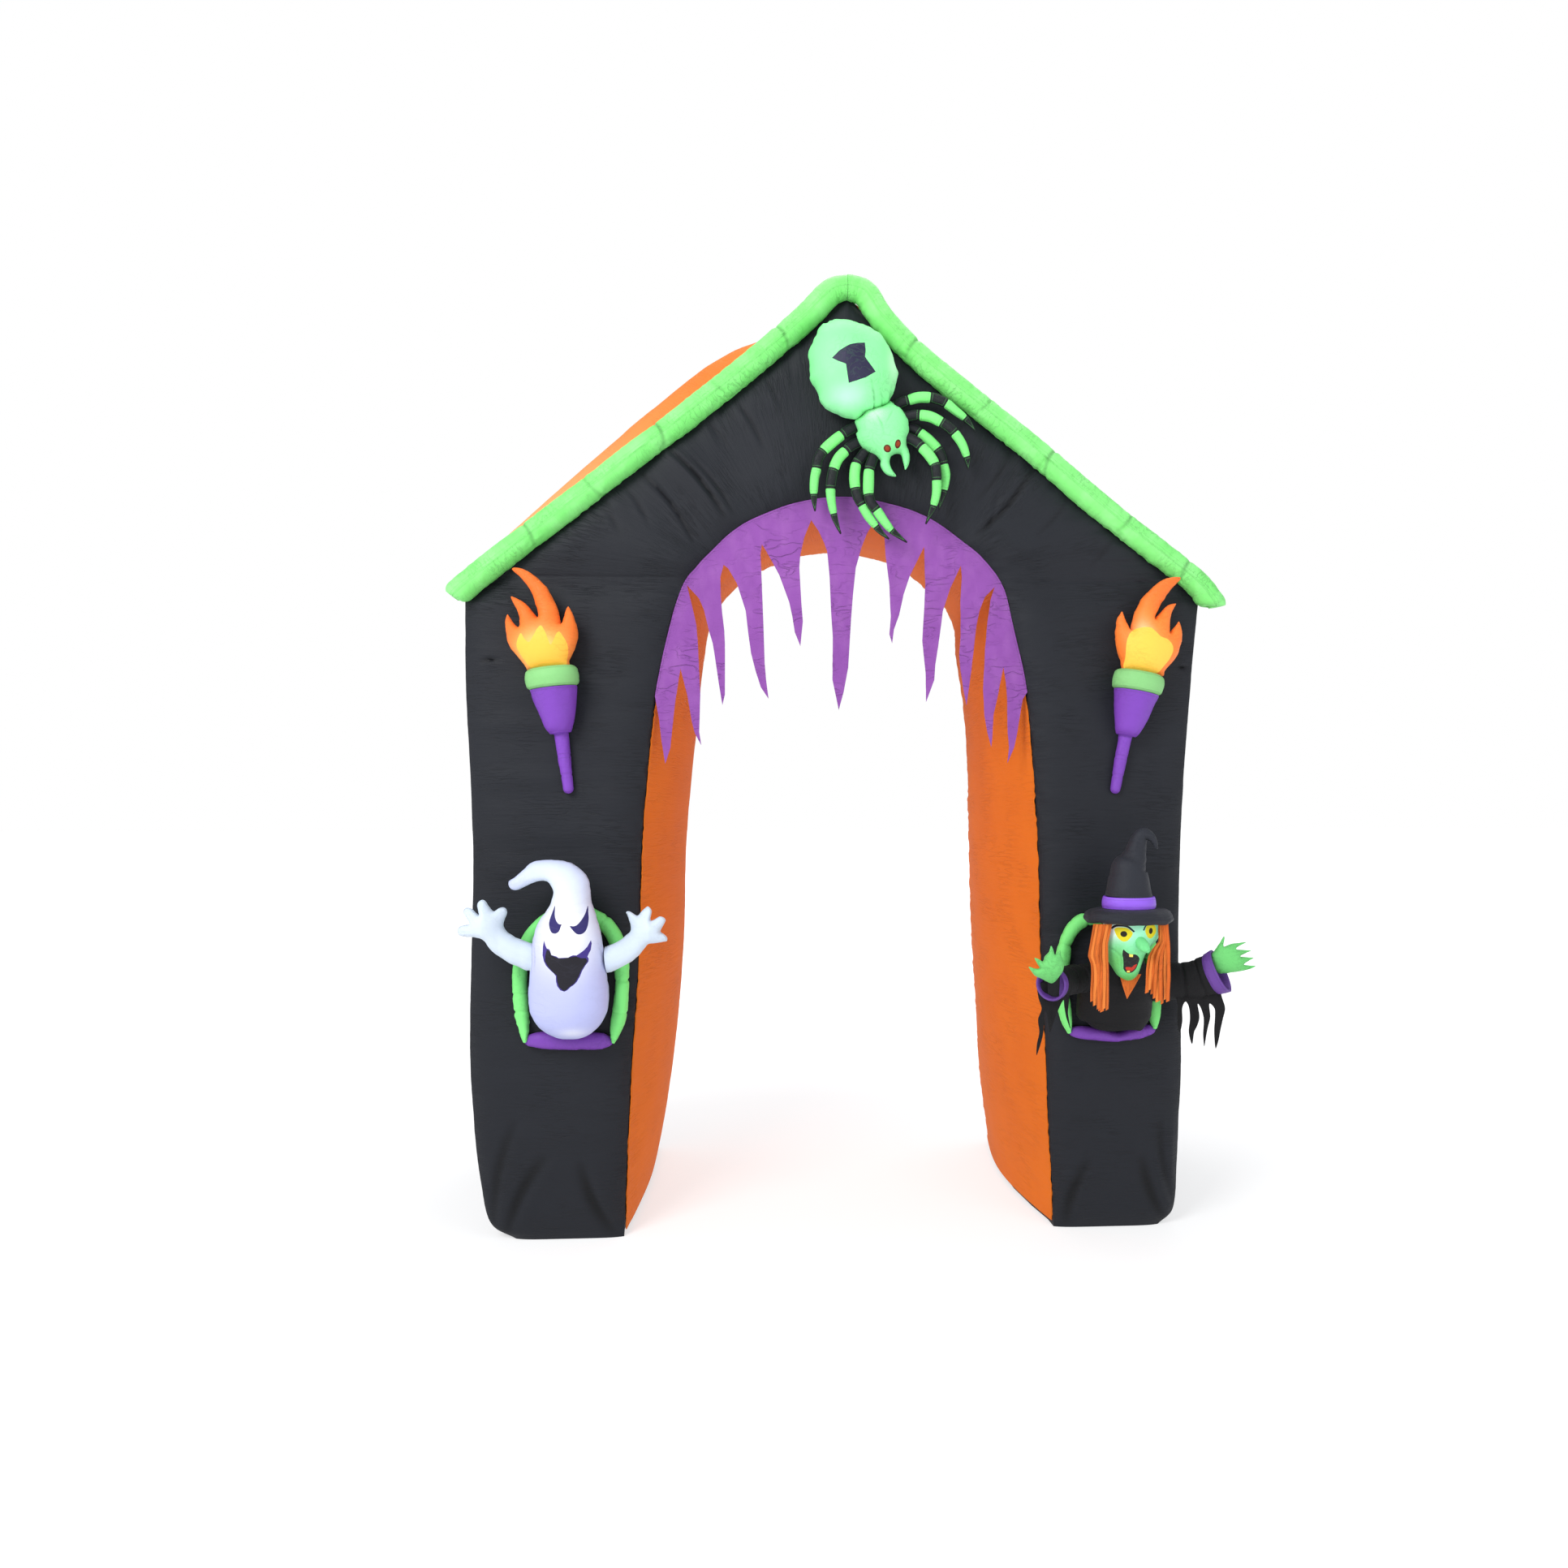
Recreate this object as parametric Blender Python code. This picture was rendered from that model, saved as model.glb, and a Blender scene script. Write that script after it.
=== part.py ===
"""Inflated gable arch for a walk-through entrance, in metres, +Z up, front facing -Y.

One blown-up core stands on two feet. An orange panel lines the opening and two more cover the
roof, a stuffed green trim edges the gable, and an icicle fringe hangs in the front of the opening.
Two torches, a spider, a ghost in a window and a witch in a window are sewn to the front.
Sizes below are measured from the arch's middle, its front and back seams, and the floor.
"""
import math

import bmesh
import bpy
from mathutils import Matrix, Vector

# Driving dimensions
DEPTH = 0.84
FRONT_SEAM = -DEPTH / 2
BACK_SEAM = DEPTH / 2
FRONT_CROWN = 0.03
BACK_CROWN = 0.03
GAP = 0.0004
SHEET = 0.002
PANEL = 0.003
PANEL_LIFT = 0.3
WALL = FRONT_SEAM - FRONT_CROWN - GAP
MIDDLE = (0.0121, -0.1312)

# Places of the samples across each wall of the core, from one seam to the next
FACE_SAMPLES = (0.0, 0.08, 0.3, 0.5, 0.7, 0.92)
BACK_SAMPLES = (0.0, 0.1, 0.5, 0.9)
WALL_SAMPLES = (0.0, 0.01, 0.12, 0.3, 0.5, 0.7, 0.88, 0.99)

# One row for each cross-section of the core, from the left foot over the apex to the right foot.
# The front seams run through in_x, in_z beside the opening and out_x, out_z on the outside.
# lean is how far the opening's back seam stands into the opening, and soffit, crown and face are
# the pillow heights of the opening's wall, of the side or roof, and of the front.
SECTION_COLUMNS = ("in_x", "in_z", "out_x", "out_z", "lean", "soffit", "crown", "face")
SECTIONS = (
    (-0.628, 0.000, -0.930, 0.000, 0.000, 0.012, 0.010, 0.010),
    (-0.627, 0.045, -1.000, 0.045, 0.005, 0.020, 0.020, 0.022),
    (-0.624, 0.150, -1.027, 0.150, 0.015, 0.035, 0.030, 0.030),
    (-0.619, 0.300, -1.045, 0.300, 0.025, 0.050, 0.045, 0.030),
    (-0.608, 0.520, -1.059, 0.520, 0.040, 0.055, 0.050, 0.030),
    (-0.590, 0.800, -1.055, 0.800, 0.045, 0.055, 0.050, 0.030),
    (-0.583, 1.080, -1.050, 1.080, 0.045, 0.055, 0.050, 0.030),
    (-0.565, 1.320, -1.058, 1.320, 0.050, 0.050, 0.050, 0.030),
    (-0.541, 1.540, -1.070, 1.560, 0.050, 0.045, 0.050, 0.030),
    (-0.500, 1.735, -1.072, 1.800, 0.035, 0.030, 0.045, 0.030),
    (-0.464, 1.850, -1.000, 1.862, 0.020, 0.020, 0.150, 0.014),
    (-0.425, 1.905, -0.800, 2.020, 0.010, 0.020, 0.190, 0.030),
    (-0.385, 1.949, -0.600, 2.180, 0.000, 0.020, 0.203, 0.016),
    (-0.320, 2.010, -0.530, 2.235, 0.000, 0.020, 0.210, 0.030),
    (-0.250, 2.052, -0.440, 2.305, 0.000, 0.020, 0.214, 0.018),
    (-0.130, 2.096, -0.210, 2.495, 0.000, 0.015, 0.200, 0.030),
    (0.000, 2.112, 0.006, 2.690, 0.000, 0.015, 0.060, 0.030),
    (0.130, 2.094, 0.174, 2.509, 0.000, 0.015, 0.090, 0.030),
    (0.240, 2.056, 0.354, 2.364, 0.000, 0.020, 0.150, 0.030),
    (0.335, 1.992, 0.530, 2.228, 0.010, 0.020, 0.170, 0.016),
    (0.400, 1.940, 0.740, 2.055, 0.015, 0.025, 0.140, 0.030),
    (0.458, 1.860, 0.980, 1.873, 0.030, 0.030, 0.060, 0.014),
    (0.488, 1.745, 1.035, 1.815, 0.050, 0.045, 0.040, 0.030),
    (0.527, 1.570, 1.015, 1.600, 0.062, 0.050, 0.050, 0.030),
    (0.550, 1.350, 0.995, 1.350, 0.070, 0.055, 0.050, 0.030),
    (0.566, 1.100, 0.982, 1.100, 0.081, 0.060, 0.050, 0.030),
    (0.574, 0.800, 0.977, 0.800, 0.081, 0.060, 0.050, 0.030),
    (0.588, 0.500, 0.985, 0.500, 0.078, 0.060, 0.050, 0.030),
    (0.597, 0.280, 0.976, 0.280, 0.074, 0.055, 0.045, 0.030),
    (0.605, 0.140, 0.970, 0.140, 0.066, 0.050, 0.030, 0.030),
    (0.607, 0.045, 0.960, 0.045, 0.056, 0.046, 0.020, 0.022),
    (0.607, 0.000, 0.915, 0.000, 0.054, 0.044, 0.010, 0.010),
)
LEFT_EAVE, APEX, RIGHT_EAVE = 9, 16, 22
GABLE_STEPS = 2

TRIM_RADIUS = 0.0343
TRIM_OUT = 0.0320
TRIM_FORWARD = 0.014
# At the ridge the trim's line starts level, this far above the seam, and drops over this reach
TRIM_PEAK = {"rise": 0.018, "reach": 0.085, "drop": 0.052}
TRIM_OVERHANG = {"left": 0.040, "right": 0.105}
# The plane that closes each trim's end below the eave: a point as x, z, and its outward direction
TRIM_ENDS = {"left": ((-1.086, 1.800), (-0.62, -0.78)), "right": ((1.070, 1.799), (0.19, -0.98))}
# Distances down the slope, from the apex, at which a stitched pinch draws the trim in
TRIM_PINCHES = {"left": (0.25, 0.47, 0.70, 0.93, 1.16), "right": (0.27, 0.52, 0.78, 1.05, 1.28)}
TRIM_PINCH_DEPTH = 0.16
TRIM_PINCH_REACH = 0.022

# The icicle fringe: its lower edge as x, z from its left end to its right end, and the ends' heights
FRINGE_EDGE = (
    (-0.530, 1.473), (-0.522, 1.404), (-0.512, 1.344), (-0.498, 1.388), (-0.490, 1.466),
    (-0.485, 1.513), (-0.469, 1.615), (-0.450, 1.541), (-0.437, 1.464), (-0.428, 1.430),
    (-0.410, 1.396), (-0.416, 1.434), (-0.413, 1.541), (-0.417, 1.624), (-0.420, 1.687),
    (-0.424, 1.738), (-0.432, 1.775), (-0.451, 1.853), (-0.417, 1.816), (-0.403, 1.784),
    (-0.388, 1.722), (-0.377, 1.686), (-0.369, 1.631), (-0.360, 1.571), (-0.350, 1.511),
    (-0.343, 1.541), (-0.343, 1.683), (-0.345, 1.724), (-0.351, 1.775), (-0.355, 1.822),
    (-0.356, 1.877), (-0.347, 1.912), (-0.334, 1.902), (-0.309, 1.859), (-0.284, 1.781),
    (-0.277, 1.720), (-0.269, 1.661), (-0.256, 1.610), (-0.241, 1.563), (-0.219, 1.530),
    (-0.226, 1.584), (-0.230, 1.632), (-0.233, 1.725), (-0.240, 1.905), (-0.242, 1.944),
    (-0.238, 1.972), (-0.226, 1.953), (-0.209, 1.923), (-0.188, 1.884), (-0.160, 1.807),
    (-0.151, 1.766), (-0.144, 1.721), (-0.128, 1.681), (-0.124, 1.722), (-0.121, 1.752),
    (-0.125, 1.803), (-0.131, 1.906), (-0.128, 1.945), (-0.117, 1.993), (-0.097, 2.043),
    (-0.076, 2.012), (-0.059, 1.976), (-0.051, 1.953), (-0.044, 1.879), (-0.040, 1.781),
    (-0.035, 1.708), (-0.036, 1.585), (-0.026, 1.538), (-0.018, 1.499), (-0.004, 1.550),
    (0.009, 1.620), (0.017, 1.753), (0.023, 1.830), (0.031, 1.907), (0.048, 1.968), (0.063, 2.006),
    (0.087, 2.048), (0.114, 1.997), (0.117, 1.946), (0.128, 1.857), (0.132, 1.768), (0.128, 1.717),
    (0.136, 1.691), (0.141, 1.731), (0.156, 1.773), (0.169, 1.832), (0.187, 1.886), (0.228, 1.970),
    (0.230, 1.910), (0.232, 1.863), (0.228, 1.781), (0.223, 1.699), (0.233, 1.605), (0.234, 1.522),
    (0.245, 1.552), (0.258, 1.586), (0.261, 1.631), (0.269, 1.682), (0.278, 1.746), (0.283, 1.786),
    (0.304, 1.851), (0.335, 1.917), (0.338, 1.885), (0.334, 1.817), (0.334, 1.711), (0.330, 1.657),
    (0.334, 1.612), (0.341, 1.566), (0.351, 1.513), (0.356, 1.549), (0.365, 1.613), (0.380, 1.744),
    (0.389, 1.787), (0.404, 1.826), (0.434, 1.857), (0.421, 1.818), (0.413, 1.756), (0.406, 1.679),
    (0.400, 1.562), (0.404, 1.484), (0.413, 1.432), (0.424, 1.393), (0.427, 1.427), (0.430, 1.484),
    (0.450, 1.580), (0.459, 1.625), (0.467, 1.579), (0.470, 1.510), (0.472, 1.437), (0.476, 1.393),
    (0.471, 1.347), (0.491, 1.393), (0.500, 1.437), (0.515, 1.532),
)
FRINGE_END_Z = {"left": 1.536, "right": 1.552}

# Torches: the handle's foot as x, z, the tilt in degrees, and the way the flame licks
TORCHES = {
    "left": {"foot": (-0.776, 1.259), "tilt": 7.0, "mirror": 1},
    "right": {"foot": (0.776, 1.258), "tilt": -10.5, "mirror": -1},
}
# Their pieces before the tilt, in rows of x, distance off the wall, height, width and depth radius
TORCH_PIECES = {
    "handle": ((0, 0.009, 0.0, 0.0135, 0.0135), (0, 0.012, 0.09, 0.017, 0.017),
               (0, 0.014, 0.170, 0.0205, 0.019)),
    "cup": ((0, 0.020, 0.170 + GAP, 0.028, 0.025), (0, 0.028, 0.184, 0.038, 0.034),
            (0, 0.036, 0.235, 0.052, 0.046), (0, 0.045, 0.295, 0.0645, 0.055)),
    "collar": ((0, 0.045, 0.295 + GAP, 0.0655, 0.057), (0, 0.047, 0.325, 0.073, 0.063),
               (0, 0.045, 0.352, 0.068, 0.059)),
}
FLAME_BALL = ((-0.004, 0.050, 0.352 + GAP, 0.060, 0.050), (-0.008, 0.050, 0.390, 0.082, 0.060),
              (-0.010, 0.050, 0.435, 0.094, 0.062), (-0.008, 0.050, 0.475, 0.080, 0.052),
              (-0.002, 0.050, 0.500, 0.055, 0.040))
FLAME_TONGUES = (
    ((0.014, 0.050, 0.455, 0.036, 0.034), (0.011, 0.050, 0.525, 0.030, 0.028),
     (-0.004, 0.050, 0.577, 0.025, 0.023), (-0.034, 0.050, 0.614, 0.015, 0.015),
     (-0.070, 0.050, 0.635, 0.004, 0.004)),
    ((-0.043, 0.050, 0.460, 0.032, 0.030), (-0.051, 0.050, 0.522, 0.018, 0.018),
     (-0.083, 0.050, 0.560, 0.004, 0.004)),
    ((-0.080, 0.050, 0.435, 0.026, 0.026), (-0.093, 0.050, 0.475, 0.015, 0.015),
     (-0.101, 0.050, 0.510, 0.004, 0.004)),
    ((0.062, 0.050, 0.430, 0.026, 0.026), (0.069, 0.050, 0.475, 0.018, 0.018),
     (0.069, 0.050, 0.513, 0.004, 0.004)),
)

# The spider's ovals: middle as x, distance off the wall, z, then the three half sizes
SPIDER_ABDOMEN = ((0.012, 0.062, 2.436), (0.121, 0.092, 0.137))
SPIDER_HEAD = ((0.100, 0.045, 2.266), (0.076, 0.062, 0.080))
SPIDER_LEAN = 22
# Fangs in rows of x, distance off the wall, z and radius
SPIDER_FANGS = {
    "left": ((0.104, 0.051, 2.215, 0.016), (0.101, 0.051, 2.184, 0.0145), (0.112, 0.051, 2.157, 0.009),
             (0.136, 0.051, 2.140, 0.003)),
    "right": ((0.152, 0.051, 2.235, 0.014), (0.163, 0.051, 2.208, 0.012), (0.167, 0.051, 2.183, 0.009),
              (0.158, 0.051, 2.160, 0.003)),
}
SPIDER_LEG_RADIUS = 0.0145
SPIDER_LEG_TIP = 0.0025
SPIDER_LEG_ROOT = 0.033
# Each leg by four points of its arch after the root, as x, z, and how far it stands off the wall
SPIDER_LEGS = {
    "left_1": ((-0.015, 2.273), (-0.072, 2.222), (-0.092, 2.104), (-0.088, 2.056), 0.030),
    "left_2": ((-0.006, 2.228), (-0.040, 2.170), (-0.036, 2.060), (-0.015, 1.993), 0.032),
    "left_3": ((0.029, 2.188), (0.022, 2.121), (0.068, 2.022), (0.118, 1.978), 0.030),
    "left_4": ((0.064, 2.176), (0.063, 2.101), (0.113, 2.022), (0.172, 1.972), 0.036),
    "right_1": ((0.180, 2.385), (0.250, 2.395), (0.332, 2.342), (0.366, 2.294), 0.026),
    "right_2": ((0.215, 2.337), (0.280, 2.313), (0.341, 2.218), (0.357, 2.177), 0.036),
    "right_3": ((0.214, 2.281), (0.262, 2.232), (0.282, 2.135), (0.267, 2.062), 0.020),
    "right_4": ((0.205, 2.238), (0.243, 2.187), (0.247, 2.090), (0.223, 2.018), 0.055),
}
SPIDER_LEG_ARCH = (0.8, 1.0, 0.7, 0.4)

# Windows: the green tube's path as x, z, and the sill's rows of x, distance off, z and radii
WINDOW_TUBE = {"stand": 0.012, "radius": 0.0205}
WINDOWS = {
    "ghost": {
        "frame": ((-0.884, 0.585), (-0.906, 0.660), (-0.906, 0.772), (-0.888, 0.846), (-0.838, 0.905),
                  (-0.765, 0.935), (-0.700, 0.906), (-0.650, 0.846), (-0.628, 0.760), (-0.634, 0.676),
                  (-0.652, 0.582)),
        "sill": ((-0.898, 0.014, 0.578, 0.015, 0.016), (-0.840, 0.016, 0.575, 0.022, 0.020),
                 (-0.765, 0.016, 0.570, 0.023, 0.020), (-0.700, 0.016, 0.571, 0.022, 0.020),
                 (-0.636, 0.014, 0.572, 0.015, 0.016)),
    },
    "witch": {
        "frame": ((0.648, 0.583), (0.622, 0.650), (0.618, 0.740), (0.630, 0.815), (0.655, 0.868),
                  (0.703, 0.915), (0.770, 0.936), (0.832, 0.905), (0.868, 0.845), (0.882, 0.760),
                  (0.898, 0.665), (0.884, 0.588)),
        "sill": ((0.636, 0.014, 0.577, 0.014, 0.015), (0.690, 0.016, 0.570, 0.021, 0.020),
                 (0.765, 0.016, 0.566, 0.020, 0.020), (0.840, 0.016, 0.572, 0.022, 0.020),
                 (0.900, 0.014, 0.580, 0.014, 0.015)),
    },
}

# The characters, in rows of x, distance off the wall, z, width and depth radius
GHOST_BODY = (
    (-0.760, 0.088, 0.592, 0.060, 0.034), (-0.760, 0.082, 0.640, 0.098, 0.078),
    (-0.760, 0.084, 0.700, 0.109, 0.088), (-0.761, 0.088, 0.780, 0.101, 0.084),
    (-0.760, 0.098, 0.866, 0.088, 0.072), (-0.756, 0.108, 0.925, 0.071, 0.058),
    (-0.748, 0.112, 0.985, 0.052, 0.044), (-0.757, 0.112, 1.030, 0.047, 0.038),
    (-0.802, 0.108, 1.056, 0.033, 0.028), (-0.858, 0.104, 1.043, 0.023, 0.021),
    (-0.914, 0.100, 1.014, 0.014, 0.014),
)
# Hands: palm rows as above, and for each finger its root and tip as x, distance off, z
GHOST_FINGER = {"root": 0.016, "tip": 0.0125}
GHOST_ARMS = {
    "left": {
        "palm": ((-0.80, 0.095, 0.795, 0.034, 0.030), (-0.885, 0.102, 0.806, 0.033, 0.029),
                 (-0.940, 0.116, 0.852, 0.028, 0.026), (-0.967, 0.130, 0.893, 0.030, 0.024),
                 (-0.980, 0.136, 0.930, 0.026, 0.020)),
        "fingers": (((-0.975, 0.134, 0.915), (-0.983, 0.138, 0.975)),
                    ((-0.965, 0.134, 0.910), (-0.925, 0.138, 0.952)),
                    ((-0.978, 0.134, 0.910), (-1.011, 0.138, 0.944)),
                    ((-0.970, 0.132, 0.900), (-1.019, 0.136, 0.893))),
    },
    "right": {
        "palm": ((-0.72, 0.095, 0.790, 0.034, 0.030), (-0.632, 0.102, 0.812, 0.033, 0.029),
                 (-0.576, 0.116, 0.850, 0.028, 0.026), (-0.547, 0.130, 0.886, 0.030, 0.024),
                 (-0.538, 0.136, 0.918, 0.026, 0.020)),
        "fingers": (((-0.548, 0.134, 0.895), (-0.596, 0.138, 0.937)),
                    ((-0.540, 0.134, 0.905), (-0.539, 0.138, 0.955)),
                    ((-0.538, 0.134, 0.900), (-0.500, 0.138, 0.926)),
                    ((-0.545, 0.132, 0.888), (-0.489, 0.136, 0.866))),
    },
}
WITCH_HEAD = ((0.782, 0.162, 0.742, 0.030, 0.028), (0.786, 0.154, 0.775, 0.058, 0.052),
              (0.786, 0.150, 0.822, 0.074, 0.066), (0.786, 0.150, 0.870, 0.076, 0.068),
              (0.786, 0.150, 0.9045, 0.068, 0.062))
WITCH_NOSE = ((0.803, 0.200, 0.862, 0.012), (0.808, 0.224, 0.846, 0.014), (0.822, 0.242, 0.824, 0.010),
              (0.832, 0.248, 0.808, 0.004))
WITCH_ROBE = ((0.765, 0.040, 0.592, 0.080, 0.030), (0.765, 0.044, 0.625, 0.106, 0.048),
              (0.765, 0.052, 0.690, 0.108, 0.060), (0.770, 0.070, 0.748, 0.100, 0.062),
              (0.778, 0.100, 0.790, 0.062, 0.044), (0.780, 0.120, 0.815, 0.036, 0.030))
HAT_BRIM = ((0.779, 0.148, 0.905, 0.092, 0.075), (0.779, 0.148, 0.909, 0.118, 0.096),
            (0.779, 0.148, 0.919, 0.126, 0.103), (0.779, 0.148, 0.929, 0.118, 0.096),
            (0.779, 0.148, 0.934, 0.085, 0.070))
HAT_BAND = ((0.779, 0.148, 0.934 + GAP, 0.074, 0.064), (0.779, 0.148, 0.966, 0.072, 0.062))
HAT_CROWN = ((0.779, 0.148, 0.956, 0.072, 0.062), (0.782, 0.148, 1.001, 0.060, 0.052),
             (0.789, 0.148, 1.056, 0.040, 0.036), (0.799, 0.152, 1.106, 0.026, 0.024),
             (0.815, 0.158, 1.138, 0.019, 0.018), (0.839, 0.162, 1.132, 0.013, 0.012),
             (0.853, 0.164, 1.102, 0.005, 0.005))
WITCH_SLEEVES = {
    "left": ((0.705, 0.055, 0.735, 0.040, 0.036), (0.640, 0.105, 0.740, 0.040, 0.038),
             (0.588, 0.160, 0.742, 0.040, 0.040), (0.562, 0.192, 0.743, 0.040, 0.040)),
    "right": ((0.830, 0.055, 0.715, 0.045, 0.036), (0.920, 0.062, 0.716, 0.046, 0.040),
              (0.985, 0.074, 0.728, 0.050, 0.044), (1.040, 0.088, 0.746, 0.055, 0.048)),
}
WITCH_CUFFS = {
    "left": ((0.5615, 0.1927, 0.743, 0.043, 0.042), (0.5464, 0.2120, 0.7436, 0.045, 0.044)),
    "right": ((1.0404, 0.0882, 0.7462, 0.060, 0.052), (1.066, 0.095, 0.7553, 0.062, 0.053)),
}
WITCH_FINGER = {"root": 0.012, "tip": 0.003}
WITCH_HANDS = {
    "left": {
        "palm": ((0.5458, 0.2128, 0.7436, 0.020, 0.020), (0.542, 0.232, 0.757, 0.026, 0.022),
                 (0.538, 0.246, 0.782, 0.034, 0.020), (0.535, 0.250, 0.806, 0.026, 0.016)),
        "fingers": (((0.541, 0.249, 0.795), (0.541, 0.256, 0.852)),
                    ((0.530, 0.249, 0.795), (0.502, 0.256, 0.828)),
                    ((0.526, 0.248, 0.785), (0.478, 0.254, 0.798)),
                    ((0.553, 0.248, 0.785), (0.575, 0.254, 0.832))),
    },
    "right": {
        "palm": ((1.0664, 0.0952, 0.7554, 0.024, 0.022), (1.078, 0.100, 0.775, 0.036, 0.024),
                 (1.086, 0.104, 0.792, 0.038, 0.020), (1.096, 0.106, 0.806, 0.026, 0.016)),
        "fingers": (((1.074, 0.103, 0.795), (1.064, 0.110, 0.858)),
                    ((1.090, 0.104, 0.802), (1.127, 0.110, 0.842)),
                    ((1.095, 0.104, 0.796), (1.139, 0.110, 0.818)),
                    ((1.095, 0.103, 0.788), (1.151, 0.110, 0.796)),
                    ((1.092, 0.102, 0.778), (1.150, 0.108, 0.768))),
    },
}
# Rags under each sleeve: the hidden top edge's ends and the tips as x, z, the notches' height, and
# how far off the wall the cloth hangs
WITCH_RAGS = {
    "left": ((0.524, 0.720), (0.578, 0.720), ((0.512, 0.556), (0.548, 0.600)), 0.690, 0.180),
    "right": ((0.945, 0.705), (1.062, 0.720), ((0.984, 0.549), (1.022, 0.541), (1.054, 0.536)), 0.660,
              0.085),
}
# Hair: the comb's left edge, and each strip's foot height and sideways drift
HAIR_TOP = 0.9046
HAIR_STAND = 0.200
HAIR_STRIP = {"width": 0.0135, "gap": 0.0020, "heading": 0.020}
WITCH_HAIR = {
    "left": (0.664, ((0.668, -0.004), (0.660, 0.0), (0.655, 0.002), (0.664, 0.003))),
    "right": (0.838, ((0.700, -0.014), (0.685, -0.004), (0.680, 0.002), (0.690, 0.006))),
}
WITCH_COLLAR = ((0.751, 0.760), (0.778, 0.688), (0.812, 0.760))

# Each fabric's linear colour and roughness
FABRICS = {
    "black_nylon": ((0.028, 0.030, 0.036), 0.55),
    "orange_nylon": ((0.80, 0.21, 0.035), 0.55),
    "lime_nylon": ((0.22, 0.86, 0.15), 0.50),
    "purple_nylon": ((0.26, 0.06, 0.62), 0.50),
    "violet_cloth": ((0.38, 0.11, 0.50), 0.75),
    "white_nylon": ((0.86, 0.87, 0.95), 0.50),
    "flame_nylon": ((1.0, 0.26, 0.04), 0.50),
    "hair_cloth": ((0.88, 0.20, 0.03), 0.70),
}


def clear_scene():
    for old in list(bpy.data.objects):
        bpy.data.objects.remove(old, do_unlink=True)


def new_collection(name):
    collection = bpy.data.collections.new(name)
    bpy.context.scene.collection.children.link(collection)
    return collection


def fabric(name):
    """The Principled material of one fabric, made once."""
    found = bpy.data.materials.get(name)
    if found:
        return found
    colour, roughness = FABRICS[name]
    material = bpy.data.materials.new(name)
    material.use_nodes = True
    shader = material.node_tree.nodes["Principled BSDF"]
    shader.inputs["Base Color"].default_value = (*colour, 1.0)
    shader.inputs["Roughness"].default_value = roughness
    shader.inputs["Metallic"].default_value = 0.0
    return material


def add_object(name, data, cloth):
    data.materials.clear()
    data.materials.append(fabric(cloth))
    obj = bpy.data.objects.new(name, data)
    PARTS.objects.link(obj)
    obj.parent = ORIGIN
    return obj


def mesh_object(name, bm, cloth):
    """Turns a closed bmesh into an object, with its faces pointing out."""
    bmesh.ops.recalc_face_normals(bm, faces=bm.faces)
    mesh = bpy.data.meshes.new(name)
    bm.to_mesh(mesh)
    bm.free()
    mesh.shade_smooth()
    mesh.set_sharp_from_angle(angle=math.radians(50))
    return add_object(name, mesh, cloth)


def make_mesh(obj):
    """Replaces an object by the mesh it evaluates to, so that it can be cut or joined."""
    bpy.context.view_layer.update()
    evaluated = obj.evaluated_get(bpy.context.evaluated_depsgraph_get())
    mesh = bpy.data.meshes.new_from_object(evaluated)
    bm = bmesh.new()
    bm.from_mesh(mesh)
    bmesh.ops.remove_doubles(bm, verts=bm.verts, dist=1e-5)
    bm.to_mesh(mesh)
    bm.free()
    name, matrix, cloth = obj.name, obj.matrix_world.copy(), obj.data.materials[0].name
    bpy.data.objects.remove(obj, do_unlink=True)
    made = add_object(name, mesh, cloth)
    made.matrix_world = matrix
    return made


def combine(obj, other, operation):
    """Joins another solid into an object, or cuts it away, and returns the object as a mesh."""
    tool = obj.modifiers.new(operation.title(), "BOOLEAN")
    tool.operation = operation
    tool.solver = "EXACT"
    tool.object = other
    return make_mesh(obj)


def fuse(obj, others):
    for other in others:
        obj = combine(obj, other, "UNION")
        bpy.data.objects.remove(other, do_unlink=True)
    return obj


def carve(obj, neighbour, gap=GAP):
    """Cuts a neighbour's shape, grown by the gap, out of an object that is sewn to it."""
    mesh = neighbour.data.copy()
    bm = bmesh.new()
    bm.from_mesh(mesh)
    bm.normal_update()
    grown = [vertex.co + vertex.normal * gap * 1.2 for vertex in bm.verts]
    for vertex, place in zip(bm.verts, grown):
        vertex.co = place
    bm.to_mesh(mesh)
    bm.free()
    cutter = bpy.data.objects.new(neighbour.name + "_cutter", mesh)
    CUTTERS.objects.link(cutter)
    cutter.hide_render = True
    cutter.display_type = "WIRE"
    cutter.parent = ORIGIN
    cutter.matrix_world = neighbour.matrix_world
    obj = combine(obj, cutter, "DIFFERENCE")
    bpy.data.objects.remove(cutter, do_unlink=True)
    return obj


def cut_flat(obj, point, normal):
    """Cuts an object's mesh flat at a plane in its own space and closes it there."""
    bm = bmesh.new()
    bm.from_mesh(obj.data)
    geometry = list(bm.verts) + list(bm.edges) + list(bm.faces)
    bmesh.ops.bisect_plane(bm, geom=geometry, plane_co=point, plane_no=normal, clear_outer=True)
    rim = [edge for edge in bm.edges if edge.is_boundary]
    bmesh.ops.holes_fill(bm, edges=rim, sides=0)
    bmesh.ops.recalc_face_normals(bm, faces=bm.faces)
    bm.to_mesh(obj.data)
    bm.free()
    return obj


def sew_to_wall(obj):
    return cut_flat(obj, (0, WALL, 0), (0, 1, 0))


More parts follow.
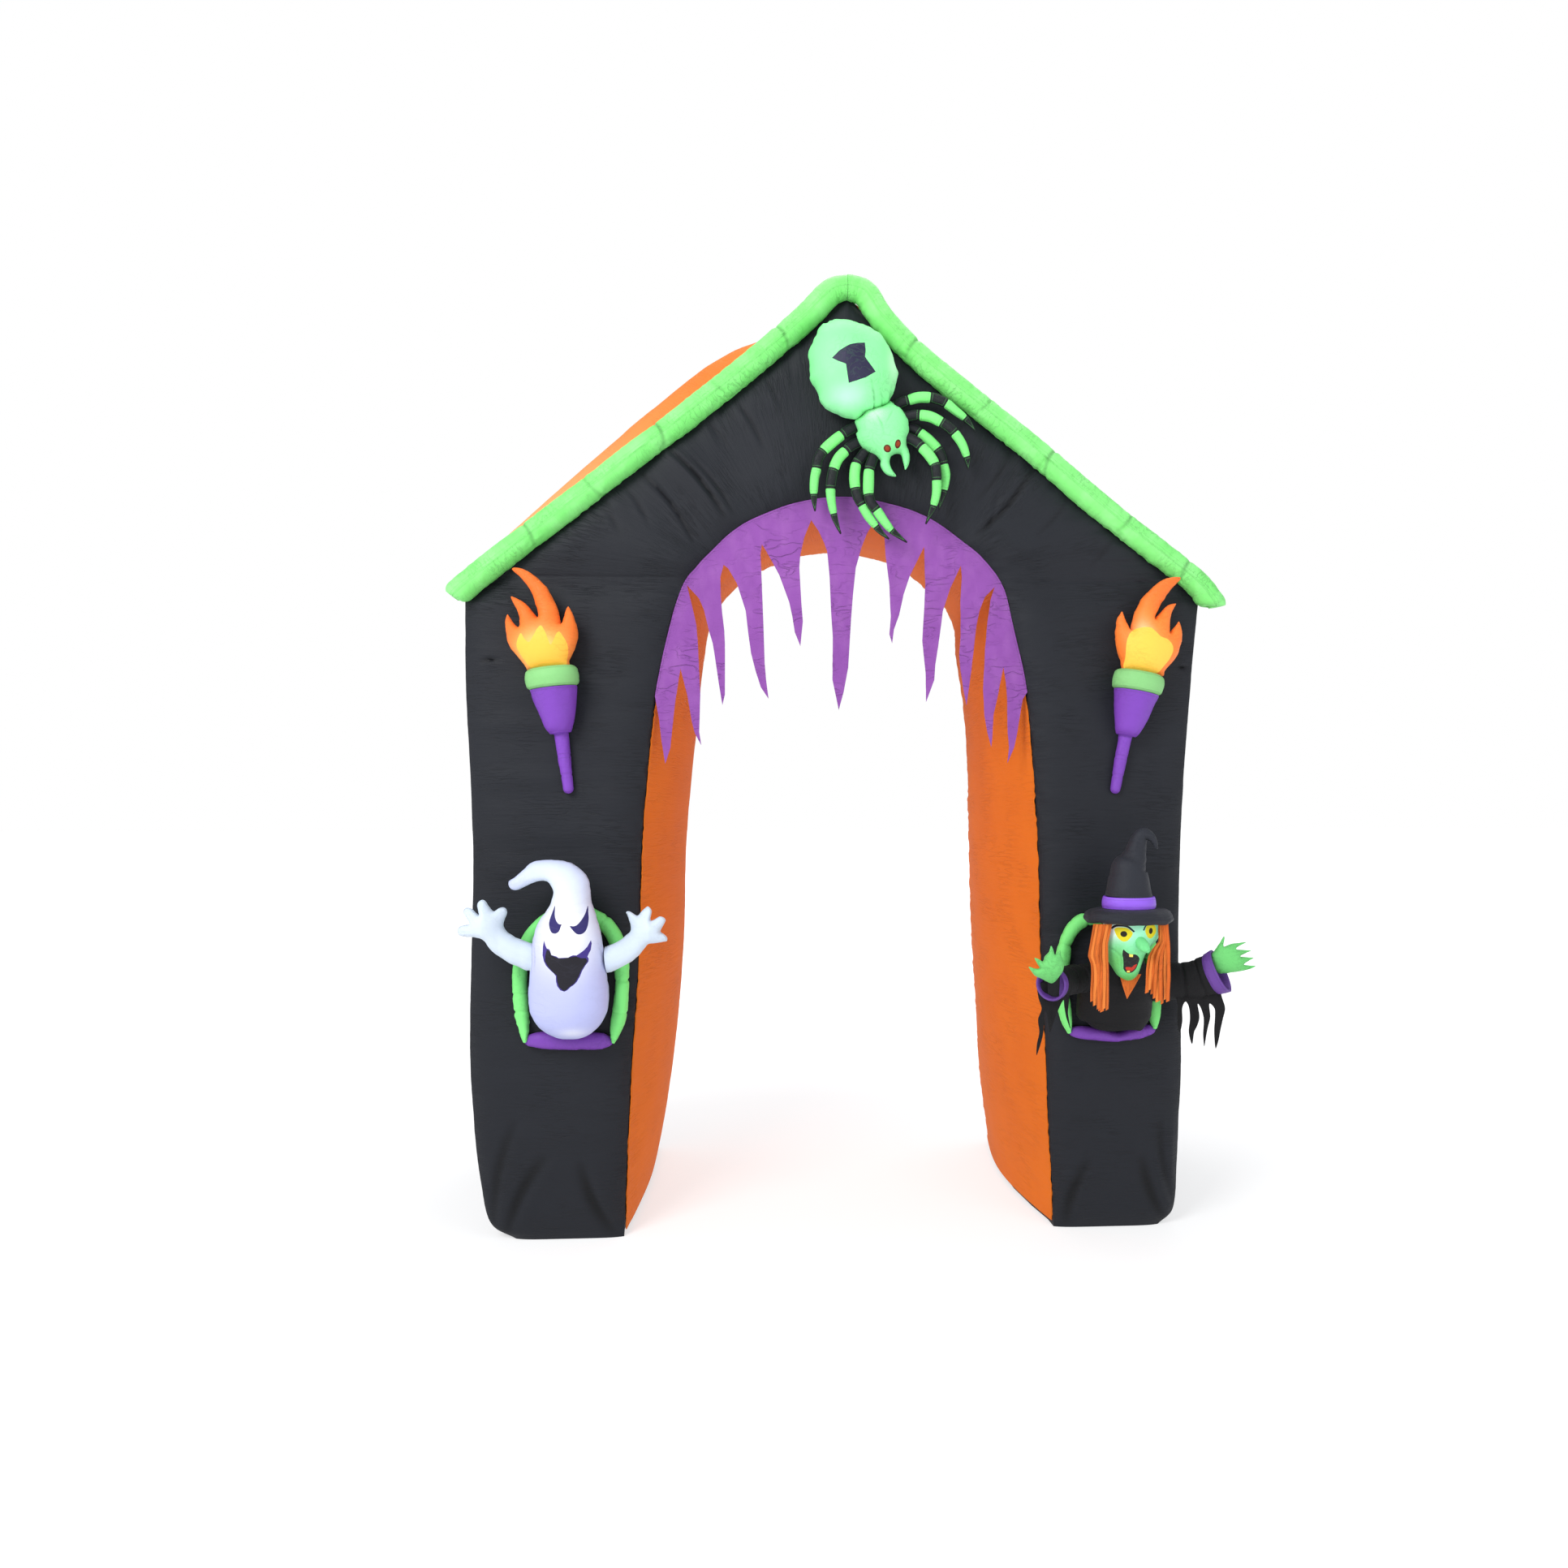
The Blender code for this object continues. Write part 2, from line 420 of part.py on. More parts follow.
def smooth_value(values, index, part, corners=()):
    """A Catmull-Rom value between two rows, with the slope broken at the corner rows."""
    here, there = values[index], values[index + 1]
    sharp_start = index == 0 or index in corners
    sharp_end = index + 2 >= len(values) or index + 1 in corners
    before = 2 * here - there if sharp_start else values[index - 1]
    after = 2 * there - here if sharp_end else values[index + 2]
    slope_here, slope_there = (there - before) / 2, (after - here) / 2
    square, cube = part * part, part ** 3
    return ((2 * cube - 3 * square + 1) * here + (cube - 2 * square + part) * slope_here
            + (3 * square - 2 * cube) * there + (cube - square) * slope_there)


def smooth_rows(rows, steps):
    """Rows of numbers with smooth steps added between them."""
    columns = list(zip(*rows))
    made = []
    for index in range(len(rows) - 1):
        for step in range(steps):
            made.append([smooth_value(column, index, step / steps) for column in columns])
    made.append(list(rows[-1]))
    return made


def stations():
    """The core's cross-sections, as dictionaries with the seams' outward directions."""
    columns = dict(zip(SECTION_COLUMNS, zip(*SECTIONS)))
    corners = (LEFT_EAVE, APEX, RIGHT_EAVE)
    made = []
    for index in range(len(SECTIONS)):
        in_gable = LEFT_EAVE <= index < RIGHT_EAVE
        steps = GABLE_STEPS if in_gable else 1
        for step in range(steps if index + 1 < len(SECTIONS) else 1):
            station = {"row": index + step / steps}
            for name, values in columns.items():
                breaks = corners if name.startswith("out") else ()
                last = index + 1 == len(SECTIONS)
                station[name] = values[-1] if last else smooth_value(values, index, step / steps, breaks)
            made.append(station)
    for side in ("in", "out"):
        for index, station in enumerate(made):
            before, after = made[max(index - 1, 0)], made[min(index + 1, len(made) - 1)]
            run_x, run_z = (after[side + axis] - before[side + axis] for axis in ("_x", "_z"))
            run = Vector((run_x, 0, run_z))
            if index in (0, len(made) - 1):
                run.x = 0.0
            run.normalize()
            station[side + "_normal"] = Vector((-run.z, 0, run.x))
    return made


def pillow(part):
    return math.sin(math.pi * part) if 0 < part < 1 else 0.0


def flat_pillow(part):
    """A wide flat top that rounds off only beside the seams."""
    return 1 - abs(2 * part - 1) ** 6


def section_ring(station):
    """The points round one cross-section: front, outside, back, then the opening's wall."""
    front_in = Vector((station["in_x"], FRONT_SEAM, station["in_z"]))
    front_out = Vector((station["out_x"], FRONT_SEAM, station["out_z"]))
    back_in = front_in - station["in_normal"] * station["lean"] + Vector((0, DEPTH, 0))
    back_out = front_out + Vector((0, DEPTH, 0))
    ring = []
    for part in FACE_SAMPLES:
        push = Vector((0, -min(station["face"], FRONT_CROWN) * flat_pillow(part), 0))
        ring.append(front_in.lerp(front_out, part) + push)
    for part in WALL_SAMPLES:
        ring.append(front_out.lerp(back_out, part) + station["out_normal"] * station["crown"] * pillow(part))
    for part in BACK_SAMPLES:
        ring.append(back_out.lerp(back_in, part) + Vector((0, BACK_CROWN * flat_pillow(part), 0)))
    for part in WALL_SAMPLES:
        ring.append(back_in.lerp(front_in, part) - station["in_normal"] * station["soffit"] * pillow(part))
    return ring


def skin_rings(bm, rings, close_ends=True):
    """Triangles between rings of equal length, all split along the same diagonal."""
    grid = [[bm.verts.new(point) for point in ring] for ring in rings]
    count = len(grid[0])
    for near, far in zip(grid, grid[1:]):
        for index in range(count):
            following = (index + 1) % count
            bm.faces.new((near[index], near[following], far[following]))
            bm.faces.new((near[index], far[following], far[index]))
    if close_ends:
        bm.faces.new(grid[0])
        bm.faces.new(grid[-1])
    return grid


def make_core(rings):
    bm = bmesh.new()
    skin_rings(bm, rings)
    return mesh_object("arch_body", bm, "black_nylon")


def surface_normal(strip, row, column):
    """The normal of a grid of points, from its neighbours along and across."""
    above, below = strip[max(row - 1, 0)][column], strip[min(row + 1, len(strip) - 1)][column]
    left = strip[row][max(column - 1, 0)]
    right = strip[row][min(column + 1, len(strip[row]) - 1)]
    return (below - above).cross(right - left).normalized()


def make_panel(name, strip, cloth):
    """A sheet of even thickness that lies on a strip of the core's wall."""
    bm = bmesh.new()
    layers = []
    for height in (GAP * 1.5, GAP * 1.5 + PANEL):
        layer = []
        for row in range(len(strip)):
            normals = [surface_normal(strip, row, column) for column in range(len(strip[row]))]
            layer.append([bm.verts.new(p + n * height) for p, n in zip(strip[row], normals)])
        layers.append(layer)
    under, over = layers
    rows, columns = len(strip), len(strip[0])
    for layer in layers:
        for row in range(rows - 1):
            for column in range(columns - 1):
                a, b = layer[row][column], layer[row][column + 1]
                c, d = layer[row + 1][column + 1], layer[row + 1][column]
                bm.faces.new((a, b, c))
                bm.faces.new((a, c, d))
    rim = [(row, 0) for row in range(rows)] + [(rows - 1, column) for column in range(1, columns)]
    rim += [(row, columns - 1) for row in range(rows - 2, -1, -1)]
    rim += [(0, column) for column in range(columns - 2, 0, -1)]
    for (row, column), (row_2, column_2) in zip(rim, rim[1:] + rim[:1]):
        bm.faces.new((under[row][column], under[row_2][column_2], over[row_2][column_2], over[row][column]))
    return mesh_object(name, bm, cloth)


def wall_strip(rings, first_sample):
    """The part of each ring that lies on one wall, just inside its two seams."""
    first = first_sample + 1
    last = first_sample + len(WALL_SAMPLES) - 1
    return [[ring[index] for index in range(first, last + 1)] for ring in rings]


def make_panels(all_stations, rings):
    roof_start = len(FACE_SAMPLES)
    soffit_start = roof_start + len(WALL_SAMPLES) + len(BACK_SAMPLES)
    lining = wall_strip(rings, soffit_start)
    lining[0] = [low.lerp(high, PANEL_LIFT) for low, high in zip(lining[0], lining[1])]
    lining[-1] = [low.lerp(high, PANEL_LIFT) for low, high in zip(lining[-1], lining[-2])]
    make_panel("opening_panel", lining, "orange_nylon")
    for side, low, high in (("left", LEFT_EAVE, APEX), ("right", APEX, RIGHT_EAVE)):
        chosen = [ring for station, ring in zip(all_stations, rings) if low <= station["row"] <= high]
        strip = wall_strip(chosen, roof_start)
        ridge = strip[-1] if side == "left" else strip[0]
        for point in ridge:
            point.x += -GAP if side == "left" else GAP
        make_panel("roof_panel_" + side, strip, "orange_nylon")


def peak_rows(apex, outward):
    """The trim's first rows, where its line bends over the ridge from level to the slope."""
    rows = []
    for share in (-0.24, 0.0, 0.33, 0.66):
        x = apex.x + outward * TRIM_PEAK["reach"] * share
        z = apex.z + TRIM_PEAK["rise"] - TRIM_PEAK["drop"] * max(share, 0) ** 2
        rows.append((x, FRONT_SEAM - TRIM_FORWARD, z, TRIM_RADIUS))
    return rows


def make_trim(side, all_stations, core):
    """The stuffed tube along one slope of the gable, drawn in by a few stitched pinches."""
    low, high = (LEFT_EAVE, APEX) if side == "left" else (APEX, RIGHT_EAVE)
    slope = [s for s in all_stations if low <= s["row"] <= high]
    if side == "left":
        slope.reverse()
    outward = 1 if side == "right" else -1
    seam = [Vector((s["out_x"], FRONT_SEAM, s["out_z"])) for s in slope]
    run_out = (seam[-1] - seam[-2]).normalized()
    seam.append(seam[-1] + run_out * TRIM_OVERHANG[side])
    rows = peak_rows(seam[0], outward)
    travelled = 0.0
    for index, (here, there) in enumerate(zip(seam, seam[1:])):
        run = there - here
        before = seam[max(index - 1, 0)]
        along = (there - before).normalized()
        normal = Vector((-along.z, 0, along.x)) * outward
        places = [0.0, max(0.0, TRIM_PEAK["reach"] - travelled)]
        for pinch in TRIM_PINCHES[side]:
            places += [pinch - travelled + reach for reach in (-TRIM_PINCH_REACH, 0, TRIM_PINCH_REACH)]
        past_peak = [q for q in set(places) if 0 <= q < run.length and travelled + q >= TRIM_PEAK["reach"]]
        for place in sorted(past_peak):
            point = here + run.normalized() * place + normal * TRIM_OUT
            reach = min(abs(travelled + place - pinch) for pinch in TRIM_PINCHES[side])
            narrowing = TRIM_PINCH_DEPTH * math.exp(-(reach / TRIM_PINCH_REACH * 1.8) ** 2)
            rows.append((point.x, FRONT_SEAM - TRIM_FORWARD, point.z, TRIM_RADIUS * (1 - narrowing)))
        travelled += run.length
    end = seam[-1] + Vector((-run_out.z, 0, run_out.x)) * outward * TRIM_OUT
    rows.append((end.x, FRONT_SEAM - TRIM_FORWARD, end.z, TRIM_RADIUS))
    trim = make_mesh(tube("roof_trim_" + side, rows, "lime_nylon", steps=1, rounds=(False, side == "left")))
    cut_flat(trim, (seam[0].x + outward * GAP, 0, 0), (-outward, 0, 0))
    (end_x, end_z), (down_x, down_z) = TRIM_ENDS[side]
    cut_flat(trim, (end_x, 0, end_z), (down_x, 0, down_z))
    return carve(carve(trim, core), bpy.data.objects["roof_panel_" + side])


def rounded_rows(rows, rounds):
    """Path rows whose chosen ends close in a dome of the end's own radius."""
    dome = ((1.0, 1.0), (0.55, 0.84), (0.18, 0.52), (0.0, 0.12))
    rows = [tuple(row) for row in rows]
    for at_end in (False, True):
        if not rounds[1 if at_end else 0]:
            continue
        ordered = rows if at_end else rows[::-1]
        last, previous = ordered[-1], ordered[-2]
        radius = last[3]
        tip = Vector(last[:3])
        along = (tip - Vector(previous[:3])).normalized()
        kept = [row for row in ordered if (Vector(row[:3]) - tip).length > radius]
        for back, share in dome:
            place = tip - along * radius * back
            kept.append((*place, radius * share, *[value * share for value in last[4:]]))
        rows = kept if at_end else kept[::-1]
    return rows


def tube(name, rows, cloth, steps=3, rounds=(True, True), resolution=2):
    """A stuffed tube: a bevelled curve along rows of x, y, z and radius."""
    rows = smooth_rows(rows, steps) if steps > 1 else rows
    rows = rounded_rows(rows, rounds)
    curve = bpy.data.curves.new(name, "CURVE")
    curve.dimensions = "3D"
    curve.bevel_depth = 1.0
    curve.bevel_resolution = resolution
    curve.use_fill_caps = True
    spline = curve.splines.new("POLY")
    spline.points.add(len(rows) - 1)
    for point, row in zip(spline.points, rows):
        point.co = (*row[:3], 1.0)
        point.radius = row[3]
    return add_object(name, curve, cloth)


def filled(name, rows, cloth, sides=12, steps=2, rounds=(True, True), upright=False):
    """A blown-up form lofted through oval sections: rows of x, y, z, width and depth radius."""
    rows = smooth_rows(rows, steps) if steps > 1 else rows
    rows = rounded_rows(rows, rounds)
    bm = bmesh.new()
    rings = []
    for index, (x, y, z, wide, deep) in enumerate(rows):
        before, after = rows[max(index - 1, 0)], rows[min(index + 1, len(rows) - 1)]
        along = Vector((0, 0, 1)) if upright else Vector(after[:3]) - Vector(before[:3])
        along.normalize()
        forward = Vector((0, -1, 0)) + along * along.y
        forward.normalize()
        across = along.cross(forward)
        ring = []
        for side in range(sides):
            angle = 2 * math.pi * (side + 0.5) / sides
            reach = across * wide * math.cos(angle) + forward * deep * math.sin(angle)
            ring.append(Vector((x, y, z)) + reach)
        rings.append(ring)
    skin_rings(bm, rings)
    return mesh_object(name, bm, cloth)


def cut_cloth(name, outline, y, cloth, thickness=SHEET):
    """A flat piece of cloth in a vertical plane, from its outline as x, z."""
    curve = bpy.data.curves.new(name, "CURVE")
    curve.dimensions = "2D"
    curve.fill_mode = "BOTH"
    curve.extrude = thickness / 2
    spline = curve.splines.new("POLY")
    spline.use_cyclic_u = True
    spline.points.add(len(outline) - 1)
    for point, (x, z) in zip(spline.points, outline):
        point.co = (x, z, 0, 1)
    obj = add_object(name, curve, cloth)
    obj.rotation_euler = (math.pi / 2, 0, 0)
    obj.location = (0, y, 0)
    return obj


def make_fringe(all_stations):
    seam = [s for s in all_stations if LEFT_EAVE - 2 < s["row"] < RIGHT_EAVE + 2]
    top = []
    for station in seam:
        low_end = FRINGE_END_Z["left" if station["in_x"] < 0 else "right"]
        if station["in_z"] > low_end + 0.03:
            inward = -station["in_normal"] * GAP
            top.append((station["in_x"] + inward.x, station["in_z"] + inward.z))
    left_end = (seam_x(all_stations, "left") + GAP, FRINGE_END_Z["left"])
    right_end = (seam_x(all_stations, "right") - GAP, FRINGE_END_Z["right"])
    outline = [right_end] + top[::-1] + [left_end] + list(FRINGE_EDGE)
    return cut_cloth("icicle_fringe", outline, FRONT_SEAM - SHEET / 2 - GAP / 2, "violet_cloth")


def seam_x(all_stations, side):
    """Where the front seam beside the opening stands at the fringe's end."""
    height = FRINGE_END_Z[side]
    half = [s for s in all_stations if (s["in_x"] < 0) == (side == "left")]
    half.sort(key=lambda s: s["in_z"])
    for below, above in zip(half, half[1:]):
        if below["in_z"] <= height <= above["in_z"]:
            part = (height - below["in_z"]) / (above["in_z"] - below["in_z"])
            return below["in_x"] + (above["in_x"] - below["in_x"]) * part
    return half[-1]["in_x"]


def stand_off(rows):
    """Rows whose second number is a distance off the wall, with it turned into the arch's y."""
    return [(row[0], WALL - row[1], *row[2:]) for row in rows]


def make_torch(side):
    """A wall torch built upright on its own foot, then tilted: handle, cup, collar and flame."""
    size = TORCHES[side]
    turn = Matrix.Rotation(math.radians(-size["tilt"]), 4, "Y")
    place = Matrix.Translation((size["foot"][0], 0, size["foot"][1])) @ turn
    looks = {"handle": ("purple_nylon", 10), "cup": ("purple_nylon", 12), "collar": ("lime_nylon", 12)}
    for part, rows in TORCH_PIECES.items():
        cloth, sides = looks[part]
        rounds = (part == "handle", False)
        name = "torch_%s_%s" % (side, part)
        piece = filled(name, stand_off(rows), cloth, sides, 1, rounds, upright=True)
        piece.data.transform(place)
        sew_to_wall(piece)
    flip = Matrix.Diagonal((size["mirror"], 1, 1, 1))
    name = "torch_%s_flame" % side
    flame = filled(name, stand_off(FLAME_BALL), "flame_nylon", 12, 1, (False, True), upright=True)
    blades = []
    for number, rows in enumerate(FLAME_TONGUES):
        steps = 1 if number else 2
        blades.append(filled("tongue_%d" % number, stand_off(rows), "flame_nylon", 8, steps, (True, False)))
    flame = fuse(flame, blades)
    flame.data.transform(place @ flip)
    if size["mirror"] < 0:
        flame.data.flip_normals()
    sew_to_wall(flame)


def make_oval(name, size, cloth, segments=16, rings=10):
    """A blown-up oval with its long axis leaning in the wall's plane, cut flat at the wall."""
    (x, stand, z), radii = size
    bm = bmesh.new()
    bmesh.ops.create_uvsphere(bm, u_segments=segments, v_segments=rings, radius=1)
    turn = Matrix.Rotation(math.radians(SPIDER_LEAN), 4, "Y")
    place = Matrix.Translation((x, WALL - stand, z)) @ turn @ Matrix.Diagonal((*radii, 1))
    bmesh.ops.transform(bm, matrix=place, verts=bm.verts)
    return sew_to_wall(mesh_object(name, bm, cloth))


def make_spider():
    abdomen = make_oval("spider_abdomen", SPIDER_ABDOMEN, "lime_nylon")
    head = carve(make_oval("spider_head", SPIDER_HEAD, "lime_nylon"), abdomen)
    for side, rows in SPIDER_FANGS.items():
        fang = tube("spider_fang_" + side, stand_off(rows), "lime_nylon", steps=2, rounds=(False, False))
        carve(make_mesh(fang), head)
    head_x, head_z = SPIDER_HEAD[0][0], SPIDER_HEAD[0][2]
    radii = (SPIDER_LEG_RADIUS, SPIDER_LEG_RADIUS, SPIDER_LEG_RADIUS * 0.86, SPIDER_LEG_TIP)
    for name, (*arch, stand) in SPIDER_LEGS.items():
        first_x, first_z = arch[0]
        rows = [((head_x + first_x) / 2, SPIDER_LEG_ROOT, (head_z + first_z) / 2, SPIDER_LEG_RADIUS)]
        for (x, z), share, radius in zip(arch, SPIDER_LEG_ARCH, radii):
            rows.append((x, SPIDER_LEG_RADIUS + stand * share, z, radius))
        leg = tube("spider_leg_" + name, stand_off(rows), "lime_nylon", steps=2, rounds=(False, False))
        carve(carve(make_mesh(leg), head), abdomen)


def make_hand(name, hand, finger, cloth):
    """A blown-up hand: a palm with its fingers joined into it."""
    palm = filled(name, stand_off(hand["palm"]), cloth, 10, 2)
    digits = []
    for number, (root, tip) in enumerate(hand["fingers"]):
        middle = [(a + b) / 2 for a, b in zip(root, tip)]
        radii = (finger["root"], (finger["root"] + finger["tip"]) / 2, finger["tip"])
        rows = stand_off([(*place, radius) for place, radius in zip((root, middle, tip), radii)])
        blunt = finger["tip"] > finger["root"] / 2
        digits.append(make_mesh(tube("digit_%d" % number, rows, cloth, 1, (False, blunt), 1)))
    return fuse(palm, digits)


def make_window(who):
    """A green stuffed tube bent round a window, seated on a purple sill."""
    size = WINDOWS[who]
    rows = [(x, WINDOW_TUBE["stand"], z, WINDOW_TUBE["radius"]) for x, z in size["frame"]]
    post = tube(who + "_window", stand_off(rows), "lime_nylon", 2, (False, False))
    post = sew_to_wall(make_mesh(post))
    sill = sew_to_wall(filled(who + "_sill", stand_off(size["sill"]), "purple_nylon", 8, 2))
    return carve(post, sill)


def make_ghost():
    make_window("ghost")
    body = sew_to_wall(filled("ghost_body", stand_off(GHOST_BODY), "white_nylon", 14, 2))
    for side, arm in GHOST_ARMS.items():
        carve(make_hand("ghost_arm_" + side, arm, GHOST_FINGER, "white_nylon"), body)


def make_hat():
    """A padded brim, a flat band and a crown whose tip flops over."""
    blunt = (False, False)
    filled("witch_hat_brim", stand_off(HAT_BRIM), "black_nylon", 18, 1, blunt, upright=True)
    filled("witch_hat_band", stand_off(HAT_BAND), "purple_nylon", 16, 1, blunt, upright=True)
    crown = filled("witch_hat_crown", stand_off(HAT_CROWN), "black_nylon", 14, 2, blunt)
    cut_flat(crown, (0, 0, HAT_BAND[-1][2] + GAP), (0, 0, -1))


def strip_outline(left_x, strips):
    """A comb of cloth strips under one heading."""
    width, gap, heading = HAIR_STRIP["width"], HAIR_STRIP["gap"], HAIR_STRIP["heading"]
    outline = [(left_x + len(strips) * (width + gap) - gap, HAIR_TOP), (left_x, HAIR_TOP)]
    for index, (foot_z, drift) in enumerate(strips):
        left = left_x + index * (width + gap)
        knee_z = (HAIR_TOP + foot_z) / 2
        outline += [(left + drift * 0.4, knee_z), (left + drift, foot_z)]
        outline += [(left + width + drift, foot_z + 0.006), (left + width + drift * 0.4, knee_z)]
        outline.append((left + width, HAIR_TOP - heading))
        if index + 1 < len(strips):
            outline.append((left + width + gap, HAIR_TOP - heading))
    return outline[:-1]


def rag_outline(top_left, top_right, tips, notch_z):
    """Pointed rags under one edge, with notches at slightly different heights."""
    outline = [top_right, top_left]
    width = (top_right[0] - top_left[0]) / len(tips)
    for index, (tip_x, tip_z) in enumerate(tips):
        left_x, right_x = top_left[0] + width * index, top_left[0] + width * (index + 1)
        high = notch_z + 0.003 * index
        low = (notch_z + tip_z) / 2
        bend = 0.007 if index % 2 else -0.005
        outline += [(left_x + 0.002, high), (left_x * 0.45 + tip_x * 0.55 + bend, low), (tip_x, tip_z)]
        outline += [((right_x + tip_x) / 2 + bend, low), (right_x - 0.002, high - 0.002)]
    return outline


def make_witch():
    window = make_window("witch")
    head = filled("witch_head", stand_off(WITCH_HEAD), "lime_nylon", 14, 2, (True, False))
    make_hat()
    nose = tube("witch_nose", stand_off(WITCH_NOSE), "lime_nylon", 2, (False, False))
    carve(make_mesh(nose), head)
    robe = sew_to_wall(filled("witch_robe", stand_off(WITCH_ROBE), "black_nylon", 14, 2, (True, False)))
    robe = carve(robe, head)
    blunt = (False, False)
    for side, rows in WITCH_SLEEVES.items():
        sleeve = filled("witch_sleeve_" + side, stand_off(rows), "black_nylon", 12, 2, blunt)
        cuff = filled("witch_cuff_" + side, stand_off(WITCH_CUFFS[side]), "purple_nylon", 12, 1, blunt)
        *shape, stand = WITCH_RAGS[side]
        rags = cut_cloth("witch_rags_" + side, rag_outline(*shape), WALL - stand, "black_nylon")
        carve(carve(make_mesh(rags), sleeve), cuff)
        carve(carve(sleeve, robe), window)
        carve(make_hand("witch_hand_" + side, WITCH_HANDS[side], WITCH_FINGER, "lime_nylon"), cuff)
    make_witch_cloth(head, robe)


def make_witch_cloth(head, robe):
    """The witch's hair strips, and the collar that lies on the robe's front."""
    for side, (left_x, strips) in WITCH_HAIR.items():
        hair = strip_outline(left_x, strips)
        carve(make_mesh(cut_cloth("witch_hair_" + side, hair, WALL - HAIR_STAND, "hair_cloth")), head)
    front = min((robe.matrix_world @ vertex.co).y for vertex in robe.data.vertices)
    collar = cut_cloth("witch_collar", WITCH_COLLAR, front - SHEET * 0.75, "hair_cloth")
    carve(make_mesh(collar), head)


def main():
    all_stations = stations()
    rings = [section_ring(station) for station in all_stations]
    core = make_core(rings)
    make_panels(all_stations, rings)
    for side in ("left", "right"):
        make_trim(side, all_stations, core)
    make_fringe(all_stations)
    for side in TORCHES:
        make_torch(side)
    make_spider()
    make_ghost()
    make_witch()


clear_scene()
PARTS = new_collection("inflatable_arch")
CUTTERS = new_collection("cutters")
ORIGIN = bpy.data.objects.new("arch_origin", None)
PARTS.objects.link(ORIGIN)
main()
ORIGIN.location = (-MIDDLE[0], -MIDDLE[1], 0)
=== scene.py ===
import math
import bpy
import numpy as np
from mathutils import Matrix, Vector, geometry
from mathutils.bvhtree import BVHTree


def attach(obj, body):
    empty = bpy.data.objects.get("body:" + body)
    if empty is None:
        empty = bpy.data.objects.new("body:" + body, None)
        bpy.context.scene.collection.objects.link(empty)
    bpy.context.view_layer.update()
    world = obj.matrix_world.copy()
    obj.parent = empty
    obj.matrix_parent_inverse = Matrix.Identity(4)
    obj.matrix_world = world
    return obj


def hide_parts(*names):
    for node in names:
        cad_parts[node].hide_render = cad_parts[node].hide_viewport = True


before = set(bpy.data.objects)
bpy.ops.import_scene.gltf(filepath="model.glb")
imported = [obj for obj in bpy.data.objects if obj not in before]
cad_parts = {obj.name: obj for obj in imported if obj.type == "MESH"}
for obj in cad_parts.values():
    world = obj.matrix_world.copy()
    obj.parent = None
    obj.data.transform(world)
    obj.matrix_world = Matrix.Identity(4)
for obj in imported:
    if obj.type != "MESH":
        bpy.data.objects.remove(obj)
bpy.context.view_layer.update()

# Inflatable gable arch: one blown-up black body, orange panels, green stuffed trims, violet icicles,
# torches, a spider, a ghost and a witch. Points are measured from the arch's own middle and its
# front seams, and shiftToFrame moves them into the frame.

def measured(columns, *numbers):
    # places measured in millimetres, row after row, turned into rows of metres
    places = np.round(np.array(numbers) / 1000, 6).reshape(-1, columns)
    return [tuple(place) for place in places.tolist()]


archSet = {
    "middle": (0.0121, -0.1312),
    "depth": 0.84,
    "crown": 0.03,
    "gap": 0.0004,
    "panelThick": 0.003,
    "leftEave": 9,
    "apex": 16,
    "rightEave": 22,
    "spacing": 0.006,
    "seamWave": 0.0009,
    "ridgeRoll": 0.16,
    "columns": ("inX", "inZ", "outX", "outZ", "lean", "soffit", "crown", "face"),
    "sections": measured(8,
        -628, 0, -930, 0, 0, 12, 10, 10, -627, 45, -1000, 45, 5, 20, 20, 22,
        -624, 150, -1027, 150, 15, 35, 30, 30, -619, 300, -1045, 300, 25, 50, 45, 30,
        -608, 520, -1059, 520, 40, 55, 50, 30, -590, 800, -1055, 800, 45, 55, 50, 30,
        -583, 1080, -1050, 1080, 45, 55, 50, 30, -565, 1320, -1058, 1320, 50, 50, 50, 30,
        -541, 1540, -1070, 1560, 50, 45, 50, 30, -500, 1735, -1072, 1800, 35, 30, 45, 30,
        -464, 1850, -1000, 1862, 20, 20, 150, 14, -425, 1905, -800, 2020, 10, 20, 190, 30,
        -385, 1949, -600, 2180, 0, 20, 203, 16, -320, 2010, -530, 2235, 0, 20, 210, 30,
        -250, 2052, -440, 2305, 0, 20, 214, 18, -130, 2096, -210, 2495, 0, 15, 200, 30,
        0, 2112, 6, 2690, 0, 15, 60, 30, 130, 2094, 174, 2509, 0, 15, 90, 30,
        240, 2056, 354, 2364, 0, 20, 150, 30, 335, 1992, 530, 2228, 10, 20, 170, 16,
        400, 1940, 740, 2055, 15, 25, 140, 30, 458, 1860, 980, 1873, 30, 30, 60, 14,
        488, 1745, 1035, 1815, 50, 45, 40, 30, 527, 1570, 1015, 1600, 62, 50, 50, 30,
        550, 1350, 995, 1350, 70, 55, 50, 30, 566, 1100, 982, 1100, 81, 60, 50, 30,
        574, 800, 977, 800, 81, 60, 50, 30, 588, 500, 985, 500, 78, 60, 50, 30,
        597, 280, 976, 280, 74, 55, 45, 30, 605, 140, 970, 140, 66, 50, 30, 30,
        607, 45, 960, 45, 56, 46, 20, 22, 607, 0, 915, 0, 54, 44, 10, 10),
}
frontSeam = -archSet["depth"] / 2
wallY = frontSeam - archSet["crown"] - archSet["gap"]    # where the figures are sewn on
noiseSize = 257
powerBase = 2.718    # what the fading masks of the cloth are powers of


def shiftToFrame(points):
    points = np.array(points, dtype=float)
    points[..., :2] -= archSet["middle"]
    points[..., 2] = np.maximum(points[..., 2], 0.0)
    return points


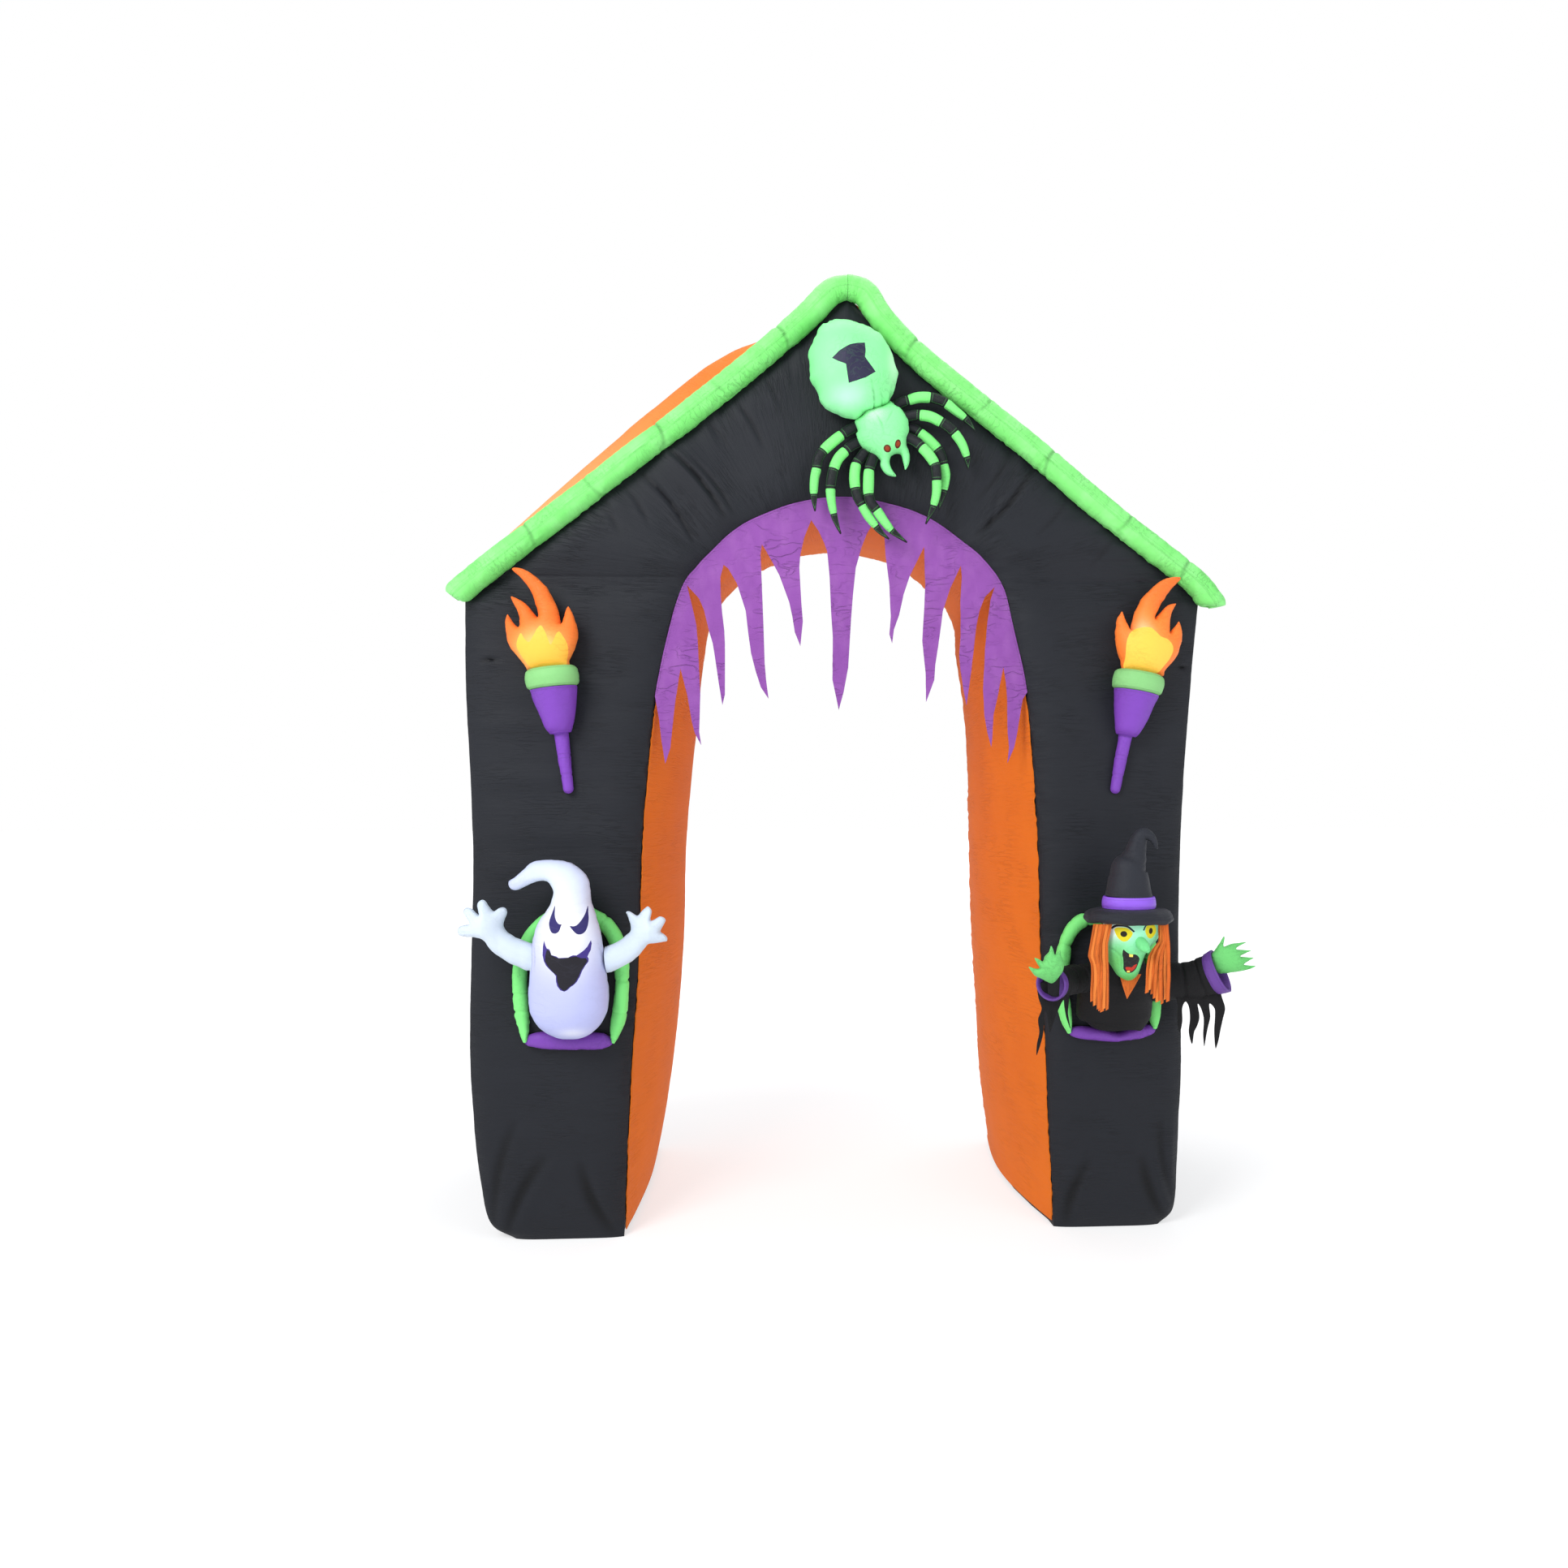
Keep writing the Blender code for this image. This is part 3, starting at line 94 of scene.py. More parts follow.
def softNoise(x, y, seed):
    # smooth random heights between -1 and 1, the same on each run
    table = np.random.default_rng(seed).random((noiseSize, noiseSize)) * 2 - 1
    x, y = np.broadcast_arrays(np.asarray(x, float), np.asarray(y, float))
    left, low = np.floor(x).astype(int), np.floor(y).astype(int)
    partX, partY = x - left, y - low
    partX, partY = partX * partX * (3 - 2 * partX), partY * partY * (3 - 2 * partY)
    under, above = (table[left % noiseSize, row % noiseSize] * (1 - partX)
                    + table[(left + 1) % noiseSize, row % noiseSize] * partX for row in (low, low + 1))
    return under * (1 - partY) + above * partY


def puckers(along, away, seed, height, reach, pitch=0.013):
    # ridges square to a seam, of uneven length, that fade into the cloth
    length = reach * (0.75 + 0.6 * softNoise(along / (pitch * 1.7), 0.5, seed + 1))
    ridge = softNoise(along / pitch, away / 0.08, seed)
    ridge = ridge + 0.6 * softNoise(along / (pitch * 0.55), away / 0.05, seed + 2)
    strength = 0.55 + 0.45 * softNoise(along / 0.13, 0.5, seed + 3)
    return height * strength * ridge * np.exp(-(away / length) ** 1.3) * (1 - np.exp(-away / 0.004))


def creaseHeight(x, z, creases):
    # each crease is a soft trough with a low ridge beside it: start, end, depth, width
    total = np.zeros_like(x)
    for startX, startZ, endX, endZ, depth, width in creases:
        runX, runZ = endX - startX, endZ - startZ
        length = math.hypot(runX, runZ)
        part = ((x - startX) * runX + (z - startZ) * runZ) / length ** 2
        bow = 0.05 * length * np.sin(math.pi * np.clip(part, 0, 1))
        side = ((x - startX) * runZ - (z - startZ) * runX) / length + bow
        inside = np.clip(part, 0, 1)
        overrun = np.maximum(np.abs(part - 0.5) - 0.5, 0) * length
        fade = np.exp(-(overrun / 0.012) ** 2) * np.sin(math.pi * (0.12 + 0.76 * inside))
        trough = -depth * np.exp(-(side / width) ** 2)
        ridge = 0.45 * depth * np.exp(-((side - width * 2.0) / (width * 1.5)) ** 2)
        total += (trough + ridge) * fade
    return total


def throughRows(values, rows, corners=()):
    # a smooth line through one column of a table, broken at the corner rows
    values = np.asarray(values, float)
    last = len(values) - 1
    index = np.clip(rows.astype(int), 0, last - 1)
    t = rows - index
    sharp = np.isin(np.arange(last + 1), [0, last, *corners])
    here, there = values[index], values[index + 1]
    before = np.where(sharp[index], 2 * here - there, values[np.maximum(index - 1, 0)])
    after = np.where(sharp[index + 1], 2 * there - here, values[np.minimum(index + 2, last)])
    slopeHere, slopeThere = (there - before) / 2, (after - here) / 2
    return ((2 * t ** 3 - 3 * t ** 2 + 1) * here + (t ** 3 - 2 * t ** 2 + t) * slopeHere
            + (3 * t ** 2 - 2 * t ** 3) * there + (t ** 3 - t ** 2) * slopeThere)


def unit(lines):
    return lines / np.maximum(np.linalg.norm(lines, axis=-1, keepdims=True), 1e-12)


def runAlong(points):
    # how far along its line each point lies
    return np.concatenate([[0], np.cumsum(np.linalg.norm(np.diff(points, axis=0), axis=1))])


def smoothPath(rows, spacing):
    # rows of numbers, x, y, z first, resampled evenly along a smooth line through them
    rows = np.asarray(rows, float)
    fine = np.linspace(0, len(rows) - 1, (len(rows) - 1) * 40 + 1)
    curve = np.stack([throughRows(column, fine) for column in rows.T], axis=1)
    run = runAlong(curve[:, :3])
    places = np.linspace(0, run[-1], max(int(run[-1] / spacing), 3) + 1)
    return np.stack([np.interp(places, run, column) for column in curve.T], axis=1), places


def cutStations():
    # closely spaced cuts through the arch, from the left foot over the ridge to the right foot
    columns = dict(zip(archSet["columns"], np.array(archSet["sections"]).T))
    corners = (archSet["leftEave"], archSet["apex"], archSet["rightEave"])
    breaks = (0, *corners, len(archSet["sections"]) - 1)

    def through(name, rows):
        return throughRows(columns[name], rows, corners if name.startswith("out") else ())

    rows = []
    for first, last in zip(breaks, breaks[1:]):
        fine = np.linspace(first, last, (last - first) * 60 + 1)
        inX, inZ, outX, outZ = (through(name, fine) for name in ("inX", "inZ", "outX", "outZ"))
        run = runAlong(np.stack([(inX + outX) / 2, (inZ + outZ) / 2], axis=1))
        count = int(run[-1] / archSet["spacing"])
        rows.append(np.interp(np.linspace(0, run[-1], count + 1), run, fine)[:-1])
    rows = np.concatenate([*rows, breaks[-1:]])
    stations = {name: through(name, rows) for name in columns}
    stations["row"] = rows
    for side, seed in (("in", 11), ("out", 12)):
        x, z = stations[side + "X"], stations[side + "Z"]
        runX, runZ = np.gradient(x), np.gradient(z)
        runX[[0, -1]] = 0.0
        length = np.hypot(runX, runZ)
        normal = np.stack([-runZ / length, np.zeros_like(x), runX / length], axis=1)
        run = np.concatenate([[0], np.cumsum(np.hypot(np.diff(x), np.diff(z)))])
        if side == "out":
            # the two slopes roll over into each other at the ridge
            ridge = run[np.argmin(np.abs(rows - archSet["apex"]))]
            near = np.clip(1 - np.abs(run - ridge) / archSet["ridgeRoll"], 0, 1)[:, None] ** 2
            normal = unit(normal * (1 - near) + np.array([0, 0, 1.0]) * near)
        wave = archSet["seamWave"] * softNoise(run / 0.050, 0.5, seed)
        wave += 0.35 * archSet["seamWave"] * softNoise(run / 0.012, 0.5, 13)
        wave *= np.clip(z / 0.03, 0, 1)
        seam = np.stack([x, np.full_like(x, frontSeam), z], axis=1) + normal * wave[:, None]
        stations[side + "Run"], stations[side + "Normal"], stations[side + "Seam"] = run, normal, seam
    back = np.array([0, archSet["depth"], 0])
    stations["inBack"] = stations["inSeam"] - stations["inNormal"] * stations["lean"][:, None] + back
    stations["outBack"] = stations["outSeam"] + back
    return stations


def spread(count, ease=0.5):
    # shares from 0 to 1, closer together beside both ends
    even = np.linspace(0, 1, count)
    return even * (1 - ease) + (0.5 - 0.5 * np.cos(math.pi * even)) * ease


def flatPillow(part):
    return 1 - np.abs(2 * part - 1) ** 6


def strip(start, end, parts):
    return start[:, None] * (1 - parts[None, :, None]) + end[:, None] * parts[None, :, None]


def clothPlaces(across, along):
    # each point's own place on the cloth, in metres
    return np.stack([part.ravel() for part in np.broadcast_arrays(across, along)], axis=1)


def setValues(piece, name, values, domain="POINT"):
    found = piece.data.attributes.new(name, "FLOAT", domain)
    found.data.foreach_set("value", np.asarray(values, dtype=np.float32).ravel())


def addMesh(name, points, faces, uv, seamGap, seamRun=None, paint=None):
    mesh = bpy.data.meshes.new(name)
    mesh.from_pydata(shiftToFrame(points).tolist(), [], faces)
    piece = bpy.data.objects.new(name, mesh)
    bpy.context.scene.collection.objects.link(piece)
    layer = mesh.uv_layers.new(name="cloth")
    corner = np.zeros(len(mesh.loops), dtype=np.int64)
    mesh.loops.foreach_get("vertex_index", corner)
    layer.data.foreach_set("uv", uv[corner].astype(np.float32).ravel())
    setValues(piece, "seamGap", seamGap)
    setValues(piece, "seamRun", uv[:, 1] if seamRun is None else seamRun)
    setValues(piece, "paint", np.zeros(len(faces)) if paint is None else paint, "FACE")
    return piece


def gridFaces(rows, columns, closed=False, start=0, flip=False):
    faces = []
    for low in range(start, start + (rows - 1) * columns, columns):
        for column in range(columns if closed else columns - 1):
            there = (column + 1) % columns
            face = (low + column, low + there, low + columns + there, low + columns + column)
            faces.append(face[::-1] if flip else face)
    return faces


def tubeFaces(rows, columns):
    # a tube's rings and its two ends
    ends = [tuple(range(columns)), tuple(range((rows - 1) * columns, rows * columns))]
    return gridFaces(rows, columns, closed=True) + ends


def selectOnly(piece):
    for other in list(bpy.context.selected_objects):
        other.select_set(False)
    bpy.context.view_layer.objects.active = piece
    piece.select_set(True)


def turnFacesOut(piece):
    selectOnly(piece)
    bpy.ops.object.mode_set(mode="EDIT")
    bpy.ops.mesh.select_all(action="SELECT")
    bpy.ops.mesh.normals_make_consistent(inside=False)
    bpy.ops.object.mode_set(mode="OBJECT")


def movePoints(piece, move):
    spots = np.zeros(len(piece.data.vertices) * 3)
    piece.data.vertices.foreach_get("co", spots)
    spots = spots.reshape(-1, 3)
    move(spots)
    piece.data.vertices.foreach_set("co", spots.ravel())
    piece.data.update()


def smoothShade(piece, angle=50):
    selectOnly(piece)
    bpy.ops.object.shade_smooth_by_angle(angle=math.radians(angle))
    piece.select_set(False)


def thicken(piece, thick):
    wall = piece.modifiers.new("wall", "SOLIDIFY")
    wall.thickness = thick
    wall.offset = 0
    selectOnly(piece)
    bpy.ops.object.modifier_apply(modifier=wall.name)


def cutOff(piece, *cuts):
    # takes off what lies beyond planes through points of the arch's x and z, and closes the cuts
    selectOnly(piece)
    bpy.ops.object.mode_set(mode="EDIT")
    for place, along in cuts:
        bpy.ops.mesh.select_all(action="SELECT")
        bpy.ops.mesh.bisect(plane_co=(place[0] - archSet["middle"][0], 0, place[1]), plane_no=along,
                            use_fill=True, clear_outer=True)
    bpy.ops.mesh.select_all(action="DESELECT")
    bpy.ops.object.mode_set(mode="OBJECT")


# cloth materials

clothGroups = {}


def newGroup(name, inputs, outputs):
    group = bpy.data.node_groups.new(name, "ShaderNodeTree")
    for socket, kind, value in inputs:
        made = group.interface.new_socket(name=socket, in_out="INPUT", socket_type="NodeSocket" + kind)
        if value is not None:
            made.default_value = value
    for socket in outputs:
        group.interface.new_socket(name=socket, in_out="OUTPUT", socket_type="NodeSocketFloat")
    clothGroups[name] = group
    into, out = group.nodes.new("NodeGroupInput"), group.nodes.new("NodeGroupOutput")
    return group, into.outputs, out.inputs


def addNode(tree, kind, operation=None, *values, **settings):
    node = tree.nodes.new("ShaderNode" + kind)
    if operation:
        node.operation = operation
    for key, value in settings.items():
        setattr(node, key, value)
    for index, value in enumerate(values):
        if isinstance(value, bpy.types.NodeSocket):
            tree.links.new(value, node.inputs[index])
        elif value is not None:
            node.inputs[index].default_value = value
    return node


def maths(tree, operation, *values, clamp=False):
    return addNode(tree, "Math", operation, *values, use_clamp=clamp).outputs[0]


def noiseNode(tree, place, **values):
    node = addNode(tree, "TexNoise", None, place)
    for name, value in values.items():
        node.inputs[name].default_value = value
    return node.outputs["Fac"]


def readValues(tree, name):
    return addNode(tree, "Attribute", None, attribute_name=name).outputs["Fac"]


def buildWeave():
    # plain weave with a heavier thread now and then, worked out on the cloth's own metres
    group, into, out = newGroup("plainWeave", (
        ("Place", "Vector", None), ("Thread", "Float", 0.0011), ("Rip", "Float", 0.006)), ("Shade", "Height"))
    parts = addNode(group, "SeparateXYZ", None, into["Place"])
    waves, ripLines = [], []
    for axis in (0, 1):
        turns = maths(group, "DIVIDE", parts.outputs[axis], into["Thread"])
        waves.append(maths(group, "SINE", maths(group, "MULTIPLY", turns, 2 * math.pi)))
    over = maths(group, "MULTIPLY", *waves)
    for axis in (0, 1):
        turns = maths(group, "DIVIDE", parts.outputs[axis], into["Rip"])
        ripLines.append(maths(group, "GREATER_THAN", maths(group, "FRACT", turns), 0.86))
    rip = maths(group, "MAXIMUM", *ripLines)
    group.links.new(maths(group, "MULTIPLY_ADD", over, 0.5, 0.5), out["Shade"])
    group.links.new(maths(group, "MULTIPLY_ADD", rip, 0.7, maths(group, "MULTIPLY", over, 0.5)),
        out["Height"])


def buildWrinkles():
    # fine ridges square to the seams, dying away from them, over a slack all-over unevenness
    group, into, out = newGroup("seamWrinkles", (
        ("Body", "Vector", None), ("Along", "Float", 0.0), ("Away", "Float", 1.0), ("Reach", "Float", 0.035),
        ("Pitch", "Float", 0.007)), ("Height", "Shade"))
    alongTurns = maths(group, "DIVIDE", into["Along"], into["Pitch"])
    acrossTurns = maths(group, "MULTIPLY", into["Away"], 14.0)
    place = addNode(group, "CombineXYZ", None, acrossTurns, alongTurns, 0.0).outputs[0]
    fine = addNode(group, "TexNoise", None, place).outputs["Fac"]
    ease = maths(group, "DIVIDE", into["Away"], into["Reach"])
    fade = maths(group, "POWER", powerBase, maths(group, "MULTIPLY", ease, -1.0))
    slack = noiseNode(group, into["Body"], Scale=5.0, Detail=3.0)
    ridges = maths(group, "MULTIPLY", maths(group, "SUBTRACT", fine, 0.5), fade)
    group.links.new(maths(group, "MULTIPLY_ADD", slack, 0.35, ridges), out["Height"])
    group.links.new(slack, out["Shade"])


def buildCreases():
    # thin broken fold lines, long one way and close together the other, that come and go over the cloth
    group, into, out = newGroup("creaseLines", (
        ("Place", "Vector", None), ("Wide", "Float", 0.05), ("High", "Float", 0.02)), ("Line", "Patch"))
    parts = addNode(group, "SeparateXYZ", None, into["Place"])
    sizes = [maths(group, "DIVIDE", parts.outputs[axis], into[name])
             for axis, name in enumerate(("Wide", "High"))]
    place = addNode(group, "CombineXYZ", None, *sizes, 0.0).outputs[0]
    folds = noiseNode(group, place, Scale=1.0, Detail=2.0, Distortion=0.4)
    patches = noiseNode(group, into["Place"], Scale=7.0)
    near = maths(group, "MULTIPLY", maths(group, "ABSOLUTE", maths(group, "SUBTRACT", folds, 0.5)), -22.0)
    line = maths(group, "ADD", near, 1.0, clamp=True)
    patch = maths(group, "MULTIPLY", maths(group, "SUBTRACT", patches, 0.40), 4.5, clamp=True)
    group.links.new(maths(group, "MULTIPLY", line, patch), out["Line"])
    group.links.new(folds, out["Patch"])


def buildStitches():
    # a row of thread stitches beside the seam: 1 on the thread
    group, into, out = newGroup("stitchRow", (
        ("Along", "Float", 0.0), ("Away", "Float", 1.0), ("Inset", "Float", 0.006), ("Step", "Float", 0.004)),
        ("Thread",))
    offset = maths(group, "ABSOLUTE", maths(group, "SUBTRACT", into["Away"], into["Inset"]))
    near = maths(group, "LESS_THAN", offset, 0.0007)
    steps = maths(group, "FRACT", maths(group, "DIVIDE", into["Along"], into["Step"]))
    dash = maths(group, "LESS_THAN", steps, 0.68)
    group.links.new(maths(group, "MULTIPLY", near, dash), out["Thread"])


def useGroup(tree, name, **values):
    node = tree.nodes.new("ShaderNodeGroup")
    node.node_tree = clothGroups[name]
    for key, value in values.items():
        if isinstance(value, bpy.types.NodeSocket):
            tree.links.new(value, node.inputs[key])
        else:
            node.inputs[key].default_value = value
    return node.outputs


def mixColour(tree, factor, first, second):
    node = tree.nodes.new("ShaderNodeMix")
    node.data_type = "RGBA"
    for socket, value in ((node.inputs[0], factor), (node.inputs[6], first), (node.inputs[7], second)):
        if isinstance(value, bpy.types.NodeSocket):
            tree.links.new(value, socket)
        else:
            socket.default_value = (*value, 1.0)
    return node.outputs[2]


clothFinishes = {
    # colour, the shade it turns where it is slack, roughness, sheen and gloss
    "blackNylon": ((0.013, 0.015, 0.0205), (0.008, 0.0092, 0.0135), 0.6, 0.04, 0.24),
    "handNylon": ((0.18, 0.66, 0.19), (0.12, 0.52, 0.13), 0.5, 0, 0.25),
    # armNylon: the ghost's same white cloth, dyed paler for its better lit arms: painted light
    "armNylon": ((0.66, 0.745, 0.83), (0.56, 0.65, 0.78), 0.5, 0, 0.25),
    "robeNylon": ((0.0075, 0.0072, 0.0085), (0.0045, 0.0045, 0.0055), 0.62, 0.02, 0.2),
    "hatNylon": ((0.022, 0.025, 0.034), (0.014, 0.015, 0.022), 0.55, 0.05, 0.25),
    "orangeNylon": ((0.77, 0.186, 0.018), (0.66, 0.138, 0.01), 0.66, 0, 0.08),
    "limeNylon": ((0.235, 0.86, 0.235), (0.185, 0.77, 0.185), 0.5, 0, 0.25),
    "trimNylon": ((0.25, 0.82, 0.22), (0.14, 0.66, 0.12), 0.5, 0, 0.3),
    "purpleNylon": ((0.235, 0.065, 0.53), (0.15, 0.04, 0.35), 0.5, 0, 0.3),
    "cuffNylon": ((0.16, 0.06, 0.34), (0.11, 0.04, 0.26), 0.5, 0, 0.3),
    "sillNylon": ((0.2, 0.058, 0.43), (0.17, 0.045, 0.37), 0.5, 0, 0.3),
    "violetFelt": ((0.27, 0.085, 0.37), (0.2, 0.06, 0.28), 0.85, 0.1, 0.15),
    # whiteNylon: the ghost's white cloth, dyed the lavender of its less lit belly: painted shade; ghostCloth
    # paints its lit face paler
    "whiteNylon": ((0.5, 0.535, 0.84), (0.44, 0.47, 0.79), 0.5, 0, 0.25),
    "flameNylon": ((0.86, 0.19, 0.03), (0.74, 0.125, 0.018), 0.5, 0, 0.25),
    "mintNylon": ((0.27, 0.86, 0.36), (0.2, 0.78, 0.26), 0.5, 0, 0.3),
    "skinNylon": ((0.2, 0.74, 0.3), (0.13, 0.6, 0.19), 0.5, 0, 0.25),
    "bandNylon": ((0.32, 0.12, 0.84), (0.25, 0.09, 0.72), 0.35, 0, 0.4),
    "collarNylon": ((0.28, 0.62, 0.24), (0.19, 0.5, 0.16), 0.5, 0, 0.25),
    "hairCloth": ((0.8, 0.19, 0.03), (0.62, 0.12, 0.015), 0.75, 0.1, 0.2),
}


def makeCloth(name, finish, paint=None, glow=0.0, thread=0.0011, bump=0.6, folds=(0.03, 0.014, 0.5, 0.16)):
    # folds: how long and how close the fold lines are on the cloth, their depth and how dark they are
    # painted, as painted shade
    # paint(tree, colour) puts printed areas, painted light and painted shade over the dyed cloth and returns
    # the colour
    colour, slack, rough, sheen, gloss = clothFinishes[finish]
    foldLong, foldClose, foldDepth, foldShade = folds
    material = bpy.data.materials.new(name)
    material.use_nodes = True
    tree = material.node_tree
    shader = tree.nodes["Principled BSDF"]

    def darker(base, mask, strength, share, least=0.0):
        mask = maths(tree, "MULTIPLY", mask, strength)
        return mixColour(tree, mask, base, tuple(value * share + least for value in colour))

    coords = tree.nodes.new("ShaderNodeTexCoord")
    away, along = readValues(tree, "seamGap"), readValues(tree, "seamRun")
    weave = useGroup(tree, "plainWeave", Place=coords.outputs["UV"], Thread=thread)
    wrinkles = useGroup(tree, "seamWrinkles", Body=coords.outputs["Object"], Along=along, Away=away)
    creased = useGroup(tree, "creaseLines", Place=coords.outputs["UV"], Wide=foldLong, High=foldClose)
    stitches = useGroup(tree, "stitchRow", Along=along, Away=away)
    dyed = darker(mixColour(tree, wrinkles["Shade"], slack, colour), weave["Shade"], 0.10, 0.55)
    if paint:
        dyed = paint(tree, dyed)
    # painted shade: the colour darkens along the fold lines
    dyed = darker(dyed, creased["Line"], foldShade, 0.25)
    # painted shade: the colour darkens where sunkShade marks crease troughs, grooves and the gaps between
    # strips
    dyed = darker(dyed, readValues(tree, "sunkShade"), 0.8, 0.12)
    dyed = darker(dyed, stitches["Thread"], 0.6, 0.45, 0.01)
    height = maths(tree, "MULTIPLY_ADD", weave["Height"], 0.06, wrinkles["Height"])
    for raised, share in ((stitches["Thread"], -0.35), (creased["Line"], -foldDepth),
                          (creased["Patch"], foldDepth * 1.5)):
        height = maths(tree, "MULTIPLY_ADD", raised, share, height)
    relief = addNode(tree, "Bump", None)
    relief.inputs["Strength"].default_value = bump
    relief.inputs["Distance"].default_value = 0.002
    roughness = maths(tree, "MULTIPLY_ADD", wrinkles["Shade"], 0.16, rough - 0.08)
    for source, target in ((dyed, shader.inputs["Base Color"]), (roughness, shader.inputs["Roughness"]),
                           (height, relief.inputs["Height"]),
                           (relief.outputs["Normal"], shader.inputs["Normal"])):
        tree.links.new(source, target)
    shader.inputs["Specular IOR Level"].default_value = gloss
    shader.inputs["Sheen Weight"].default_value = sheen
    shader.inputs["Sheen Roughness"].default_value = 0.4
    if glow:
        tree.links.new(dyed, shader.inputs["Emission Color"])
        shader.inputs["Emission Strength"].default_value = glow
    return material


def printAndPaintedLight(colours, spots=()):
    # soft spots of painted light and painted shade first, then each printed colour on the faces that carry
    # its number
    def paint(tree, colour):
        sheet = addNode(tree, "SeparateXYZ", None, addNode(tree, "UVMap", None).outputs[0])
        # each spot mixes its tint in softly: a paler tint is painted light, a darker tint painted shade
        for middle, reach, tint, strength in spots:
            squares = []
            for axis in (0, 1):
                side = maths(tree, "DIVIDE", maths(tree, "SUBTRACT", sheet.outputs[axis], middle[axis]),
                    reach[axis])
                squares.append(maths(tree, "MULTIPLY", side, side))
            far = maths(tree, "MULTIPLY", maths(tree, "ADD", *squares), -1.0)
            mask = maths(tree, "MULTIPLY", maths(tree, "POWER", powerBase, far), strength)
            colour = mixColour(tree, mask, colour, tint)
        number = readValues(tree, "paint")
        for index, tint in enumerate(colours, 1):
            if tint is not None:
                mask = maths(tree, "COMPARE", number, float(index), 0.4)
                colour = mixColour(tree, mask, colour, tint)
        return colour
    return paint


def paintedFacetLight(tint, strength, scale):
    # painted highlights: paler noise patches that stand in for crumpled facets catching the light
    def paint(tree, colour):
        place = addNode(tree, "VectorMath", "MULTIPLY", addNode(tree, "UVMap", None).outputs[0], (*scale, 1))
        facets = noiseNode(tree, place.outputs[0], Scale=1.0, Detail=3.0)
        mask = maths(tree, "MULTIPLY", maths(tree, "SUBTRACT", facets, 0.44), 3.5, clamp=True)
        return mixColour(tree, maths(tree, "MULTIPLY", mask, strength), colour, tint)
    return paint


def keepClear(piece, others, gap=0.0005):
    # presses a soft piece flat where it would run into a neighbour
    spots = piece.data.vertices
    for other in others:
        mesh = bpy.data.objects[other].data
        tree = BVHTree.FromPolygons([point.co for point in mesh.vertices],
                                    [face.vertices for face in mesh.polygons])
        for spot in spots:
            near, normal, *_ = tree.find_nearest(spot.co, 0.03)
            if near is not None and (spot.co - near).dot(normal) < gap:
                spot.co = near + normal * gap
    piece.data.update()


def finishPiece(piece, material):
    piece.data.materials.clear()
    piece.data.materials.append(material)
    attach(piece, "root")
    return piece


buildWeave()
buildWrinkles()
buildStitches()
buildCreases()
blackCloth = makeCloth("blackCloth", "blackNylon", folds=(0.11, 0.010, 0.7, 0.42))
orangeCloth = makeCloth("orangeCloth", "orangeNylon", folds=(0.11, 0.011, 0.8, 0.12))
limeCloth = makeCloth("limeCloth", "limeNylon")
trimCloth = makeCloth("trimCloth", "trimNylon", folds=(0.035, 0.016, 0.8, 0.34),
    paint=paintedFacetLight((0.42, 0.95, 0.40), 0.32, (9, 12)))
purpleCloth = makeCloth("purpleCloth", "purpleNylon")
sillCloth = makeCloth("sillCloth", "sillNylon")
collarCloth = makeCloth("collarCloth", "collarNylon")
# a soft paler patch on the left roof, strongest at its front edge near the eave: painted light
roofCloth = makeCloth("roofCloth", "orangeNylon", folds=(0.11, 0.011, 0.8, 0.12), paint=printAndPaintedLight(
    (), (((0.0, 1.92), (0.60, 0.55), (0.95, 0.46, 0.20), 0.85),)))
violetCloth = makeCloth("violetCloth", "violetFelt", thread=0.0024, bump=0.9, folds=(0.075, 0.030, 1.6, 0.06),
                        paint=paintedFacetLight((0.40, 0.17, 0.48), 0.20, (26, 12)))
print("cloth materials made")


# the body

bodySet = {
    "front": 66, "side": 18, "back": 12, "hidden": 8,
    "undulation": 0.0035, "legSlack": 0.0022, "seamDent": 0.0028,
    # puckers on the front, from the inner or outer seam: seed, height, reach and pitch
    "puckers": (("inner", 31, 0.0022, 0.035, 0.013), ("outer", 32, 0.0022, 0.035, 0.013),
                ("gable", 33, 0.0085, 0.080, 0.026), ("inner", 38, 0.0050, 0.060, 0.022)),
    # long creases of the gable and the legs: start, end, depth and width
    "creases": measured(6,
        -575, 2165, -435, 1985, 6.5, 6, -500, 2235, -345, 2050, 8.1, 6.8, -430, 2205, -320, 2060, 4.3, 5.6,
        -620, 2120, -560, 2030, 3.7, 5.6, -690, 2075, -640, 2000, 3.1, 5.2,
        -320, 2385, -235, 2250, 4.6, 6.4, -235, 2445, -180, 2350, 3.1, 5.2,
        -790, 1990, -740, 1930, 2.8, 5.2, -385, 2310, -330, 2240, 3.1, 5.2, 545, 2200, 385, 2010, 7.7, 6.8,
        480, 2245, 390, 2115, 5, 6, 645, 2115, 560, 2010, 4, 6, 780, 2005, 715, 1920, 3.4, 5.6,
        350, 2350, 285, 2240, 4, 6, 440, 2110, 400, 2010, 3.4, 5.6, 240, 2440, 205, 2380, 2.8, 4.8,
        -955, 20, -850, 230, 8.5, 16, -660, 20, -745, 210, 8.5, 16, -990, 60, -930, 330, 6, 14,
        640, 20, 700, 190, 8, 16, 930, 20, 860, 200, 8, 16, 955, 70, 915, 300, 6, 14,
        -1018, 1630, -980, 1634, 9, 5.5, 1000, 1627, 966, 1630, 8.5, 5.5),
    # sewn level seams across each leg's front under the eaves: from x, to x, height
    "levelSeams": ((-0.985, -0.468, 1.872), (0.460, 0.985, 1.874)),
}


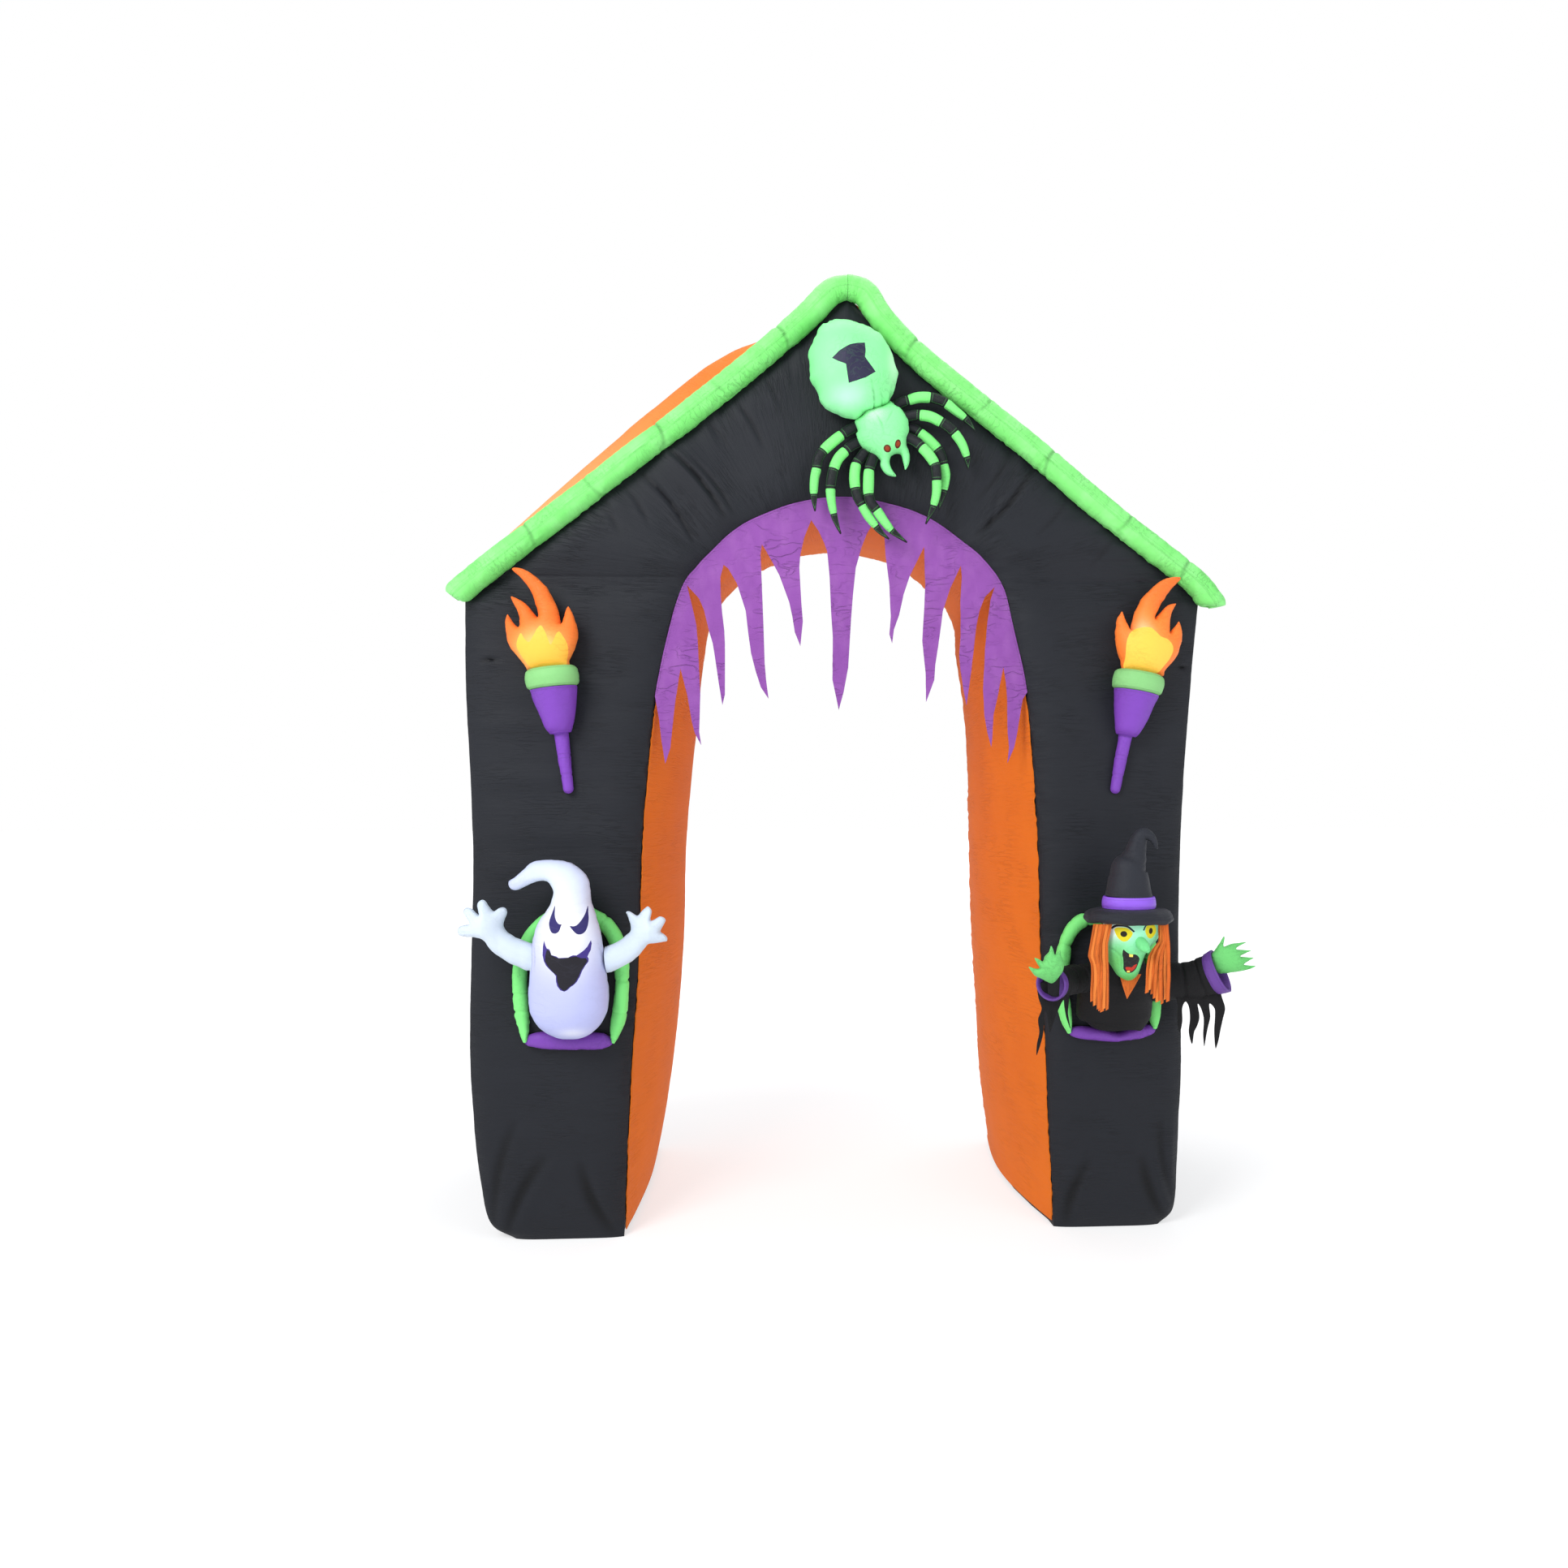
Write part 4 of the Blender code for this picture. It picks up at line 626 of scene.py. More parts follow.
def frontRelief(grid, away):
    # what stands off the front: the level seams with their puckers, creases and a slack unevenness
    x, z = grid[..., 0], grid[..., 2]
    relief = creaseHeight(x, z, bodySet["creases"])
    for left, right, height in bodySet["levelSeams"]:
        inside = np.clip((x - left) / 0.03, 0, 1) * np.clip((right - x) / 0.03, 0, 1)
        gap = np.abs(z - height)
        relief -= bodySet["seamDent"] * np.exp(-(gap / 0.0035) ** 2) * inside
        relief += puckers(x, gap, 71, 0.0020, 0.030, 0.017) * inside
    gable = np.clip((z - 1.90) / 0.15, 0, 1)
    relief += bodySet["undulation"] * softNoise(x / 0.16, z / 0.22, 21)
    relief += bodySet["legSlack"] * softNoise(x / 0.30, z / 0.050, 22) * (1 - gable)
    return relief * np.clip(away / 0.02, 0, 1)


def makeBody(stations):
    faceParts, wallParts, backParts = (spread(bodySet[name]) for name in ("front", "side", "back"))
    hiddenParts = spread(bodySet["hidden"], 0.8)
    rows, thick = stations["row"], archSet["depth"]
    inSeam, outSeam, inBack, outBack = (stations[name] for name in ("inSeam", "outSeam", "inBack", "outBack"))
    inRun, outRun = stations["inRun"][:, None], stations["outRun"][:, None]
    gable = np.clip((rows - archSet["leftEave"]) * 2, 0, 1) * np.clip((archSet["rightEave"] - rows) * 2, 0, 1)
    gable = gable[:, None]

    face = strip(inSeam, outSeam, faceParts)
    wide = np.linalg.norm(outSeam - inSeam, axis=1)[:, None]
    face[..., 1] -= np.minimum(stations["face"], archSet["crown"])[:, None] * flatPillow(faceParts)
    inAway, outAway = wide * faceParts, wide * (1 - faceParts)
    away = np.minimum(inAway, outAway)
    relief = frontRelief(face, away)
    for seam, *figures in bodySet["puckers"]:
        along, gap = (inRun, inAway) if seam == "inner" else (outRun, outAway)
        relief += puckers(along, gap, *figures) * (gable if seam == "gable" else 1)
    face[..., 1] -= relief * np.clip(stations["outZ"] / 0.05, 0, 1)[:, None]

    wall = strip(outSeam, outBack, wallParts)
    deep = wallParts[None] * thick
    edge = np.minimum(deep, thick - deep)
    lift = stations["crown"][:, None] * np.sin(math.pi * wallParts) + puckers(outRun, edge, 34, 0.0030, 0.055)
    lift += 0.004 * softNoise(outRun / 0.30, deep / 0.25, 35) * np.clip(edge / 0.08, 0, 1)
    lift -= 0.004 * gable * np.clip(edge / 0.02, 0, 1)
    wall += stations["outNormal"][:, None] * lift[..., None]

    backFace = strip(outBack, inBack, backParts)
    backWide = wide * backParts
    backAway = np.minimum(backWide, wide - backWide)
    bulge = archSet["crown"] * flatPillow(backParts) + puckers(outRun, backAway, 36, 0.003, 0.05)
    slack = softNoise(backFace[..., 0] / 0.2, backFace[..., 2] / 0.25, 37) * np.clip(backAway / 0.03, 0, 1)
    backFace[..., 1] += bulge + 0.003 * slack - 0.003 * flatPillow(backParts)

    inner = strip(inBack, inSeam, hiddenParts)
    nearEnd = np.minimum(hiddenParts, 1 - hiddenParts)
    sink = stations["soffit"][:, None] * np.sin(math.pi * hiddenParts) - 0.009 * np.clip(nearEnd * 14, 0, 1)
    inner -= stations["inNormal"][:, None] * sink[..., None]

    ring = np.concatenate([face[:, :-1], wall[:, :-1], backFace[:, :-1], inner[:, :-1]], axis=1)
    across, gaps = (np.concatenate([np.broadcast_to(part, (len(rows), part.shape[-1]))[:, :-1]
                                    for part in parts], axis=1)
                    for parts in ((inAway, wide + deep, wide + thick + backWide,
                        2 * wide + thick * (1 + hiddenParts[None])),
                                  (away, edge, backAway, thick * nearEnd[None])))
    uv = clothPlaces(across, (inRun + outRun) / 2)
    body = addMesh("blownBody", ring.reshape(-1, 3), tubeFaces(*ring.shape[:2]), uv, gaps.ravel())
    # painted shade in the crease troughs: the deeper the trough, the darker the cloth is painted
    sunkShade = np.zeros(ring.shape[:2])
    hollow = np.clip(-creaseHeight(face[..., 0], face[..., 2], bodySet["creases"]) / 0.007, 0, 1)
    sunkShade[:, :face.shape[1] - 1] = hollow[:, :-1]
    setValues(body, "sunkShade", sunkShade)
    turnFacesOut(body)
    smoothShade(body, 55)
    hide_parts("arch_body")
    return finishPiece(body, blackCloth)


# the orange panels

panelSet = {"columns": 30, "footLift": 0.0135, "start": 0.01, "ridgeGap": 0.0006}


def makePanel(name, node, low, high, edges, normals, pillow, runs, seed, puckerHeight, ridgeRow=None):
    # a closed sheet over one wall of the body, drawn into puckers along its two sewn edges
    parts = panelSet["start"] + (1 - 2 * panelSet["start"]) * spread(panelSet["columns"], 0.7)
    grid = strip(edges[0][low:high], edges[1][low:high], parts)
    outward, along = normals[low:high][:, None], runs[low:high][:, None]
    depth = parts[None] * archSet["depth"]
    edge = np.minimum(depth, archSet["depth"] - depth)
    lift = pillow[low:high][:, None] * np.sin(math.pi * parts)
    lift = lift + archSet["gap"] * 2 + archSet["panelThick"]
    lift = lift + puckers(along, edge, seed, puckerHeight, 0.05, 0.014)
    lift += puckers(along, edge, seed + 5, puckerHeight * 0.8, 0.13, 0.03)
    lift += 0.0025 * softNoise(along / 0.25, depth / 0.3, seed + 9) * np.clip(edge / 0.1, 0, 1)
    over = grid + outward * lift[..., None]
    if ridgeRow is not None:
        over[ridgeRow, :, 0] += -panelSet["ridgeGap"] if ridgeRow else panelSet["ridgeGap"]
    under = over - outward * archSet["panelThick"]
    rows, columns = over.shape[:2]
    top = rows * columns
    faces = gridFaces(rows, columns) + gridFaces(rows, columns, start=top, flip=True)
    rim = [row * columns for row in range(rows)] + [(rows - 1) * columns + c for c in range(1, columns)]
    rim += [row * columns + columns - 1 for row in range(rows - 2, -1, -1)] + list(range(columns - 2, 0, -1))
    faces += [(a, b, b + top, a + top) for a, b in zip(rim, rim[1:] + rim[:1])]
    points = np.concatenate([over, under]).reshape(-1, 3)
    uv, gaps = clothPlaces(depth, along), np.broadcast_to(edge, (rows, columns)).ravel()
    panel = addMesh(name, points, faces, np.concatenate([uv, uv]), np.concatenate([gaps, gaps]))
    turnFacesOut(panel)
    smoothShade(panel, 50)
    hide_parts(node)
    finishPiece(panel, roofCloth if name == "leftRoof" else orangeCloth)


def makePanels(stations):
    inside = np.nonzero(stations["inZ"] > panelSet["footLift"])[0]
    makePanel("openingLining", "opening_panel", inside[0], inside[-1] + 1,
        (stations["inBack"], stations["inSeam"]),
              -stations["inNormal"], stations["soffit"], stations["inRun"], 41, 0.0026)
    eave, apex, rightEave = (np.argmin(np.abs(stations["row"] - archSet[name]))
                             for name in ("leftEave", "apex", "rightEave"))
    for side, low, high, seed, ridgeRow in (("left", eave, apex + 1, 51, -1),
            ("right", apex, rightEave + 1, 61, 0)):
        makePanel(side + "Roof", "roof_panel_" + side, low, high, (stations["outSeam"], stations["outBack"]),
                  stations["outNormal"], stations["crown"], stations["outRun"], seed, 0.0028, ridgeRow)


# the stuffed roof trims

trimSet = {
    "radius": 0.0368, "out": 0.0250, "forward": 0.0240, "sides": 48, "spacing": 0.0033,
    "overhang": {"left": 0.040, "right": 0.105},
    "ends": {"left": ((-1.086, 1.800), (-0.62, -0.78)), "right": ((1.070, 1.799), (0.19, -0.98))},
    # the joins between lengths of tube: how far down the slope, how they slant and how deep they are
    "pinches": {"left": (0.25, 0.47, 0.70, 0.93, 1.16), "right": (0.27, 0.52, 0.78, 1.05, 1.28)},
    "slants": (0.010, -0.014, 0.016, -0.008, 0.012), "dents": (0.085, 0.050, 0.110, 0.060, 0.090),
    "peak": {"rise": 0.014, "reach": 0.085, "drop": 0.052},
}


def trimLine(side, outward):
    # the middle of the tube, from the ridge down the slope to past the eave
    corners = (archSet["leftEave"], archSet["apex"], archSet["rightEave"])
    first, last = corners[:2] if side == "left" else corners[1:]
    columns = dict(zip(archSet["columns"], np.array(archSet["sections"]).T))
    rows = np.linspace(first, last, (last - first) * 2 + 1)
    line = np.stack([throughRows(columns[name], rows, corners) for name in ("outX", "outZ")],
        axis=1)[::outward]
    line = np.append(line, line[-1:] + unit(line[-1:] - line[-2:-1]) * trimSet["overhang"][side], axis=0)
    x, z = line.T
    runX, runZ = np.gradient(x), np.gradient(z)
    length = np.hypot(runX, runZ)
    lineX, lineZ = x - outward * runZ / length * trimSet["out"], z + outward * runX / length * trimSet["out"]
    far = np.concatenate([[0], np.cumsum(np.hypot(np.diff(x), np.diff(z)))])
    peak = trimSet["peak"]
    share = np.array([-0.24, 0.0, 0.33, 0.66])
    startX = x[0] + outward * peak["reach"] * share
    startZ = z[0] + peak["rise"] - peak["drop"] * np.maximum(share, 0) ** 2
    keep = far >= peak["reach"]
    lineX, lineZ = np.concatenate([startX, lineX[keep]]), np.concatenate([startZ, lineZ[keep]])
    line = np.stack([lineX, np.full(len(lineX), frontSeam - trimSet["forward"]), lineZ], axis=1)
    return smoothPath(line, trimSet["spacing"]), x[0]


def makeTrim(side):
    outward, seed = (1, 91) if side == "right" else (-1, 81)
    (line, run), ridgeX = trimLine(side, outward)
    tangent = unit(np.gradient(line, axis=0))
    upward = np.stack([-tangent[:, 2] * outward, np.zeros(len(run)), tangent[:, 0] * outward], axis=1)
    upward = upward[:, None]
    angles = np.linspace(0, 2 * math.pi, trimSet["sides"], endpoint=False)
    run, bend = run[:, None], np.cos(angles - 0.15 * math.pi)[None]
    pinch, groove, crumple = np.zeros((3, len(run), len(angles)))
    for place, slant, depth in zip(trimSet["pinches"][side], trimSet["slants"], trimSet["dents"]):
        # each join between two lengths of tube is a slanting dent with crumples on both sides of it
        gap = run - (place + trimSet["peak"]["reach"] * 0.2) + slant * bend
        pinch += 0.035 * np.exp(-(gap / 0.050) ** 2)
        groove += depth * np.exp(-(gap / 0.0055) ** 2) * (0.45 + 0.55 * bend)
        crumple += np.exp(-(gap / 0.028) ** 2)
    lumps = 0.030 * softNoise(run / 0.13, angles[None] / 1.2, seed)
    # sewn lines run along the tube's back and its underside, where it puckers
    sewn = [np.abs(np.angle(np.exp(1j * (angles - turn)))) for turn in (1.5 * math.pi, 0.0)]
    sewn = np.minimum(*sewn) * trimSet["radius"]
    frills = puckers(run, sewn[None], seed + 2, 0.0034, 0.026, 0.013)
    frills += 0.0022 * crumple * softNoise(angles[None] / 0.24, run / 0.02, seed + 4)
    frills += 0.0009 * softNoise(run / 0.012, angles[None] / 0.8, seed + 6)
    slim = 0.06 * np.exp(-(run / 0.045) ** 2)
    radius = trimSet["radius"] * (1 - pinch - groove + lumps - slim) + frills
    (endX, endZ), (downX, downZ) = trimSet["ends"][side]
    line, forward = line[:, None], np.array([0, -1.0, 0])
    beyond = (line[..., 0] + radius * upward[..., 0] * np.sin(angles) - endX) * downX
    beyond = beyond + (line[..., 2] + radius * upward[..., 2] * np.sin(angles) - endZ) * downZ
    rounded = np.clip(1 + beyond / 0.026, 0, 1)
    radius = radius * (0.42 + 0.58 * np.sqrt(1 - rounded ** 2))
    points = line + radius[..., None] * (upward * np.sin(angles)[:, None] + forward * np.cos(angles)[:, None])
    gaps = np.broadcast_to(sewn, radius.shape).ravel()
    piece = addMesh(side + "Trim", points.reshape(-1, 3), tubeFaces(*radius.shape),
                    clothPlaces(angles[None] * trimSet["radius"], run), gaps)
    turnFacesOut(piece)
    # painted shade in the grooves of the joins between lengths of tube
    setValues(piece, "sunkShade", np.clip(groove * 7, 0, 0.60))
    keepClear(piece, ["blownBody", side + "Roof"])
    ridgeCut = (ridgeX + outward * 0.0004, 0), (-outward, 0, 0)
    cutOff(piece, ridgeCut, ((endX, endZ), (downX, 0, downZ)))
    smoothShade(piece, 60)
    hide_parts("roof_trim_" + side)
    return finishPiece(piece, trimCloth)


# the icicle fringe

fringeSet = {
    "ends": {"left": 1.536, "right": 1.552}, "thick": 0.0016, "cell": 0.0075, "slack": 0.0055,
    # the lower edge from the left end to the right
    "edge": measured(2,
        -530, 1473, -522, 1404, -512, 1344, -498, 1388, -490, 1466, -485, 1513, -469, 1615, -450, 1541,
        -437, 1464, -428, 1430, -410, 1396, -416, 1434, -413, 1541, -417, 1624, -420, 1687, -424, 1738,
        -432, 1775, -451, 1853, -417, 1816, -403, 1784, -388, 1722, -377, 1686, -369, 1631, -360, 1571,
        -350, 1511, -343, 1541, -343, 1683, -345, 1724, -351, 1775, -355, 1822, -356, 1877, -347, 1912,
        -334, 1902, -309, 1859, -284, 1781, -277, 1720, -269, 1661, -256, 1610, -241, 1563, -219, 1530,
        -226, 1584, -230, 1632, -233, 1725, -240, 1905, -242, 1944, -238, 1972, -226, 1953, -209, 1923,
        -188, 1884, -160, 1807, -151, 1766, -144, 1721, -128, 1681, -124, 1722, -121, 1752, -125, 1803,
        -131, 1906, -128, 1945, -117, 1993, -97, 2043, -76, 2012, -59, 1976, -51, 1953, -44, 1879,
        -40, 1781, -35, 1708, -36, 1585, -26, 1538, -18, 1499, -4, 1550, 9, 1620, 17, 1753, 23, 1830,
        31, 1907, 48, 1968, 63, 2006, 87, 2048, 114, 1997, 117, 1946, 128, 1857, 132, 1768, 128, 1717,
        136, 1691, 141, 1731, 156, 1773, 169, 1832, 187, 1886, 228, 1970, 230, 1910, 232, 1863, 228, 1781,
        223, 1699, 233, 1605, 234, 1522, 245, 1552, 258, 1586, 261, 1631, 269, 1682, 278, 1746, 283, 1786,
        304, 1851, 335, 1917, 338, 1885, 334, 1817, 334, 1711, 330, 1657, 334, 1612, 341, 1566, 351, 1513,
        356, 1549, 365, 1613, 380, 1744, 389, 1787, 404, 1826, 434, 1857, 421, 1818, 413, 1756, 406, 1679,
        400, 1562, 404, 1484, 413, 1432, 424, 1393, 427, 1427, 430, 1484, 450, 1580, 459, 1625, 467, 1579,
        470, 1510, 472, 1437, 476, 1393, 471, 1347, 491, 1393, 500, 1437, 515, 1532),
}


def densify(outline, cell):
    # a closed outline with extra points on its straight sides
    made = []
    for start, end in zip(np.array(outline), np.roll(outline, -1, axis=0)):
        count = max(int(math.hypot(*(end - start)) / cell), 1)
        made += [start + (end - start) * step / count for step in range(count)]
    return np.array(made)


def insidePolygon(x, z, outline):
    inside = np.zeros(x.shape, dtype=bool)
    for (x1, z1), (x2, z2) in zip(outline, np.roll(outline, -1, axis=0)):
        if z1 != z2:
            inside ^= ((z1 > z) != (z2 > z)) & (x < (x2 - x1) * (z - z1) / (z2 - z1) + x1)
    return inside


def evenGrid(edge, cell):
    low, high = edge.min(axis=0), edge.max(axis=0)
    countX, countZ = np.ceil((high - low) / cell).astype(int) + 1
    return np.meshgrid(np.linspace(low[0], high[0], countX), np.linspace(low[1], high[1], countZ))


def cutSheet(outline, cell, seed):
    # fills an outline with evenly sized triangles: points as x, z, and the faces
    edge = densify(outline, cell)
    gridX, gridZ = evenGrid(edge, cell)
    random = np.random.default_rng(seed)
    gridX, gridZ = ((part + random.uniform(-0.25, 0.25, part.shape) * cell).ravel()
                    for part in (gridX, gridZ))
    inside = insidePolygon(gridX, gridZ, edge)
    grid = np.stack([gridX[inside], gridZ[inside]], axis=1)
    grid = grid[nearest(grid, edge) > cell * 0.55]
    lines = [(index, (index + 1) % len(edge)) for index in range(len(edge))]
    found, _, faces, *_ = geometry.delaunay_2d_cdt([Vector(point) for point in (*edge, *grid)], lines, [],
        1, 1e-7)
    return np.array([tuple(point) for point in found]), [tuple(face) for face in faces]


def nearest(points, others):
    apart = points[:, None] - np.asarray(others)[None]
    return np.min(np.hypot(apart[..., 0], apart[..., 1]), axis=1)


def doubleAreas(flat, faces):
    # twice the area of each triangle, below zero where it runs clockwise
    a, b, c = (flat[[face[corner] for face in faces]] for corner in range(3))
    return (b[:, 0] - a[:, 0]) * (c[:, 1] - a[:, 1]) - (c[:, 0] - a[:, 0]) * (b[:, 1] - a[:, 1])


def makeFringe(stations):
    ends, gap = fringeSet["ends"], archSet["gap"]

    def seamEnd(side):
        half = stations["inX"] < 0 if side == "left" else stations["inX"] > 0
        order = np.argsort(stations["inZ"][half])
        return float(np.interp(ends[side], stations["inZ"][half][order], stations["inX"][half][order]))

    inset = stations["inSeam"] - stations["inNormal"] * gap
    keep = np.nonzero(inset[:, 2] > np.where(inset[:, 0] < 0, ends["left"], ends["right"]) + 0.01)[0]
    top = inset[keep[::2]][:, [0, 2]]
    outline = [(seamEnd("right") - gap, ends["right"]), *top[::-1], (seamEnd("left") + gap, ends["left"]),
               *fringeSet["edge"]]
    flat, faces = cutSheet(outline, fringeSet["cell"], 101)
    x, z = flat[:, 0], flat[:, 1]
    away = nearest(flat, top)
    turn = np.arctan2(x, z - 1.45) * 0.55
    folds = softNoise(turn / 0.055, away / 0.25, 102) + 0.5 * softNoise(x / 0.05, z / 0.09, 103)
    curl = softNoise(x / 0.09, 0.5, 104) * np.clip((away - 0.18) / 0.3, 0, 1) * 0.010
    slack = fringeSet["slack"] * folds * np.clip(away / 0.09, 0, 1) + curl
    creases = 0.0030 * np.abs(softNoise(x / 0.045 + z / 0.06, z / 0.03, 105)) * np.clip(away / 0.05, 0, 1)
    sharp = (1 - np.abs(softNoise(turn / 0.030, away / 0.12, 107))) ** 4
    creases += 0.0026 * sharp * np.clip(away / 0.02, 0, 1)
    y = frontSeam - gap - fringeSet["thick"] / 2 - np.abs(slack) * 0.6 + slack * 0.4 - creases
    fringe = addMesh("icicles", np.stack([x, y, z], axis=1), faces, flat, away)
    thicken(fringe, fringeSet["thick"])
    turnFacesOut(fringe)
    smoothShade(fringe, 60)
    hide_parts("icicle_fringe")
    finishPiece(fringe, violetCloth)


stations = cutStations()
makeBody(stations)
print("body made")
makePanels(stations)
print("panels made")
for side in ("left", "right"):
    makeTrim(side)
print("trims made")
makeFringe(stations)
print("fringe made")


# shapes puffed up between two flat panels, tubes, and hanging cloth

def smoothLoop(outline, cell):
    # a closed soft line through the points, evenly spaced
    points = np.array(outline, float)
    after, before = np.roll(points, -1, axis=0), np.roll(points, 1, axis=0)
    toAfter, toBefore = (np.linalg.norm(other - points, axis=1) for other in (after, before))
    slope = (after - before) / (toAfter + toBefore)[:, None]
    made = []
    for index in range(len(points)):
        there = (index + 1) % len(points)
        count = max(int(math.ceil(toAfter[index] / cell)), 1)
        t = (np.arange(count) / count)[:, None]
        leave, arrive = slope[index] * toAfter[index] * 0.9, slope[there] * toAfter[index] * 0.9
        made.append((2 * t ** 3 - 3 * t ** 2 + 1) * points[index] + (t ** 3 - 2 * t ** 2 + t) * leave
                    + (3 * t ** 2 - 2 * t ** 3) * points[there] + (t ** 3 - t ** 2) * arrive)
    return np.concatenate(made)


def besideBorder(points, border):
    # how far each point is from a closed line, and how far along the line its nearest place is
    run = np.roll(border, -1, axis=0) - border
    length = np.maximum(np.linalg.norm(run, axis=1), 1e-9)
    passed = np.concatenate([[0], np.cumsum(length)[:-1]])
    offset = points[:, None] - border[None]
    part = np.clip(np.sum(offset * run[None], axis=2) / length ** 2, 0, 1)
    gap = np.linalg.norm(offset - part[..., None] * run[None], axis=2)
    best = np.argmin(gap, axis=1)
    chosen = np.arange(len(points)), best
    return gap[chosen], passed[best] + part[chosen] * length[best]


def softenWave(border, seed, height):
    # the sewn edge wanders a little where the cloth gathers
    run = unit(np.roll(border, -1, axis=0) - np.roll(border, 1, axis=0))
    passed = np.cumsum(np.linalg.norm(np.roll(border, -1, axis=0) - border, axis=1))
    wave = softNoise(passed / 0.013, 0.5, seed) + 0.6 * softNoise(passed / 0.03, 0.5, seed + 1)
    return border + np.stack([run[:, 1], -run[:, 0]], axis=1) * (wave * height)[:, None]


def fillOutline(edge, cell, seed, prints):
    # triangles inside a border, with closer rings beside it and edges along every printed outline
    after = np.roll(edge, -1, axis=0)
    run = unit(after - np.roll(edge, 1, axis=0))
    area = np.sum(edge[:, 0] * after[:, 1] - edge[:, 1] * after[:, 0])
    inward = np.stack([-run[:, 1], run[:, 0]], axis=1) * (1 if area > 0 else -1)
    rings = []
    for reach in (0.0007, 0.0026):
        ring = edge + inward * reach
        keep = (besideBorder(ring, edge)[0] > reach * 0.9) & insidePolygon(ring[:, 0], ring[:, 1], edge)
        rings.append(ring[keep])
    gridX, gridZ = evenGrid(edge, cell)
    gridX[1::2] += cell / 2
    random = np.random.default_rng(seed)
    grid = np.stack([gridX.ravel(), gridZ.ravel()], axis=1)
    grid = grid + random.uniform(-0.12, 0.12, (gridX.size, 2)) * cell
    grid = grid[insidePolygon(grid[:, 0], grid[:, 1], edge)]
    grid = grid[besideBorder(grid, edge)[0] > 0.0026 + cell * 0.45]
    points, lines = [], []
    for loop in (edge, *prints):
        if loop is not edge:
            grid = grid[besideBorder(grid, loop)[0] > cell * 0.4]
        lines += [(len(points) + index, len(points) + (index + 1) % len(loop)) for index in range(len(loop))]
        points += list(loop)
    points = [Vector(point) for point in (*points, *rings[0], *rings[1], *grid)]
    found, _, faces, *_ = geometry.delaunay_2d_cdt(points, lines, [], 1, 1e-6)
    found = np.array([tuple(point) for point in found])
    faces = np.array([tuple(face) for face in faces if len(face) == 3])
    turned = doubleAreas(found, faces) < 0
    faces[turned] = faces[turned][:, ::-1]
    return found, faces


def blownHeight(points, faces, atBorder):
    # how high a film blown up over the outline stands: it solves one even pull everywhere
    count, free = len(points), ~atBorder
    share, pairs, values = np.zeros(count), [], []
    for corner in range(3):
        here, left, right = (faces[:, (corner + step) % 3] for step in range(3))
        toLeft, toRight = points[left] - points[here], points[right] - points[here]
        area = np.abs(toLeft[:, 0] * toRight[:, 1] - toLeft[:, 1] * toRight[:, 0])
        pairs.append(np.stack([left, right]))
        values.append(np.clip(np.sum(toLeft * toRight, axis=1) / np.maximum(area, 1e-12), 0.02, 30) / 2)
        share += np.bincount(here, weights=area / 6, minlength=count)
    (left, right), values = np.concatenate(pairs, axis=1), np.concatenate(values)
    weights = np.bincount(left, values, count) + np.bincount(right, values, count)

    def pull(film):
        film = film * free
        return free * (weights * film - np.bincount(left, values * film[right], count)
                       - np.bincount(right, values * film[left], count))

    film, rest, ease = np.zeros(count), share * free, free / np.maximum(weights, 1e-12)
    step = rest * ease
    measure = rest @ step
    for _ in range(600):
        pulled = pull(step)
        part = measure / max(step @ pulled, 1e-30)
        film += part * step
        rest = rest - part * pulled
        eased = rest * ease
        newMeasure = rest @ eased
        if newMeasure < 1e-16:
            break
        step = eased + newMeasure / measure * step
        measure = newMeasure
    return np.sqrt(2 * np.maximum(film, 0))


def vertexNormals(points, faces):
    a, b, c = points[faces[:, 0]], points[faces[:, 1]], points[faces[:, 2]]
    turn = np.cross(b - a, c - a)
    return unit(np.stack([sum(np.bincount(faces[:, corner], turn[:, axis], len(points))
                              for corner in range(3))
                          for axis in range(3)], axis=1))


